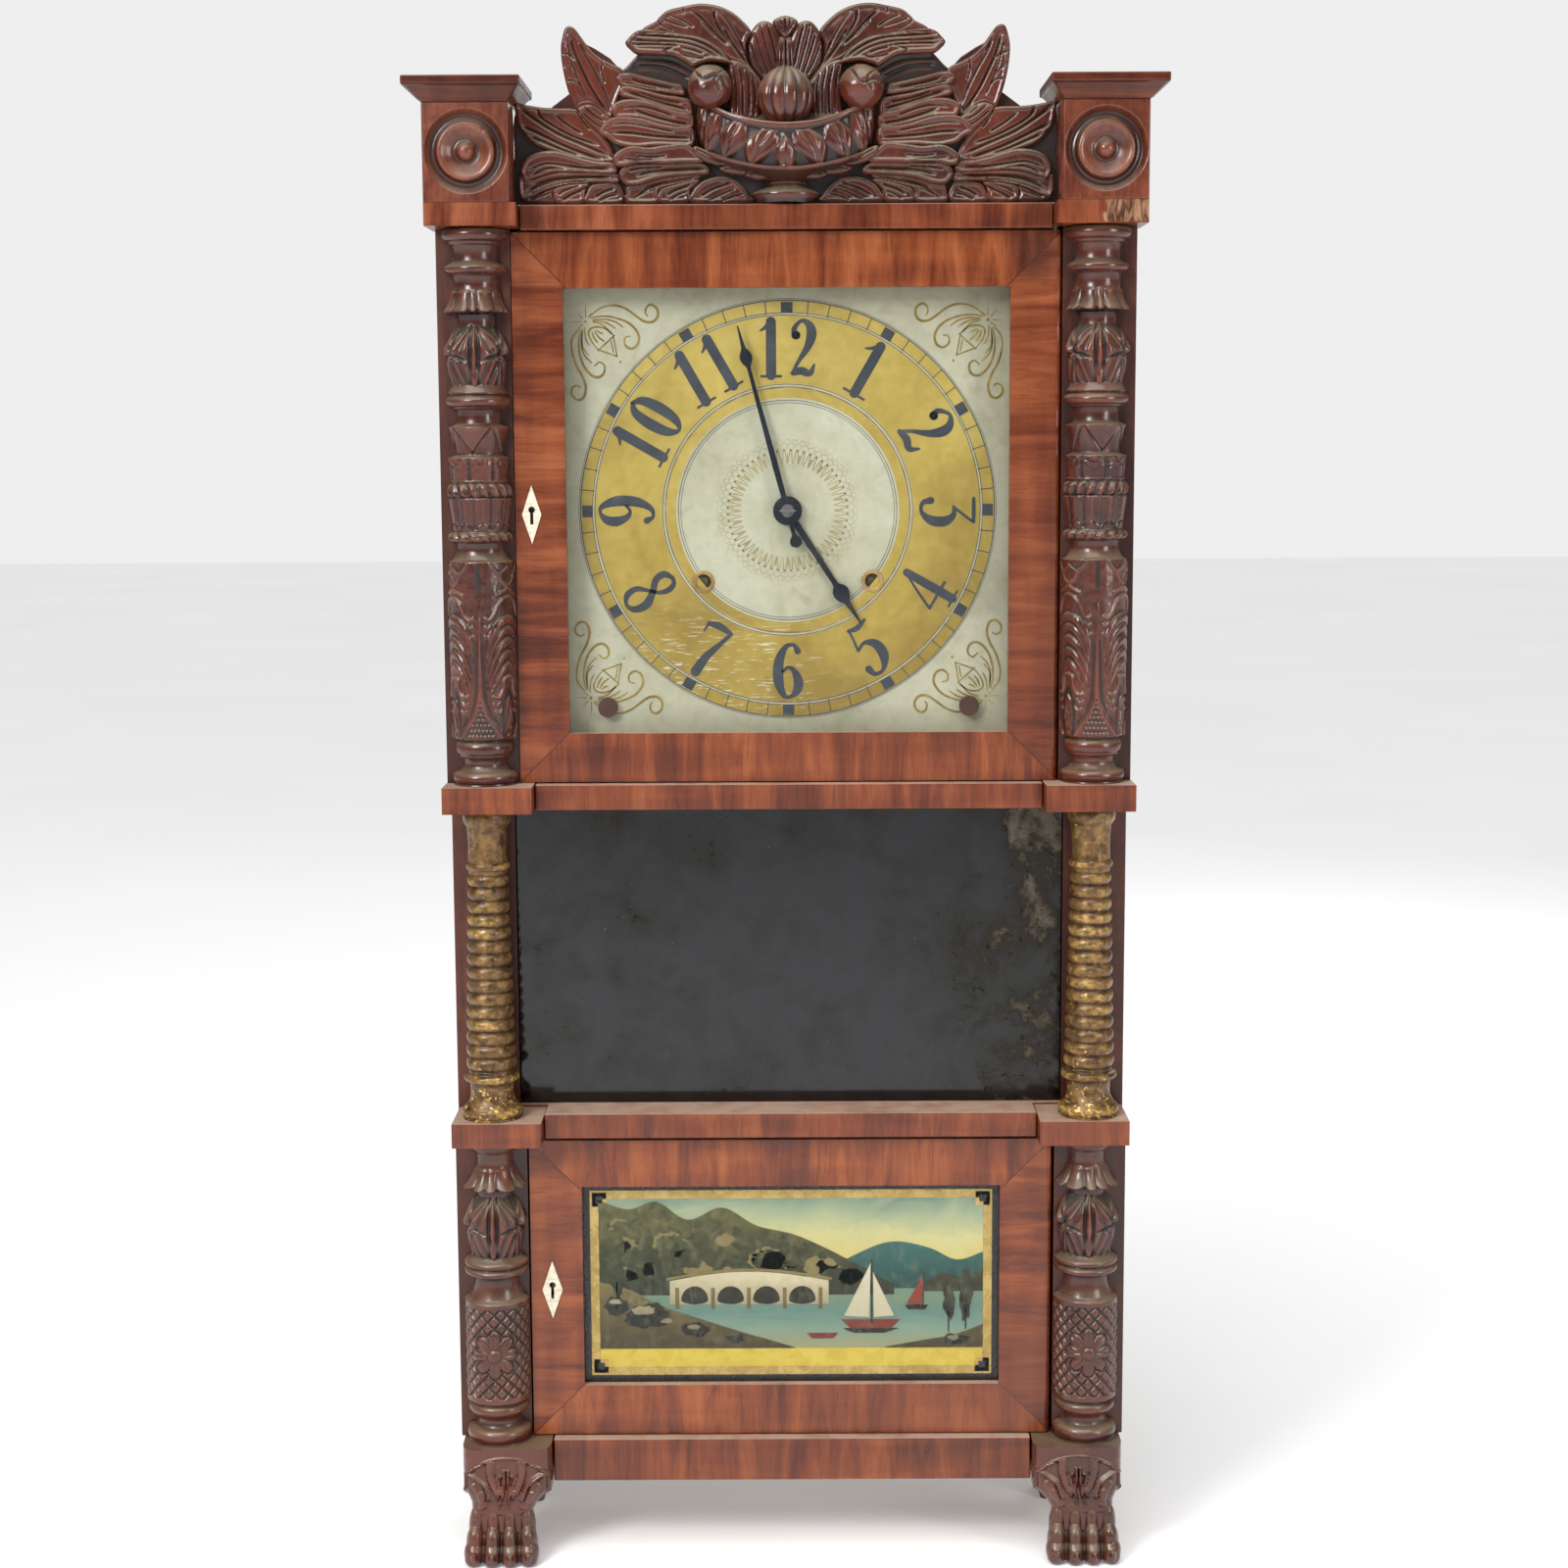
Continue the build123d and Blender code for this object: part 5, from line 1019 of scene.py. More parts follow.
CREST = [
    # backing ground behind the leaves, painted in shade through a lowered relief value
    dict(o=[(142, 560), (300, 566), (440, 560), (430, 470), (560, 420), (690, 350), (770, 270), (900, 140), (1100, 70), (1280, 120), (1400, 180), (1540, 190), (1540, 1043), (700, 1043), (127, 1041), (128, 800)], base=2.2, dome=0.6, wd=2.0, shade_offset=-0.40,
         g=[(1.6, 1.4, [(760, 330), (900, 340), (1040, 400)]), (1.3, 1.0, [(780, 290), (940, 300), (1080, 370)])]),
    # sickle leaf
    dict(hollow=1.2, o=[(392, 170), (405, 135), (428, 127), (455, 142), (490, 190), (530, 245), (575, 285), (630, 315), (690, 345), (712, 400), (680, 480), (650, 560), (640, 610), (590, 590), (540, 545), (500, 535), (450, 552), (420, 480), (398, 400), (383, 310), (380, 230)],
         base=5.0, dome=2.4, wd=7, thick=5.5, tilt=(-0.03, 0.05),
         g=[(0.7, 1.3, [(425, 170), (452, 270), (490, 360), (540, 460), (610, 570)]), (0.55, 1.0, [(384, 265), (420, 272), (452, 300)]), (0.55, 0.9, [(403, 408), (440, 405), (478, 428)]), (0.6, 0.9, [(470, 190), (500, 270), (545, 350), (590, 440), (630, 540)]),
            (0.5, 0.8, [(410, 200), (430, 300), (462, 400), (510, 500)]), (0.5, 0.8, [(590, 300), (585, 350), (600, 420)]), (0.5, 0.7, [(395, 330), (420, 345), (450, 385)])]),
    # outer upper fan
    dict(hollow=1.2, o=[(138, 518), (200, 530), (300, 545), (450, 552), (490, 590), (540, 640), (600, 700), (640, 770), (645, 830), (540, 832), (430, 805), (330, 775), (240, 740), (190, 690), (155, 640), (142, 580)],
         base=5.0, dome=2.2, wd=6, thick=6, tilt=(0.03, 0.02),
         g=[(0.9, 1.7, [(158, 545), (260, 620), (360, 682), (480, 735), (615, 795)]), (0.75, 1.4, [(245, 548), (275, 600), (350, 650), (450, 700), (560, 740)]), (0.7, 1.2, [(340, 580), (400, 630), (480, 680)]), (0.85, 1.6, [(160, 635), (230, 665), (330, 715), (440, 765), (580, 815)]),
            (0.7, 1.1, [(205, 690), (290, 725), (380, 765), (470, 795)]), (0.5, 0.9, [(460, 560), (490, 620), (520, 660)])]),
    # small leaf
    dict(o=[(460, 560), (480, 538), (520, 530), (560, 545), (600, 580), (640, 610), (650, 650), (625, 700), (590, 690), (540, 650), (500, 610)], base=7.5, dome=1.8, wd=4, thick=6,
         g=[(0.55, 1.1, [(500, 545), (550, 590), (600, 620)]), (0.5, 1.0, [(480, 570), (540, 620), (600, 660)]), (0.45, 0.9, [(540, 548), (590, 590)])]),
    # outer lower leaf, three lobes
    dict(grow=0.6, hollow=1.9, o=[(165, 880), (178, 840), (205, 805), (260, 782), (330, 775), (400, 790), (480, 815), (560, 832), (640, 840), (655, 885), (560, 888), (450, 880), (350, 878), (280, 895), (220, 915), (185, 925)], base=8.0, dome=2.8, wd=5, thick=7,
         g=[(0.7, 1.2, [(200, 870), (290, 838), (380, 845), (500, 862), (620, 866)]), (0.6, 1.0, [(220, 900), (300, 862), (400, 868)])]),
    dict(grow=0.5, hollow=1.9, o=[(150, 950), (160, 905), (185, 915), (225, 918), (290, 898), (370, 886), (500, 890), (650, 890), (665, 935), (560, 932), (450, 935), (350, 952), (280, 975), (220, 1005), (165, 1020)], base=7.0, dome=2.6, wd=5, thick=7,
         g=[(0.85, 1.5, [(190, 985), (260, 945), (350, 918), (480, 908), (620, 908)]), (0.6, 1.0, [(200, 1000), (290, 960), (390, 935), (520, 926)])]),
    dict(o=[(160, 1010), (225, 1008), (280, 980), (330, 962), (325, 1000), (332, 1041), (230, 1040), (165, 1028)], base=5.2, dome=2.0, wd=4, thick=6, g=[(0.6, 1.0, [(200, 1025), (260, 1005), (320, 985)])]),
    dict(hollow=1.2, o=[(333, 965), (400, 945), (500, 936), (520, 940), (496, 975), (480, 1041), (345, 1041), (326, 1000)], base=5.8, dome=2.4, wd=4.5, thick=6, g=[(0.7, 1.3, [(370, 1030), (420, 1000), (500, 962)]), (0.5, 0.9, [(350, 1000), (400, 972), (470, 950)])]),
    dict(hollow=1.2, o=[(500, 985), (530, 945), (600, 936), (668, 938), (690, 1041), (495, 1041)], base=5.4, dome=2.4, wd=4.5, thick=6, g=[(0.7, 1.3, [(545, 1012), (590, 985), (640, 968)]), (0.5, 0.9, [(560, 1036), (610, 1010), (660, 1000)])]),
    # inner horizontal lobes
    dict(grow=0.9, hollow=1.9, o=[(668, 402), (690, 378), (740, 376), (800, 392), (880, 412), (960, 430), (1000, 440), (1010, 480), (930, 472), (850, 458), (770, 442), (700, 436)], base=6.4, dome=2.6, wd=4, thick=6.5, g=[(0.55, 1.2, [(735, 402), (820, 425), (950, 450)]), (0.5, 0.9, [(700, 415), (790, 438), (880, 455)])]),
    dict(grow=0.9, hollow=1.9, o=[(682, 462), (705, 444), (760, 452), (830, 470), (900, 488), (980, 500), (1040, 520), (1045, 590), (980, 572), (900, 552), (860, 545), (800, 520), (740, 500), (690, 485)], base=7.6, dome=2.8, wd=4.5, thick=7, g=[(0.6, 1.2, [(720, 470), (820, 500), (930, 535), (1030, 560)]), (0.5, 0.9, [(780, 470), (880, 505), (1000, 530)])]),
    dict(grow=0.9, hollow=1.9, o=[(645, 552), (665, 530), (710, 516), (770, 516), (840, 530), (900, 552), (970, 575), (1045, 592), (1045, 655), (960, 648), (870, 628), (790, 605), (720, 600), (665, 600), (650, 580)], base=9.6, dome=3.2, wd=5, thick=8, g=[(0.75, 1.5, [(750, 560), (830, 590), (930, 620), (1040, 640)]), (0.55, 1.0, [(700, 555), (760, 545), (850, 560), (960, 600)])]),
    dict(grow=0.9, hollow=1.9, o=[(578, 682), (590, 650), (620, 622), (670, 603), (740, 605), (800, 615), (880, 640), (960, 655), (1045, 662), (1050, 745), (960, 750), (860, 748), (760, 755), (690, 745), (650, 730), (615, 700)], base=10.2, dome=3.2, wd=5.5, thick=8, g=[(0.8, 1.6, [(640, 680), (740, 684), (860, 700), (1040, 712)]), (0.5, 0.9, [(640, 640), (720, 635), (840, 655), (960, 680)])]),
    dict(grow=0.8, hollow=1.9, o=[(648, 822), (660, 795), (700, 768), (750, 756), (830, 765), (920, 752), (1010, 745), (1055, 775), (1105, 830), (1000, 836), (900, 838), (830, 835), (760, 838), (700, 850), (660, 848)], base=11.6, dome=2.8, wd=5, thick=8, g=[(0.55, 1.0, [(760, 800), (830, 808), (920, 802)]), (0.5, 0.8, [(690, 812), (760, 822), (860, 822)])]),
    dict(grow=0.7, hollow=1.9, o=[(675, 900), (690, 868), (730, 850), (800, 850), (880, 846), (980, 842), (1090, 845), (1125, 865), (1130, 892), (1040, 898), (940, 905), (850, 922), (780, 945), (720, 950), (690, 930)], base=9.4, dome=3.0, wd=5, thick=7, g=[(0.8, 1.5, [(760, 905), (850, 882), (960, 876), (1110, 872)]), (0.5, 0.9, [(720, 880), (800, 865), (900, 862)])]),
    dict(grow=0.5, hollow=1.9, o=[(705, 1000), (715, 960), (760, 950), (860, 924), (960, 908), (1060, 900), (1080, 915), (900, 960), (868, 990), (862, 1041), (720, 1041), (700, 1020)], base=7.4, dome=2.8, wd=5, thick=7, g=[(0.8, 1.5, [(770, 1000), (850, 955), (960, 935), (1070, 912)]), (0.5, 0.9, [(740, 1020), (800, 990), (850, 975)])]),
    dict(hollow=1.2, o=[(870, 990), (900, 962), (980, 940), (1065, 920), (1085, 935), (1040, 975), (1020, 1041), (866, 1041)], base=6.4, dome=2.6, wd=4.5, thick=6, g=[(0.7, 1.3, [(915, 1005), (960, 980), (1040, 950)]), (0.5, 0.9, [(930, 1030), (980, 1000), (1020, 985)])]),
    dict(hollow=1.2, o=[(1045, 985), (1085, 940), (1150, 910), (1230, 910), (1290, 940), (1340, 1000), (1350, 1041), (1040, 1041)], base=5.8, dome=2.4, wd=4.5, thick=6, g=[(0.7, 1.3, [(1090, 1010), (1160, 970), (1250, 940)]), (0.5, 0.9, [(1130, 1035), (1200, 1000), (1270, 970)]), (0.5, 0.9, [(1200, 1036), (1260, 1010), (1310, 1000)])]),
    # upright leaf beside the centre
    dict(o=[(1340, 240), (1345, 190), (1365, 145), (1395, 112), (1430, 103), (1468, 118), (1492, 150), (1515, 200), (1535, 260), (1530, 350), (1480, 400), (1440, 430), (1400, 400), (1350, 330)], base=5.4, dome=2.2, wd=5, thick=6,
         g=[(0.6, 1.3, [(1440, 125), (1468, 230), (1490, 340)]), (0.5, 1.0, [(1375, 165), (1410, 280), (1450, 390)]), (0.5, 1.0, [(1405, 130), (1436, 250), (1470, 370)]), (0.5, 0.9, [(1352, 220), (1385, 310), (1425, 390)])]),
    # great curled leaf, upper part
    dict(hollow=1.2, o=[(800, 148), (870, 106), (885, 88), (930, 50), (1010, 30), (1100, 15), (1190, 28), (1260, 60), (1315, 105), (1358, 160), (1338, 205), (1330, 250), (1345, 330), (1425, 440), (1360, 400), (1300, 340), (1240, 310), (1170, 260), (1060, 215), (930, 200), (850, 190)],
         base=8.6, dome=3.4, wd=7, thick=7, tilt=(0.0, -0.06),
         g=[(0.75, 1.5, [(1235, 232), (1180, 180), (1110, 100), (1060, 55)]), (0.7, 1.4, [(1250, 225), (1195, 150), (1170, 95), (1168, 45)]), (0.8, 1.5, [(1345, 340), (1290, 270), (1245, 200), (1210, 140)]), (0.5, 1.0, [(905, 95), (960, 118), (1030, 140)]), (0.5, 1.0, [(950, 78), (1010, 105), (1062, 140)]),
            (0.5, 1.0, [(1100, 110), (1140, 150), (1175, 190)]), (0.55, 1.0, [(1200, 60), (1250, 130), (1300, 220), (1340, 300)]), (0.45, 0.8, [(1010, 32), (1012, 70)]), (0.5, 0.9, [(1360, 330), (1320, 270), (1300, 210)]), (0.45, 0.8, [(880, 105), (905, 130), (960, 160)])]),
    # great curled leaf, lower edge that comes forward
    dict(hollow=1.2, o=[(714, 224), (728, 200), (770, 162), (830, 152), (920, 165), (1010, 178), (1090, 192), (1160, 225), (1220, 280), (1252, 330), (1225, 330), (1150, 322), (1090, 338), (1060, 350), (1020, 325), (960, 292), (900, 284), (850, 282), (770, 276), (735, 250)],
         base=13.4, dome=2.8, wd=5, thick=6.5, tilt=(0.0, -0.14),
         g=[(0.7, 1.4, [(760, 182), (900, 190), (1050, 205), (1160, 255), (1235, 318)]), (0.6, 1.2, [(735, 208), (860, 214), (1000, 222), (1110, 255), (1190, 305)]), (0.6, 1.2, [(760, 232), (880, 232), (990, 240)]), (0.7, 1.2, [(1005, 248), (1060, 262), (1110, 282)]), (0.6, 1.1, [(930, 282), (915, 262), (960, 246)]), (0.5, 1.0, [(780, 170), (900, 172), (1040, 185)]), (0.5, 0.9, [(1000, 285), (1060, 300), (1120, 305)])]),
    # fluted leaf behind the fruit
    dict(o=[(1242, 325), (1265, 312), (1310, 325), (1360, 362), (1410, 420), (1422, 450), (1400, 520), (1392, 615), (1300, 620), (1240, 610), (1248, 480)], base=11.0, dome=2.0, wd=4, thick=8,
         g=[(0.5, 1.0, [(1262, 330), (1275, 450), (1275, 600)]), (0.5, 1.0, [(1290, 335), (1310, 450), (1310, 605)]), (0.5, 1.0, [(1325, 355), (1345, 460), (1345, 605)]), (0.5, 1.0, [(1360, 385), (1376, 480), (1372, 605)])]),
    # small leaves under the bowl
    dict(o=[(1055, 780), (1065, 755), (1110, 770), (1180, 810), (1240, 850), (1180, 855), (1120, 838), (1080, 812)], base=13.0, dome=2.0, wd=3.5, thick=7, g=[(0.5, 1.0, [(1075, 772), (1120, 795), (1200, 840)])]),
    dict(o=[(1190, 870), (1260, 850), (1350, 858), (1400, 880), (1330, 905), (1240, 895)], base=12.0, dome=2.2, wd=3.5, thick=8, g=[(0.5, 1.0, [(1215, 872), (1290, 872), (1370, 880)])]),
    dict(o=[(1320, 905), (1400, 872), (1480, 868), (1535, 880), (1535, 925), (1450, 925), (1380, 930)], base=14.0, dome=2.4, wd=3.5, thick=8, g=[(0.5, 1.0, [(1350, 905), (1420, 890), (1520, 898)])]),
]
g = Geo()
for side in (False, True):
    for i, L in enumerate(CREST):
        relief_leaf(g, L["o"], L["base"] + (0.3 if side else 0.0), L["dome"], L.get("g", ()), (), L.get("tilt", (0, 0)), L.get("thick"), wd=L.get("wd", 4.5), mirror=side, seed=i + (40 if side else 3), shade_offset=L.get("shade_offset", 0.0), grow=L.get("grow", 0.0), hollow=L.get("hollow", 0.0))
# middle: stem of small leaves and the fan at the top
relief_leaf(g, [(1498, 200), (1533, 192), (1568, 200), (1572, 360), (1494, 360)], 7.0, 2.6, [(0.5, 1.2, [(1533, 200), (1533, 350)]), (0.45, 0.9, [(1512, 210), (1510, 350)]), (0.45, 0.9, [(1554, 210), (1556, 350)])], wd=3.5, thick=6, seed=91)
relief_leaf(g, [(1468, 112), (1496, 90), (1533, 81), (1570, 90), (1598, 112), (1576, 150), (1533, 198), (1490, 150)], 8.6, 2.6, [(0.42, 0.9, [(1533, 190), (1533, 92)]), (0.42, 0.9, [(1526, 180), (1508, 100)]), (0.42, 0.9, [(1520, 170), (1488, 116)]), (0.42, 0.9, [(1540, 180), (1558, 100)]), (0.42, 0.9, [(1546, 170), (1578, 116)])], wd=3.2, thick=5, seed=92)
g.obj("crest_leaves", M_CREST, "case", "carved_mahogany", ("crest_carving",), auto=50)


# footed bowl, boat shaped, with a band of leaves
def crest_bowl():
    g = Geo()
    lev = [  # s, half width, depth, height at the middle, rise at the ends, relief
        (0.0, 47.0, 21.0, 893.5, 16.0, 0.30), (0.3, 50.5, 24.0, 895.4, 16.8, 0.40), (0.6, 52.4, 26.0, 897.3, 17.4, 0.62), (0.9, 53.8, 27.3, 897.8, 17.5, 0.80), (1.2, 54.4, 27.9, 896.8, 17.4, 0.85), (1.5, 54.2, 27.7, 895.3, 17.2, 0.7),
        (1.8, 52.8, 26.3, 894.3, 17.0, 0.12), (2.0, 52.6, 26.1, 893.6, 16.8, 0.2)]
    for k in range(1, 27):
        t = k / 26
        lev.append((2.0 + t, 52.8 + 1.2 * math.sin(t * math.pi) - 1.6 * t, 26.2 + 1.2 * math.sin(t * math.pi) - 1.4 * t, 893.6 - 20.6 * t, 16.8 - 5.0 * t, None))
    lev += [(3.1, 52.6, 26.6, 872.6, 11.6, 0.85), (3.25, 52.2, 26.2, 871.2, 11.2, 0.8), (3.4, 50.6, 24.6, 870.2, 10.6, 0.2)]
    for k in range(1, 13):
        t = k / 12
        lev.append((3.4 + t, 50.6 - 38.0 * t ** 0.8, 24.6 - 13.0 * t, 870.0 - 4.6 * t, 10.4 * (1 - t) ** 1.5, 0.32))
    lev += [(4.6, 11.6, 11.0, 865.0, 0, 0.7), (4.7, 12.4, 11.8, 864.2, 0, 0.75), (4.8, 11.8, 11.2, 863.4, 0, 0.3), (4.9, 11.6, 11.0, 862.6, 0, 0.4), (5.0, 15.0, 14.0, 861.4, 0, 0.6), (5.15, 19.2, 17.0, 859.8, 0, 0.82), (5.25, 20.6, 18.0, 858.4, 0, 0.8), (5.35, 20.4, 17.8, 856.6, 0, 0.5), (5.5, 18.0, 15.6, 854.4, 0, 0.3), (5.6, 17.4, 15.2, 853.0, 0, 0.2)]
    cols = 161
    ph = np.linspace(-math.pi / 2, math.pi / 2, cols)
    V3, A3 = [], []
    for s, a, b, zc, rise, q in lev:
        sp = np.sin(ph)
        cp = np.cos(ph)
        arc = ph * 40.0
        rel = np.full(cols, q if q is not None else 0.5)
        dr = np.zeros(cols)
        if q is None:
            t = s - 2.0
            u = np.abs(arc) - 9.0 * t
            per = 15.0
            w = (u / per) % 1.0
            shape = np.clip(np.sin(math.pi * np.clip(0.10 + 0.86 * t, 0, 1)), 0.02, 1) ** 0.65
            q1 = np.abs(w - 0.5) * 2 / shape
            leaf = np.clip(1 - q1 ** 2, 0, 1) ** 0.5
            vein = np.exp(-((w - 0.5) / 0.045) ** 2)
            dr = 3.0 * leaf - 1.9 - 1.3 * vein * (leaf > 0)
            fine = np.cos(q1 * 9 + t * 10)
            dr += 0.30 * fine * (leaf > 0.3)
            # the ground between the leaves and the veins get low relief values: painted shade
            rel = np.where(leaf > 0, 0.30 + 0.42 * leaf - 0.34 * vein + 0.10 * fine, 0.04)
            cen = np.exp(-(arc / 2.2) ** 2)
            dr += 1.3 * cen
        z = zc + rise * sp ** 2
        if s > 2.0:
            z = zc + rise * np.abs(sp) ** 2
        V3.append(np.stack([(a + dr) * sp, -34.0 - (b + dr) * cp, z + 0.25 * vnoise(arc * 0.15, s * 2, 0, 5)], 1))
        A3.append(np.clip(rel, 0, 1))
    rows = len(lev)
    v = np.concatenate(V3)
    f = grid_quads(rows, cols, flip=True)
    for i in range(rows - 1):
        a, b = i * cols, i * cols + cols - 1
        f.append((b, b + cols, a + cols, a)[::-1])
    f.append(tuple(range(cols)))
    f.append(tuple((rows - 1) * cols + k for k in range(cols))[::-1])
    g.add(v, f, np.concatenate(A3))
    return g


crest_bowl().obj("crest_bowl", M_CREST, "case", "carved_mahogany", ("crest_carving",), auto=70)


def blob(cx, cy, cz, rx, ry, rz, shape, rows=60, cols=96):
    # closed rounded form with its own surface function of angle and height
    g = Geo()
    lat = np.linspace(-math.pi / 2, math.pi / 2, rows)[1:-1]
    lon = np.linspace(-math.pi, math.pi, cols + 1)[:-1]
    LO, LA = np.meshgrid(lon, lat)
    k, rel = shape(LO, LA)
    x = cx + rx * k * np.cos(LA) * np.sin(LO)
    y = cy - ry * k * np.cos(LA) * np.cos(LO)
    z = cz + rz * k * np.sin(LA)
    v = np.concatenate([np.stack([x.ravel(), y.ravel(), z.ravel()], 1), [[cx, cy, cz - rz * float(k[0].mean())], [cx, cy, cz + rz * float(k[-1].mean())]]])
    r = rows - 2
    f = grid_quads(r, cols, wrap=True)
    n = r * cols
    f += [(n, (j + 1) % cols, j) for j in range(cols)]
    f += [(n + 1, (r - 1) * cols + j, (r - 1) * cols + (j + 1) % cols) for j in range(cols)]
    g.add(v, f, np.concatenate([np.clip(rel, 0, 1).ravel(), [0.3, 0.3]]))
    return g


def bud_shape(LO, LA):
    h = (LA + math.pi / 2) / math.pi
    ribs = np.abs(np.sin(LO * 5.5 + 0.35 * np.sin(h * 3)))
    taper = 1.0 - 0.22 * np.clip((h - 0.5) / 0.5, 0, 1) * np.cos(LA) ** 0.5
    k = taper * (0.92 + 0.13 * ribs ** 0.6 * np.clip(np.cos(LA), 0, 1) ** 0.3)
    # the furrows between the ribs get a low relief value: painted shade
    return k, 0.08 + 0.72 * ribs ** 0.7


def fruit_shape(seed):
    def f(LO, LA):
        x, y, z = np.cos(LA) * np.sin(LO), np.cos(LA) * np.cos(LO), np.sin(LA)
        n = fbm(x * 2.2 + seed, y * 2.2, z * 2.2, seed, 3)
        line = np.exp(-((z * 0.9 + 0.5 * x + 0.25 * np.sin(x * 4 + seed) - 0.35) / 0.07) ** 2) * np.clip(y * 1.4, 0, 1)
        line2 = np.exp(-((x * 0.9 - 0.3 * z - 0.30 + 0.15 * np.sin(z * 5)) / 0.05) ** 2) * np.clip(y * 1.2, 0, 1) * (z > -0.2)
        # the carved lines get a lower relief value: painted shade
        return 1 + 0.035 * n - 0.10 * line - 0.07 * line2, 0.60 + 0.2 * n - 0.55 * line - 0.45 * line2
    return f


b = blob(0, -47.5, 915.4, 16.2, 13.0, 18.6, bud_shape, 84, 144)
b.obj("crest_bud", M_CREST, "case", "carved_mahogany", ("crest_carving",))
for sgn, nm, sd in ((-1, "left", 3), (1, "right", 8)):
    b = blob(sgn * 45.3, -47.5, 920.0, 13.4, 12.6, 13.2, fruit_shape(sd), 90, 130)
    b.obj(f"crest_fruit_{nm}", M_CREST, "case", "carved_mahogany", ("crest_carving",))


# ------------------------------------------------------------------ turned roundels on the corner blocks
PR_R = [0.0, 1.6, 3.0, 4.2, 5.1, 5.7, 6.3, 7.4, 9.0, 10.8, 12.6, 14.2, 15.6, 16.6, 17.2, 17.7, 18.6, 20.0, 21.6, 23.0, 24.0, 24.5, 25.2, 60.0]
PR_D = [-1.9, -1.7, -1.1, -0.1, 1.2, 2.6, 3.5, 3.9, 3.3, 2.2, 0.9, -0.2, -0.7, -0.3, 0.9, 2.6, 3.9, 4.5, 4.3, 3.2, 1.6, 0.4, 0.0, 0.0]


def corner_block(name, s):
    # block with a turned roundel let into its front, one closed mesh
    x0, x1, z0, z1 = 164.6, 216.0, 852.0, 910.0
    nx, nz = 172, 194
    xs, zs = np.linspace(x0, x1, nx), np.linspace(z0, z1, nz)
    X, Z = np.meshgrid(xs, zs)
    r = np.hypot(X - 190.3, Z - 881.8)
    depth = np.interp(r, PR_R, PR_D)
    edge = np.minimum(np.minimum(X - x0, x1 - X), np.minimum(Z - z0, z1 - Z))
    depth = depth + 0.7 * np.clip(1 - edge / 0.8, 0, 1) ** 2 + 0.06 * fbm(X * 0.15, Z * 0.15, s, 5, 2)
    mean = np.interp(r, PR_R, np.interp(PR_R, PR_R, PR_D))
    # relief value by radius: low in the recessed rings, which the roundel material paints as shade, high on the raised
    # rings
    hollow = np.interp(r, [0, 3, 5.3, 6.5, 8, 11, 15, 16.8, 17.4, 18.4, 21, 23, 24.2, 25, 60], [0.7, 0.62, 0.3, 0.12, 0.22, 0.46, 0.80, 0.72, 0.25, 0.06, 0.12, 0.30, 0.72, 0.56, 0.52])
    chip = (s < 0) * np.exp(-(((X - 190.3 + 11) ** 2 + (Z - 881.8 - 12.5) ** 2) / 1.6))
    depth += 1.0 * chip
    n = nx * nz
    front = np.stack([(s * X).ravel(), (-64.0 + depth).ravel(), Z.ravel()], 1)
    back = np.stack([(s * X).ravel(), np.full(n, -12.0), Z.ravel()], 1)
    f = [q[::-1] if s < 0 else q for q in grid_quads(nz, nx)]
    ring = [j for j in range(nx)] + [i * nx + nx - 1 for i in range(1, nz)] + [(nz - 1) * nx + j for j in range(nx - 2, -1, -1)] + [i * nx for i in range(nz - 2, 0, -1)]
    m = len(ring)
    bv = [back[i] for i in ring]
    side = []
    for k in range(m):
        a, b = ring[k], ring[(k + 1) % m]
        q = (b, a, n + k, n + (k + 1) % m)
        side.append(q[::-1] if s < 0 else q)
    cap = tuple(n + k for k in range(m))
    side.append(cap if s < 0 else cap[::-1])
    g = Geo()
    g.add(np.concatenate([front, np.array(bv)]), f + side, np.concatenate([hollow.ravel(), np.full(m, 0.5)]))
    return g.obj(name, M_ROUNDEL, "case", "mahogany_veneer", ("corner_blocks",), auto=50)


def roundel_material():
    m = Mat("turned_roundel")
    rel = m.attr()
    n1 = m.noise((60, 60, 60), 4, 0.4)
    n2 = m.noise((500, 500, 60), 3, 0.2)
    c = m.ramp(m.math("ADD", m.math("MULTIPLY", n1, 0.6), m.math("MULTIPLY", n2, 0.4)), [(0.35, (0.070, 0.014, 0.007)), (0.5, (0.135, 0.029, 0.012)), (0.66, (0.215, 0.055, 0.020))])
    # painted shade: low relief values, in the recessed rings, are darkened
    c = m.mix(m.step(rel, 0.44, 0.12, (0.0, 0.85)), c, (0.018, 0.006, 0.004))
    c = m.mix(m.step(rel, 0.6, 0.95, (0.0, 0.5)), c, (0.28, 0.12, 0.07))
    d = m.math("MULTIPLY", m.step(m.up(), 0.2, 0.8), m.step(n1, 0.3, 0.6, (0.3, 0.9)))
    c = m.mix(m.math("MULTIPLY", d, 0.7), c, (0.22, 0.175, 0.125))
    m.link(c, "Base Color")
    m.link(m.math("ADD", m.step(n1, 0.3, 0.7, (0.24, 0.38)), m.math("MULTIPLY", d, 0.35)), "Roughness")
    m.link(m.bump(n2, 0.00012, 0.5), "Normal")
    m.set(Coat_Weight=0.3, Coat_Roughness=0.14)
    return m.m


M_ROUNDEL = roundel_material()
corner_block("corner_block_left", -1)
corner_block("corner_block_right", 1)


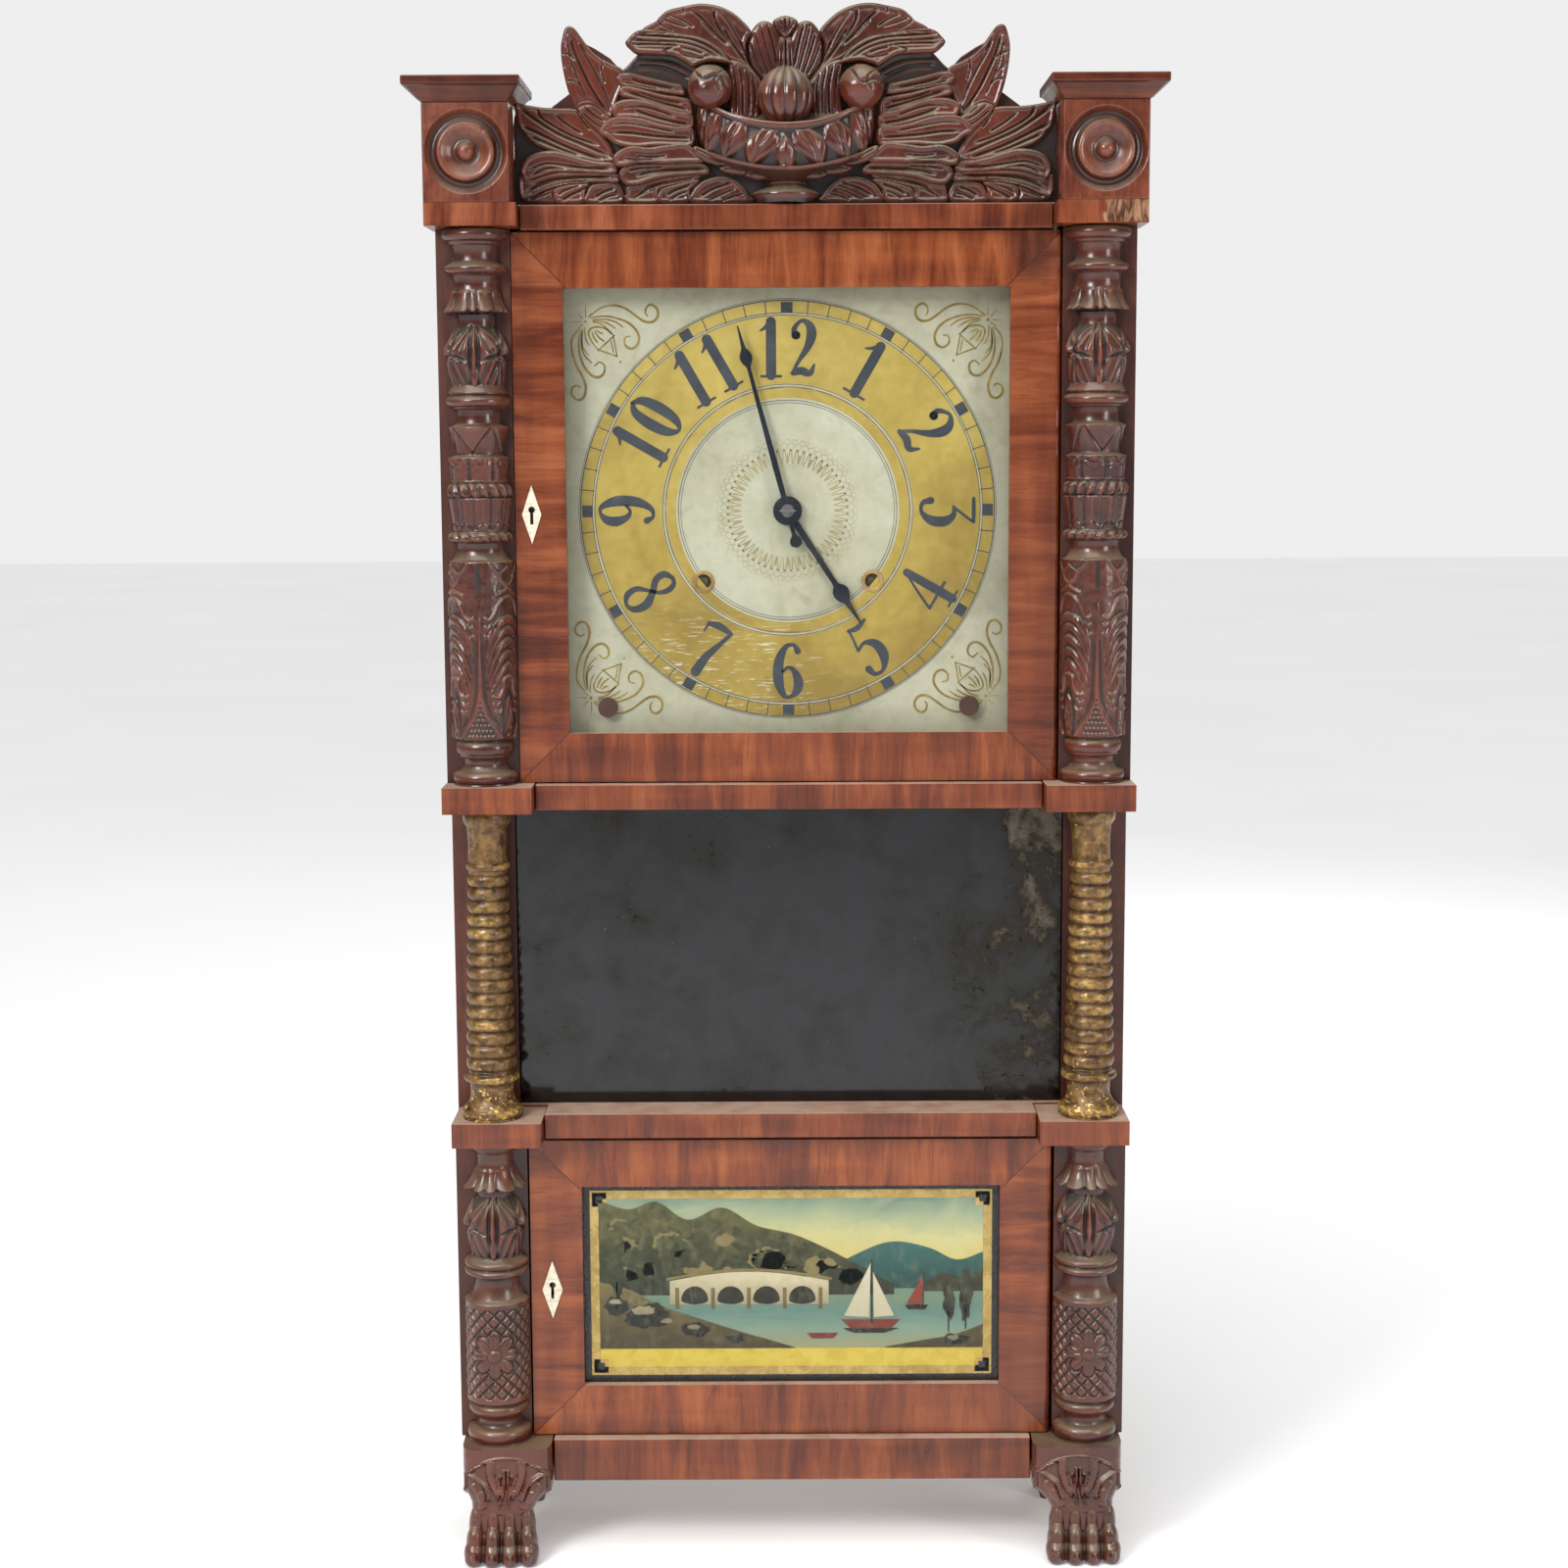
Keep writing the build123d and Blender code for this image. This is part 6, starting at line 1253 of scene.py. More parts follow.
# ------------------------------------------------------------------ carved feet
def foot(name, s):
    g = Geo()
    # acanthus knee: closed form of rounded rectangles that narrows to the ankle
    rows, cols = 150, 220
    zs = np.linspace(20.0, 76.2, rows)
    an = np.linspace(-math.pi, math.pi, cols + 1)[:-1]
    t = np.clip((zs - 33.0) / (47.0 - 33.0), 0, 1)
    tt = t ** 0.85
    hx = 18.2 + (28.3 - 18.2) * tt
    hy = 16.6 + (21.3 - 16.6) * tt
    cx = 185.8 + (182.0 - 185.8) * tt
    cy = -43.5 + (-42.5 + 43.5) * tt
    AN, Z = np.meshgrid(an, zs)
    e = 5.0
    c, sn = np.cos(AN), np.sin(AN)
    den = (np.abs(sn) ** e + np.abs(c) ** e) ** (1 / e)
    HX, HY = hx[:, None] / den, hy[:, None] / den
    U = sn * HX                                  # across, as placed
    W = c * HY
    front = np.clip(c * 1.3, 0, 1)
    a = sn * HX
    # relief in a, z on the front and on the outer side
    A = np.where(np.abs(AN) < math.pi * 0.30, a, np.sign(a) * (hx[:, None] + (hy[:, None] - W)))
    ab = np.abs(A)
    dR = np.zeros_like(Z)
    rel = np.full_like(Z, 0.48)
    sc = (76.2 - Z) / 34.0
    # leaf under an arched border: hollow in the middle, two lobes, curled side petals, ribbed stem
    arch = 70.4 - 0.0105 * np.clip(ab, 0, 40) ** 2 - 0.00022 * np.clip(ab, 0, 40) ** 3
    inner = np.clip((arch - Z) / 1.1, 0, 1) * np.clip((Z - 35.0) / 4.0, 0, 1)
    dR -= 1.7 * inner
    rel -= 0.10 * inner
    lip = np.exp(-((Z - arch - 0.5) / 0.75) ** 2)
    dR += 0.8 * lip
    rel += 0.34 * lip
    LS = [("h", 3.4, 2.2, [(0.0, 66.0)]), ("h", 2.6, 1.6, [(3.6, 67.2)]), ("h", 3.0, 2.0, [(20.5, 61.5)]), ("h", 2.4, 1.5, [(16.0, 64.0)]),
          ("r", 3.6, 2.3, [(9.8, 67.6), (10.2, 62.0), (8.4, 55.0), (5.2, 48.0)]), ("r", 1.0, 2.2, [(1.0, 62.0), (1.4, 54.0), (2.6, 38.0)]), ("r", 0.9, 1.9, [(4.0, 58.0), (4.6, 50.0), (5.4, 42.0)]),
          ("r", 1.4, 3.0, [(26.0, 60.6), (20.0, 57.6), (14.0, 52.4), (11.4, 45.6), (11.0, 42.0)]), ("r", 3.2, 2.7, [(20.0, 52.4), (17.2, 47.4), (14.4, 42.0), (13.4, 38.0)]),
          ("r", 1.1, 2.2, [(15.4, 66.4), (19.6, 64.6), (23.4, 61.0)]), ("g", 0.6, 1.3, [(7.6, 66.0), (7.4, 58.0), (5.0, 50.0)]), ("g", 0.7, 1.5, [(14.8, 52.0), (12.6, 46.0), (12.2, 40.0)]), ("g", 0.7, 1.4, [(24.0, 57.0), (20.0, 54.0), (16.6, 49.0)])]
    d0, r0 = apply_strokes(ab, Z, LS, np.zeros_like(Z), np.zeros_like(Z) + 0.40)
    inside = inner > 0.2
    dR = np.where(inside, dR + d0, dR)
    rel = np.where(inside, np.clip(rel * 0.3 + r0 * 0.75, 0, 1), rel)
    ring = np.exp(-((Z - 33.0) / 1.6) ** 2)
    dR += 0.9 * ring
    rel += 0.15 * ring
    top = np.clip((76.2 - Z) / 2.0, 0, 1)
    dR = dR * top * np.clip(np.where(np.abs(AN) > math.pi * 0.72, 0.0, 1.0) + 0.05, 0, 1)
    dR += 0.2 * fbm(A * 0.2, Z * 0.2, s, 6, 2)
    n = np.stack([sn / np.maximum(HX, 1), c / np.maximum(HY, 1)])
    X = s * (cx[:, None]) + (U + dR * sn)
    Y = cy[:, None] - (W + dR * c)
    Y = np.clip(Y, -66.5, -21.1)
    v = np.stack([X.ravel(), Y.ravel(), Z.ravel()], 1)
    f = grid_quads(rows, cols, wrap=True)
    f.append(tuple(range(cols))[::-1])
    f.append(tuple((rows - 1) * cols + k for k in range(cols)))
    g.add(v, f, np.clip(rel, 0, 1).ravel())
    knee = g.obj(name + "_knee", M_CARVED, "case", "carved_mahogany", ("front_feet",), auto=60)
    # paw: rounded pad with four toes and claws, joined by a voxel remesh
    parts = []
    cx0 = s * 185.8

    def ell(x, y, z, rx, ry, rz, rot=0.0):
        me = bpy.data.meshes.new("tmp")
        import bmesh
        bm = bmesh.new()
        bmesh.ops.create_uvsphere(bm, u_segments=32, v_segments=20, radius=1.0)
        for q in bm.verts:
            px, py, pz = q.co.x * rx, q.co.y * ry, q.co.z * rz
            cr, sr = math.cos(rot), math.sin(rot)
            py, pz = py * cr - pz * sr, py * sr + pz * cr
            q.co = Vector(((x + px) * MM, (y + py) * MM, (z + pz) * MM))
        bm.to_mesh(me)
        bm.free()
        parts.append(me)

    ell(cx0, -42.0, 11.0, 20.5, 19.5, 13.5)
    ell(cx0, -42.0, 22.0, 17.8, 16.5, 14.0)
    ell(cx0, -36.0, 7.0, 20.0, 15.0, 8.0)
    for k in range(4):
        u = k - 1.5
        tx = cx0 + u * 11.6
        fwd = 2.0 * (1 - abs(u) / 1.5)
        ell(cx0 + u * 10.6, -54.0 - fwd, 22.0, 5.6, 7.4, 15.0, 0.10)
        ell(cx0 + u * 11.2, -58.0 - fwd, 13.0, 6.1, 8.6, 12.0, 0.30)
        ell(tx, -61.5 - fwd, 7.6, 6.7, 8.6, 8.2, 0.25)
        ell(tx, -64.5 - fwd, 4.4, 6.0, 6.4, 5.0)
        ell(tx + 0.6, -69.0 - fwd, 6.2, 2.0, 3.2, 5.0, 0.55)
    bpy.ops.object.select_all(action="DESELECT")
    obs = []
    for me in parts:
        o = bpy.data.objects.new("tmp_part", me)
        scene.collection.objects.link(o)
        obs.append(o)
        o.select_set(True)
    bpy.context.view_layer.objects.active = obs[0]
    bpy.ops.object.join()
    o = bpy.context.view_layer.objects.active
    o.name = name + "_paw"
    r = o.modifiers.new("remesh", "REMESH")
    r.mode = "VOXEL"
    r.voxel_size = 0.0008
    sm = o.modifiers.new("smooth", "SMOOTH")
    sm.factor, sm.iterations = 0.5, 5
    dg = bpy.context.evaluated_depsgraph_get()
    me = bpy.data.meshes.new_from_object(o.evaluated_get(dg))
    o.modifiers.clear()
    old = o.data
    o.data = me
    co = np.zeros(len(me.vertices) * 3)
    me.vertices.foreach_get("co", co)
    co = co.reshape(-1, 3) / MM
    # flat underside, grooves between the toes and hair lines on the top
    lx = (co[:, 0] - cx0) / (10.2 + 1.4 * np.clip((24 - co[:, 2]) / 24, 0, 1)) + 2.0
    gap = np.exp(-(((lx % 1.0) - np.round(lx % 1.0)) / 0.11) ** 2) * (np.abs(co[:, 0] - cx0) < 17)
    frontness = np.clip((-49 - co[:, 1]) / 5, 0, 1)
    hair = np.cos(co[:, 0] * 2.2 + 0.5 * np.sin(co[:, 2] * 0.3)) * np.clip((co[:, 2] - 12) / 6, 0, 1) * np.clip((58 + co[:, 1]) / 8, 0, 1)
    co[:, 1] += 1.6 * gap * frontness
    co[:, 2] = np.where(co[:, 2] < 0.0, 0.0 + 0.02 * co[:, 2] * 0, co[:, 2])
    co[:, 2] = np.clip(co[:, 2] - 0.7 * gap * frontness * (co[:, 2] > 3), 0.0, None)
    co[:, 0] += 0.12 * hair
    co[:, 1] -= 0.25 * hair
    # painted shade: the relief value drops in the gaps between the toes and at the very bottom, by the floor
    rel = np.clip(0.50 - 0.40 * gap * frontness + 0.22 * hair + 0.12 * vnoise(co[:, 0] * 0.4, co[:, 1] * 0.4, co[:, 2] * 0.4, 7) - 0.25 * np.clip((2.5 - co[:, 2]) / 2.5, 0, 1), 0, 1)
    me.vertices.foreach_set("co", (co * MM).ravel())
    at = me.attributes.new("relief", "FLOAT", "POINT")
    at.data.foreach_set("value", rel.astype(np.float32))
    me.polygons.foreach_set("use_smooth", [True] * len(me.polygons))
    me.update()
    me.materials.clear()
    me.materials.append(M_CARVED)
    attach(o, "case")
    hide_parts("front_feet")


foot("left_foot", -1)
foot("right_foot", 1)


# ------------------------------------------------------------------ dial painting
def paint(name, stops, rough=(0.35, 0.55), metallic=0.0, scale=(90, 90, 90), coat=0.1):
    return plain(name, stops, rough, scale, metallic, 0.0001, (500, 500, 500), coat)


M_SLATE = paint("dial_slate", [(0.3, (0.020, 0.026, 0.036)), (0.6, (0.040, 0.048, 0.060)), (0.8, (0.10, 0.11, 0.11))])
M_GOLDP = paint("dial_gold", [(0.3, (0.26, 0.155, 0.035)), (0.5, (0.46, 0.30, 0.08)), (0.7, (0.66, 0.47, 0.17))], (0.28, 0.5), 0.55)
M_GOLDL = paint("dial_gold_line", [(0.3, (0.13, 0.090, 0.020)), (0.5, (0.27, 0.190, 0.045)), (0.7, (0.46, 0.34, 0.09))], (0.32, 0.5), 0.2)
M_DOTS = paint("dial_dot", [(0.3, (0.12, 0.09, 0.04)), (0.7, (0.24, 0.18, 0.08))])


def band_material():
    # matt gold leaf with scratches low on the left
    m = Mat("dial_gold_band")
    x, y, z = m.xyz()
    n = m.noise((14, 14, 14), 4, 0.6)
    f = m.noise((160, 160, 160), 4, 0.4)
    # painted light: the gold is painted lighter towards the top of the band
    t = m.math("ADD", m.math("MULTIPLY", n, 0.5), m.math("ADD", m.math("MULTIPLY", f, 0.2), m.step(z, 0.55, 0.79, (0.04, 0.26))))
    c = m.ramp(t, [(0.36, (0.290, 0.195, 0.030)), (0.50, (0.430, 0.315, 0.058)), (0.68, (0.580, 0.455, 0.115))])
    streak = m.noise((90, 90, 900), 3, 0.3, 0.6, rot=(0, 0.12, 0))
    low = m.math("MULTIPLY", m.step(z, 0.615, 0.575), m.step(m.math("ABSOLUTE", m.math("ADD", x, 0.045)), 0.075, 0.035))
    c = m.mix(m.math("MULTIPLY", m.step(streak, 0.60, 0.66), low), c, (0.66, 0.66, 0.52))
    m.link(c, "Base Color")
    m.link(m.step(f, 0.3, 0.7, (0.36, 0.52)), "Roughness")
    m.link(m.bump(f, 0.0002, 0.3), "Normal")
    m.set(Metallic=0.15, Coat_Weight=0.1, Coat_Roughness=0.3)
    return m.m


M_BAND = band_material()
CZ = 667.6
YD = -19.0

gold = Geo()
for cxs in (-1, 1):
    for czs in (-1, 1):
        def S(pts):
            gold.stroke([(cxs * x, CZ + czs * z, w) for x, z, w in pts], YD, YD - 0.10)
        def L(pts, w=0.55):
            # a line in the corner, given from the corner of the dial inwards
            n = len(pts)
            S([(135 - 0.04888 * u, 135.6 - 0.04888 * q, w * (0.55 + 0.75 * math.sin(math.pi * (i + 0.4) / n))) for i, (u, q) in enumerate(pts)])
        L([(280, 330), (420, 230), (590, 195), (740, 240), (880, 340), (980, 400), (1080, 400), (1140, 330), (1130, 240), (1060, 190), (1000, 220), (985, 290), (1010, 330)], 0.65)
        L([(290, 350), (450, 330), (600, 350), (760, 410), (860, 500), (900, 600), (870, 700), (790, 735), (720, 680), (725, 600), (790, 580)], 0.62)
        L([(320, 372), (480, 370), (600, 400), (700, 465)], 0.42)
        L([(330, 388), (450, 400), (540, 440), (600, 480)], 0.40)
        L([(320, 400), (430, 430), (490, 480), (550, 550)], 0.40)
        L([(150, 480), (60, 600), (50, 750), (100, 930), (180, 1080), (220, 1220), (190, 1340), (110, 1370), (40, 1300), (50, 1220), (110, 1190), (150, 1215)], 0.65)
        L([(170, 500), (140, 640), (150, 800), (200, 950), (290, 1060), (380, 1090), (450, 1040), (460, 950), (400, 900), (335, 950)], 0.62)
        L([(190, 500), (178, 620), (190, 720), (255, 810)], 0.42)
        L([(182, 540), (172, 700), (215, 820), (300, 910)], 0.40)
        L([(215, 470), (225, 590), (245, 650), (270, 690)], 0.40)
        L([(385, 750), (300, 640), (265, 540), (300, 480), (380, 462), (470, 482), (540, 530), (585, 575)], 0.5)
        S([(135 - 0.04888 * u, 135.6 - 0.04888 * q, 0.5) for u, q in ((590, 570), (380, 758))])
        S([(135 - 0.04888 * u, 135.6 - 0.04888 * q, 0.45) for u, q in ((400, 752), (625, 832))])
        S([(135 - 0.04888 * u, 135.6 - 0.04888 * q, 0.45) for u, q in ((620, 830), (578, 590))])
        S([(135 - 0.04888 * u, 135.6 - 0.04888 * q, 0.40) for u, q in ((548, 640), (575, 780))])
        L([(310, 530), (335, 600), (375, 655)], 0.5)
        L([(345, 520), (390, 590), (455, 640)], 0.5)
        L([(370, 508), (410, 535), (445, 545)], 0.45)
        for q0, q1 in (((232, 340), (232, 180)), ((170, 395), (60, 400)), ((190, 350), (120, 280)), ((265, 345), (300, 290)), ((190, 430), (130, 470))):
            S([(135 - 0.04888 * q0[0], 135.6 - 0.04888 * q0[1], 0.35), (135 - 0.04888 * q1[0], 135.6 - 0.04888 * q1[1], 0.15)])
        for u, q, r in ((228, 395, 1.0), (662, 900, 0.8)):
            gold.prism([(cxs * (135 - 0.04888 * u) + r * math.cos(t), CZ + czs * (135.6 - 0.04888 * q) + r * math.sin(t)) for t in [2 * math.pi * i / 14 for i in range(14)]], YD, YD - 0.10)
# ring of fine petals, dots and loops in the middle
NP = 56
for k in range(NP):
    a = 2 * math.pi * k / NP
    ca, sa = math.cos(a), math.sin(a)
    for sg in (-1, 1):
        pts = [(29.0, sg * 0.30, 0.13), (32.0, sg * 0.75, 0.20), (35.0, sg * 1.25, 0.22), (37.4, sg * 1.45, 0.18)]
        gold.stroke([(r * sa + b2 * ca, CZ + r * ca - b2 * sa, w) for r, b2, w in pts], YD, YD - 0.06, n=3)
    if k % 2 == 0:
        gold.stroke([(30.0 * sa, CZ + 30.0 * ca, 0.12), (34.5 * sa, CZ + 34.5 * ca, 0.34)], YD, YD - 0.06)
    for rr, off, r2 in ((39.6, 0.5, 1.75), (42.2, 0.0, 1.6)):
        b3 = 2 * math.pi * (k + off) / NP
        gold.annulus(rr * math.sin(b3), CZ + rr * math.cos(b3), r2, r2 + 0.17, YD, YD - 0.05 - 0.01 * (k % 2), 16)
gold.annulus(0, CZ, 75.4, 76.4, YD, YD - 0.10, 160, wob=0.15)
gold.obj("dial_gilding", M_GOLDL, "case", "dial_paint", smooth=False)
band = Geo()
band.annulus(0, CZ, 78.0, 119.6, YD, YD - 0.045, 220, wob=0.15)
band.annulus(0, CZ, 121.2, 128.2, YD, YD - 0.045, 220, wob=0.1)
band.annulus(0, CZ, 69.3, 75.2, YD, YD - 0.045, 200, wob=0.2)
band.obj("dial_gold_bands", M_BAND, "case", "dial_paint", smooth=False)
dots = Geo()
for k in range(NP):
    a = 2 * math.pi * (k + 0.5) / NP
    dots.prism([(37.2 * math.sin(a) + 0.62 * math.cos(t), CZ + 37.2 * math.cos(a) + 0.62 * math.sin(t)) for t in [2 * math.pi * i / 10 for i in range(10)]], YD, YD - 0.09)
dots.obj("dial_dots", M_DOTS, "case", "dial_paint", smooth=False)

ink = Geo()
for ra, rb in ((128.3, 128.9), (129.5, 129.8), (120.9, 121.3), (119.5, 119.9), (67.7, 68.1), (66.2, 66.5), (77.4, 77.8)):
    ink.annulus(0, CZ, ra, rb, YD, YD - 0.12, 200, wob=0.1)
for k in range(60):
    a = math.radians(6 * k)
    if k % 5 == 0:
        w = 3.6
        c, s_ = math.cos(a), math.sin(a)
        r0, r1 = 121.2, 127.6
        q = [(r0, -w), (r1, -w), (r1, w), (r0, w)]
        ink.prism([(r * s_ + b2 * c, CZ + r * c - b2 * s_) for r, b2 in q], YD, YD - 0.14)
    else:
        ink.stroke([(120.6 * math.sin(a), CZ + 120.6 * math.cos(a), 0.28), (128.2 * math.sin(a), CZ + 128.2 * math.cos(a), 0.28)], YD, YD - 0.12)

DIGITS = {
    "0": [[(.25, .97, .03), (.12, .82, .075), (.08, .5, .095), (.12, .18, .075), (.25, .03, .03), (.38, .18, .075), (.42, .5, .095), (.38, .82, .075), (.25, .97, .03)]],
    "1": [[(.25, .04, .088), (.25, .5, .088), (.25, .95, .088)], [(.06, .80, .018), (.14, .85, .03), (.24, .95, .05)], [(.07, .02, .022), (.43, .02, .022)]],
    "2": [[(.11, .72, .06), (.10, .84, .045), (.24, .97, .032), (.38, .88, .07), (.41, .72, .088), (.33, .5, .062), (.17, .27, .034), (.07, .08, .03)], [(.07, .07, .045), (.22, .11, .07), (.38, .07, .055), (.46, .22, .018)], [(.12, .72, .075), (.13, .72, .075)]],
    "3": [[(.07, .95, .03), (.25, .95, .036), (.44, .95, .03)], [(.44, .94, .024), (.34, .79, .024), (.22, .62, .024)], [(.20, .60, .026), (.33, .60, .05), (.43, .44, .088), (.41, .20, .08), (.28, .04, .034), (.14, .06, .04), (.10, .2, .062)]],
    "4": [[(.34, .03, .08), (.34, .5, .08), (.34, .95, .07)], [(.33, .96, .02), (.18, .65, .022), (.03, .30, .024)], [(.03, .29, .026), (.50, .29, .026)], [(.20, .02, .02), (.48, .02, .02)]],
    "5": [[(.12, .94, .03), (.26, .91, .05), (.43, .97, .03)], [(.13, .94, .022), (.12, .75, .022), (.10, .56, .022)], [(.10, .55, .025), (.25, .62, .035), (.40, .50, .08), (.42, .26, .088), (.30, .05, .035), (.15, .05, .04), (.10, .18, .065)]],
    "6": [[(.40, .84, .06), (.33, .95, .03), (.20, .90, .05), (.10, .65, .085), (.09, .32, .09), (.17, .07, .05), (.27, .03, .03), (.38, .13, .07), (.41, .30, .085), (.35, .48, .055), (.25, .55, .03), (.15, .47, .026)]],
    "7": [[(.05, .90, .04), (.22, .95, .065), (.44, .93, .035)], [(.44, .92, .03), (.36, .66, .045), (.27, .36, .072), (.24, .05, .09)], [(.05, .93, .02), (.04, .76, .02)]],
    "8": [[(.25, .97, .032), (.13, .87, .062), (.14, .70, .058), (.28, .54, .06), (.40, .34, .075), (.38, .12, .06), (.25, .03, .032), (.12, .13, .055), (.11, .32, .05), (.22, .48, .034), (.34, .63, .036), (.38, .80, .05), (.34, .93, .04), (.25, .97, .032)]],
}
DIGITS["9"] = [[(.5 - x, 1 - y, w) for x, y, w in st] for st in DIGITS["6"]]


def numeral(geo, text, ang, r0, r1, inward):
    h = r1 - r0
    wd = h * (0.64 if len(text) == 1 else 0.55)
    tot = wd * len(text) - wd * 0.10
    a = math.radians(ang)
    for i, ch in enumerate(text):
        for q, st in enumerate(DIGITS[ch]):
            pts = []
            for x, y, w in st:
                lx = (i * wd + x / 0.5 * wd * 0.86) - tot / 2 + wd * 0.02
                ly = y * h
                if inward:
                    lx, rr = -lx, r1 - ly
                else:
                    rr = r0 + ly
                X = rr * math.sin(a) + lx * math.cos(a)
                Z = CZ + rr * math.cos(a) - lx * math.sin(a)
                pts.append((X, Z, w * h))
            geo.stroke(pts, YD, YD - 0.13 - 0.02 * q, n=6)


for k in range(1, 13):
    numeral(ink, str(k), 30 * k, 81.8, 117.4, k in (4, 5, 6, 7, 8))
ink.obj("dial_numerals", M_SLATE, "case", "dial_paint", smooth=False)


# ------------------------------------------------------------------ painted glass of the lower door: a lake with a sail boat, own design
M_BLACKP = paint("tablet_black", [(0.3, (0.006, 0.006, 0.006)), (0.7, (0.018, 0.016, 0.014))], (0.2, 0.35), coat=0.05)
M_GOLDB = paint("tablet_gold", [(0.3, (0.32, 0.20, 0.045)), (0.5, (0.52, 0.36, 0.10)), (0.7, (0.70, 0.52, 0.20))], (0.2, 0.35), 0.4, coat=0.1)
M_YELLOW = paint("tablet_yellow", [(0.3, (0.50, 0.35, 0.03)), (0.5, (0.62, 0.46, 0.045)), (0.7, (0.68, 0.53, 0.08))], (0.2, 0.35), coat=0.1)


def scape(name, stops, axis_z, z0, z1, mott=0.35, scale=(60, 60, 60)):
    # painterly colour that runs from the bottom to the top of its shape
    m = Mat(name)
    x, y, z = m.xyz()
    n = m.noise(scale, 5, 1.2)
    f = m.noise((260, 260, 140), 4, 0.6)
    t = m.math("ADD", m.step(z, z0, z1), m.math("MULTIPLY", m.math("SUBTRACT", n, 0.5), mott))
    c = m.ramp(t, stops)
    c = m.mix(m.step(f, 0.5, 0.75, (0.0, 0.22)), c, (0.30, 0.30, 0.20))
    m.link(c, "Base Color")
    m.link(m.step(n, 0.3, 0.7, (0.10, 0.22)), "Roughness")
    m.link(m.bump(f, 0.0001, 0.3), "Normal")
    m.set(Coat_Weight=0.12, Coat_Roughness=0.08, Specular_IOR_Level=0.3)
    return m.m


M_SKY = scape("tablet_sky", [(0.0, (0.62, 0.50, 0.16)), (0.35, (0.58, 0.55, 0.25)), (0.7, (0.33, 0.40, 0.25)), (1.0, (0.17, 0.25, 0.19))], True, 0.190, 0.236, 0.6, (26, 26, 45))
M_WATER = scape("tablet_water", [(0.0, (0.30, 0.30, 0.15)), (0.35, (0.20, 0.30, 0.22)), (0.7, (0.115, 0.215, 0.175)), (1.0, (0.16, 0.24, 0.15))], True, 0.133, 0.166, 0.5, (14, 14, 160))
M_HILL = scape("tablet_hill", [(0.0, (0.012, 0.055, 0.048)), (0.6, (0.030, 0.115, 0.100)), (1.0, (0.075, 0.175, 0.140))], True, 0.175, 0.215, 0.6)
M_BANK = scape("tablet_bank", [(0.0, (0.050, 0.036, 0.012)), (0.5, (0.115, 0.085, 0.028)), (1.0, (0.215, 0.170, 0.058))], True, 0.133, 0.18, 1.0, (95, 95, 140))
M_TREE = scape("tablet_tree", [(0.0, (0.010, 0.011, 0.005)), (0.5, (0.040, 0.042, 0.013)), (1.0, (0.125, 0.115, 0.036))], True, 0.15, 0.235, 1.3, (150, 150, 150))
M_STONE = scape("tablet_stone", [(0.0, (0.20, 0.16, 0.09)), (0.6, (0.42, 0.36, 0.22)), (1.0, (0.60, 0.53, 0.34))], True, 0.15, 0.18, 0.5, (180, 180, 180))
M_SAIL = scape("tablet_sail", [(0.0, (0.55, 0.49, 0.33)), (1.0, (0.70, 0.65, 0.47))], True, 0.16, 0.2, 0.3)
M_RED = scape("tablet_red", [(0.0, (0.16, 0.022, 0.012)), (1.0, (0.32, 0.050, 0.022))], True, 0.14, 0.2, 0.6)
M_DARKP = scape("tablet_dark", [(0.0, (0.008, 0.007, 0.004)), (1.0, (0.030, 0.024, 0.010))], True, 0.14, 0.2, 0.6)
TY = -32.0


def layer(name, shapes, k, mat):
    g = Geo()
    for sh in shapes:
        g.prism([tuple(p) for p in sh], TY + 0.9, TY - 0.05 * k)
    return g.obj(name, mat, "lower_door", "painted_glass", ("lower_door_tablet",), smooth=False)


def rect(x0, x1, z0, z1):
    return [(x0, z0), (x1, z0), (x1, z1), (x0, z1)]


def frame_shapes(x1, z0, z1, w):
    return [rect(-x1, x1, z1 - w, z1), rect(-x1, x1, z0, z0 + w), rect(-x1, -x1 + w, z0 + w, z1 - w), rect(x1 - w, x1, z0 + w, z1 - w)]


def hill(x0, x1, zb, pts):
    top = smooth_line(pts, n=8)
    return [(x0, zb)] + [tuple(p) for p in top] + [(x1, zb)]


IX, IZ0, IZ1 = 123.0, 119.5, 231.0
layer("tablet_ground", [rect(-136.0, 136.0, 106.6, 243.9)], 0, M_BLACKP)
layer("tablet_gold_line", frame_shapes(128.6, 114.0, 236.5, 5.5) + [rect(s1 * 122.6 - 4.6, s1 * 122.6 + 4.6, zz - 4.6, zz + 4.6) for s1 in (-1, 1) for zz in (120.0, 230.5)], 3, M_GOLDB)
layer("tablet_corner_squares", [rect(s1 * 122.6 - 2.2, s1 * 122.6 + 2.2, zz - 2.2, zz + 2.2) for s1 in (-1, 1) for zz in (120.0, 230.5)], 4, M_BLACKP)
layer("tablet_lower_band", [rect(-IX, IX, IZ0, 131.5)], 1, M_YELLOW)
layer("tablet_sky", [rect(-IX, IX, 131.5, IZ1)], 1, M_SKY)
layer("tablet_far_hills", [hill(14.0, IX, 168.0, [(14, 178), (40, 193), (64, 202), (88, 198), (106, 190), (123, 195)])], 2, M_HILL)
layer("tablet_lake", [rect(-IX, IX, 131.5, 171.0)], 3, M_WATER)


def blobby(cx, cz, rx, rz, seed, n=44, amp=0.20):
    an = np.linspace(0, 2 * math.pi, n + 1)[:-1]
    r = 1 + amp * vnoise(np.cos(an) * 2 + seed, np.sin(an) * 2, seed, seed) + amp * 0.8 * vnoise(np.cos(an) * 7, np.sin(an) * 7 + seed, 0, seed + 3)
    return [(cx + rx * q * math.cos(t), cz + rz * q * math.sin(t)) for q, t in zip(r, an)]


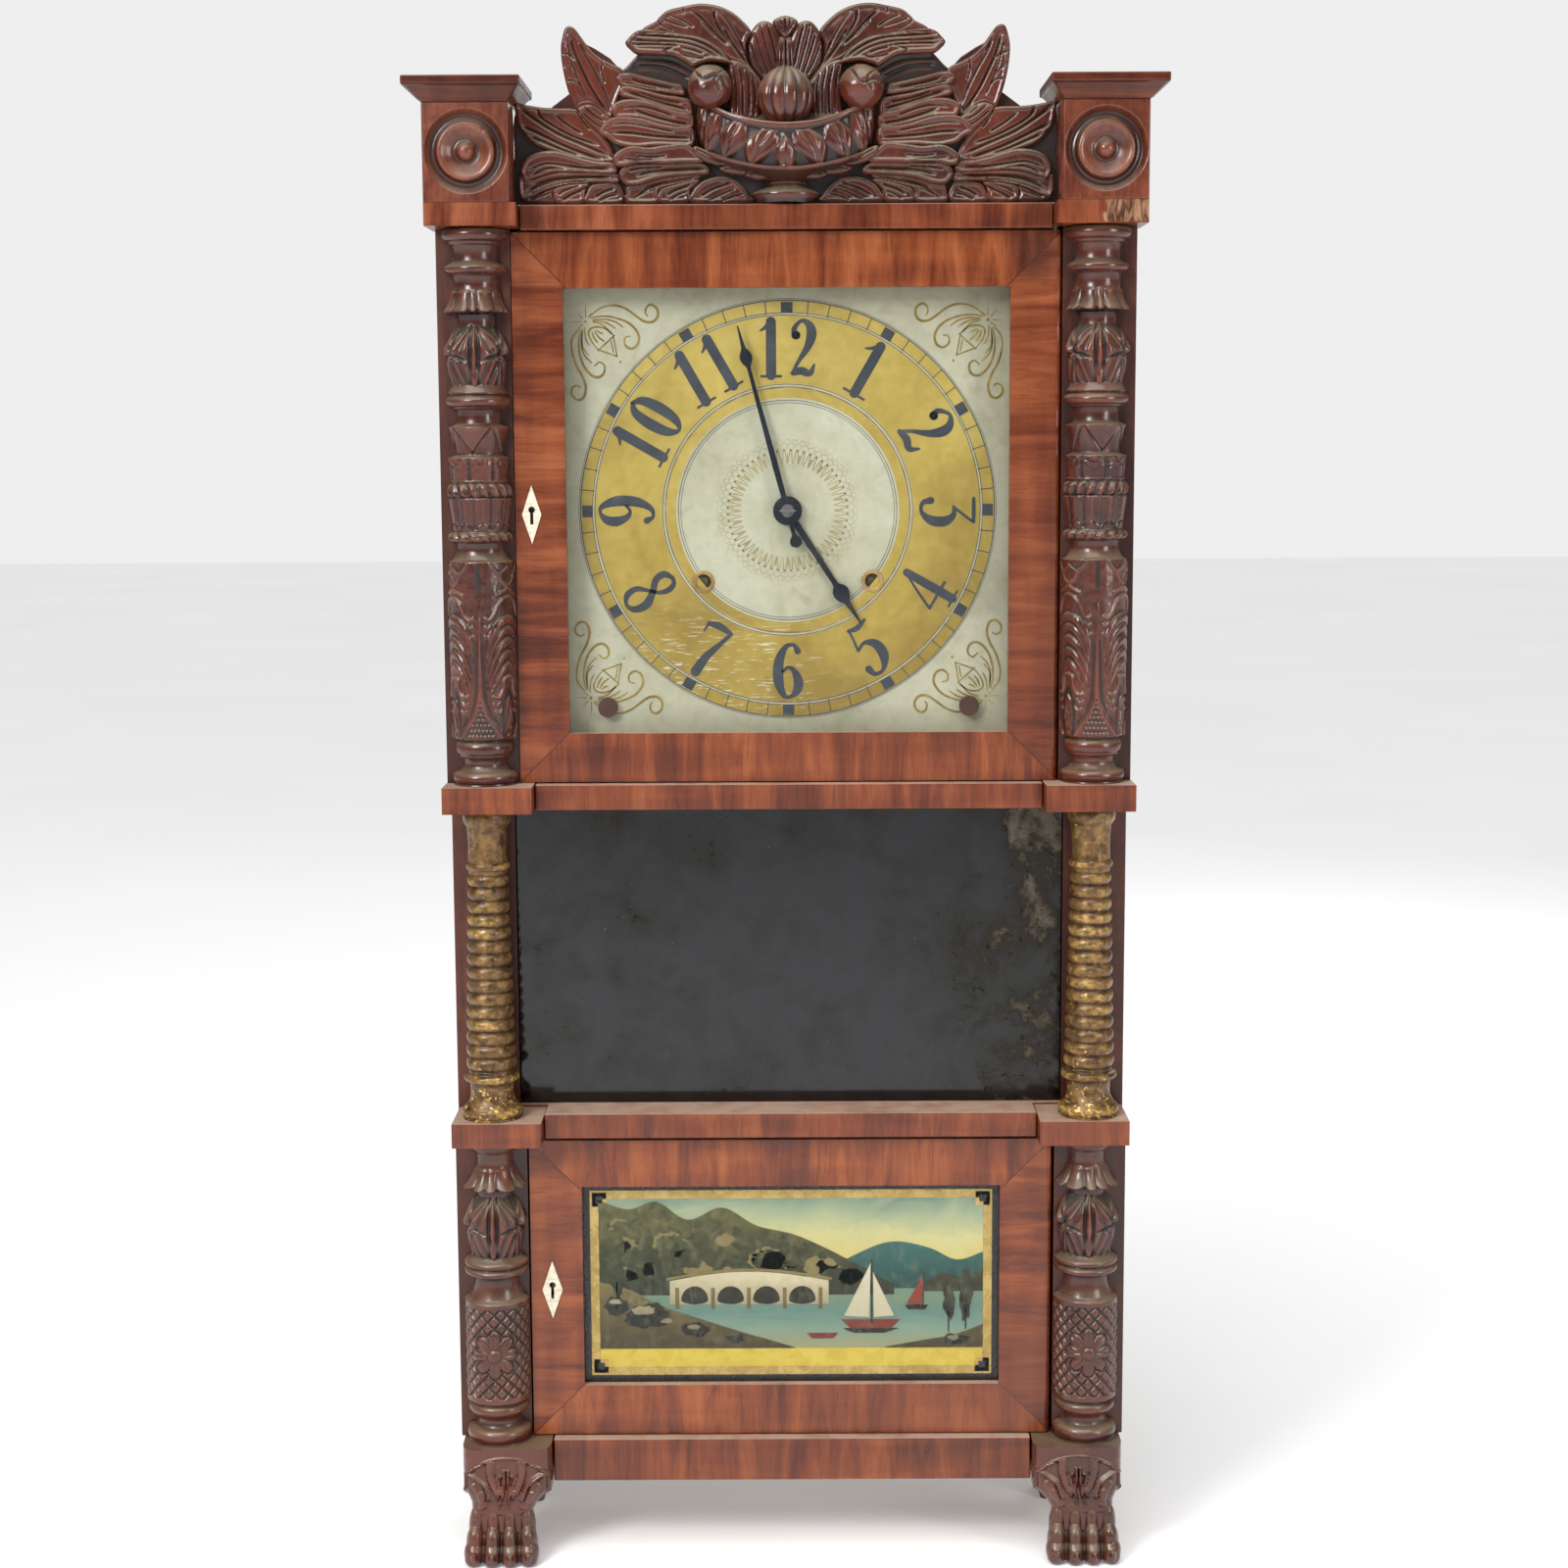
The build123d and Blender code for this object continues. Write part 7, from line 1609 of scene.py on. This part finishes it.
rnd = random.Random(7)
wood = hill(-IX, 66.0, 167.0, [(-123, 230), (-104, 224), (-86, 229), (-66, 217), (-44, 225), (-22, 213), (2, 207), (24, 197), (46, 185), (66, 174)])
layer("tablet_wood", [wood, hill(84.0, IX, 169.0, [(84, 174), (98, 181), (110, 178), (123, 184)])], 4, M_TREE)
crowns = []
for k in range(34):
    cxk = -118 + 178 * rnd.random()
    topk = float(np.interp(cxk, [-123, -60, 0, 60], [222, 214, 200, 178]))
    czk = 180 + (topk - 182) * rnd.random()
    rk = 5 + 6 * rnd.random()
    crowns.append(blobby(max(-112, cxk), czk, rk, rk * 0.72, 20 + k))
layer("tablet_crowns_light", crowns[:17], 5, M_BANK)
layer("tablet_crowns_dark", [[(x + 1.6, z - 1.8) for x, z in c] for c in crowns[5:34:2]], 6, M_TREE)
arches = []
for k in range(4):
    ax = -62.0 + 23.0 * k
    arches.append([(ax + 8.6 * math.cos(t), 164.0 + (9.0 if math.sin(t) > 0 else 3.0) * math.sin(t)) for t in [2 * math.pi * i / 28 for i in range(28)]])
deck = [(-78.0, 161.0)] + [(-78.0 + 102.0 * i / 20, 176.5 + 6.0 * math.sin(math.pi * i / 20)) for i in range(21)] + [(24.0, 161.0)]
rail = [(-80.0 + 106.0 * i / 20, 178.6 + 6.0 * math.sin(math.pi * i / 20)) for i in range(21)] + [(26.0 - 106.0 * i / 20, 176.8 + 6.0 * math.sin(math.pi * (20 - i) / 20)) for i in range(21)]
layer("tablet_bridge", [deck], 7, M_STONE)
layer("tablet_bridge_rail", [rail] + [rect(-74.5 + 23.0 * k, -72.0 + 23.0 * k, 158.0, 172.0) for k in range(5)], 8, M_BANK)
layer("tablet_arches", arches, 8, M_DARKP)
layer("tablet_banks", [hill(-IX, 2.0, 131.6, [(-123, 176), (-104, 171), (-84, 160), (-58, 151), (-34, 143), (-14, 137), (2, 132)]), hill(60.0, IX, 131.6, [(60, 132), (82, 136), (104, 140), (123, 147)])], 9, M_BANK)
rocks = [blobby(-92, 153, 15, 8.5, 3), blobby(-62, 144, 9, 4.6, 5), blobby(-112, 160, 8, 6, 8), blobby(106, 137, 9, 3.6, 11), blobby(-36, 138, 6, 2.8, 12)]
layer("tablet_rocks", rocks, 10, M_DARKP)
layer("tablet_rock_lights", [blobby(x, z, r, r * 0.42, sd) for x, z, r, sd in ((-95, 157, 7, 4), (-63, 146, 4, 6), (-113, 163, 4, 9), (-80, 150, 4, 15), (104, 138.4, 4, 12))], 11, M_STONE)
layer("tablet_poplars", [blobby(-112, 190, 5.6, 24, 23), blobby(112, 168, 4.2, 17, 25), blobby(101, 164, 3.6, 13, 27), rect(-112.6, -111.4, 158, 176), rect(111.5, 112.5, 144, 158), rect(100.6, 101.4, 142, 156)], 10, M_TREE)
layer("tablet_boat_sails", [[(50, 152), (51, 188), (34, 153)], [(53, 152), (52.4, 182), (66, 153)]], 10, M_SAIL)
layer("tablet_red_sail", [[(84, 160), (84.6, 180), (74, 160.6)], [(32, 150.5), (70, 150.5), (64, 144.5), (38, 144.5)], [(10, 141.5), (30, 141.5), (27, 138), (13, 138)]], 10, M_RED)
layer("tablet_boat_lines", [rect(51.2, 52.2, 148, 190), rect(84.4, 85.0, 158, 182), [(73, 160), (88, 160), (86, 157), (75, 157)], [(33, 144.6), (69, 144.6), (60, 141.6), (40, 141.6)]], 11, M_DARKP)
g = Geo()
g.prism(rect(-135.9, 135.9, 106.7, 243.8), TY - 0.62, TY - 0.98)
o = g.obj("tablet_front_glass", M_GLASS, "lower_door", "painted_glass", ("lower_door_tablet",), smooth=False)

# ------------------------------------------------------------------ floor, lights, camera
def stage_material():
    m = Mat("pale_floor")
    n = m.noise((1.5, 1.5, 1.5), 3)
    m.link(m.ramp(n, [(0.3, (0.86, 0.86, 0.86)), (0.7, (0.90, 0.90, 0.90))]), "Base Color")
    m.set(Roughness=0.9, Emission_Color=(1.0, 1.0, 1.0, 1.0), Emission_Strength=0.18)
    return m.m


fl = bpy.data.meshes.new("floor")
fl.from_pydata([(-14, -14, 0), (14, -14, 0), (14, 14, 0), (-14, 14, 0)], [], [(0, 1, 2, 3)])
floor = bpy.data.objects.new("floor", fl)
scene.collection.objects.link(floor)
fl.materials.append(stage_material())

world = bpy.data.worlds.new("studio")
scene.world = world
world.use_nodes = True
wt = world.node_tree
bg = wt.nodes["Background"]
bg.inputs[0].default_value = (1.0, 1.0, 1.0, 1)
lp = wt.nodes.new("ShaderNodeLightPath")
mr = wt.nodes.new("ShaderNodeMapRange")
mr.inputs["To Min"].default_value = 0.17
mr.inputs["To Max"].default_value = 0.86
wt.links.new(lp.outputs["Is Camera Ray"], mr.inputs["Value"])
wt.links.new(mr.outputs[0], bg.inputs[1])


def area(name, loc, target, size, power, col=(1, 1, 1)):
    d = bpy.data.lights.new(name, "AREA")
    d.shape = "RECTANGLE"
    d.size, d.size_y = size
    d.energy = power
    d.color = col
    o = bpy.data.objects.new(name, d)
    scene.collection.objects.link(o)
    o.location = loc
    o.rotation_euler = (Vector(target) - Vector(loc)).to_track_quat("-Z", "Y").to_euler()
    return o


area("key", (-1.35, -1.75, 1.75), (0, 0, 0.5), (0.7, 0.9), 40)
area("fill", (1.75, -1.45, 1.05), (0, 0, 0.5), (0.55, 1.1), 15)
area("back", (0.9, 2.0, 1.6), (0, 0, 0.5), (1.0, 1.0), 12)
sun = bpy.data.lights.new("overhead", "SUN")
sun.energy = 1.9
sun.angle = math.radians(50.0)
suno = bpy.data.objects.new("overhead", sun)
scene.collection.objects.link(suno)
suno.rotation_euler = (math.radians(24.0), math.radians(-8.0), 0.0)

cam = bpy.data.cameras.new("camera")
camo = bpy.data.objects.new("camera", cam)
scene.collection.objects.link(camo)
scene.camera = camo
cam.sensor_width = 36.0
cam.lens = 2610.0 / 1600.0 * 36.0
cam.shift_x = -5.0 / 1600.0
camo.location = (0.0, -1.617, 0.7094)
camo.rotation_euler = (Matrix.Rotation(math.radians(90.0 - 7.6), 4, "X") @ Matrix.Rotation(math.radians(-0.27), 4, "Z")).to_euler()
scene.view_settings.view_transform = "Standard"
scene.view_settings.look = "None"
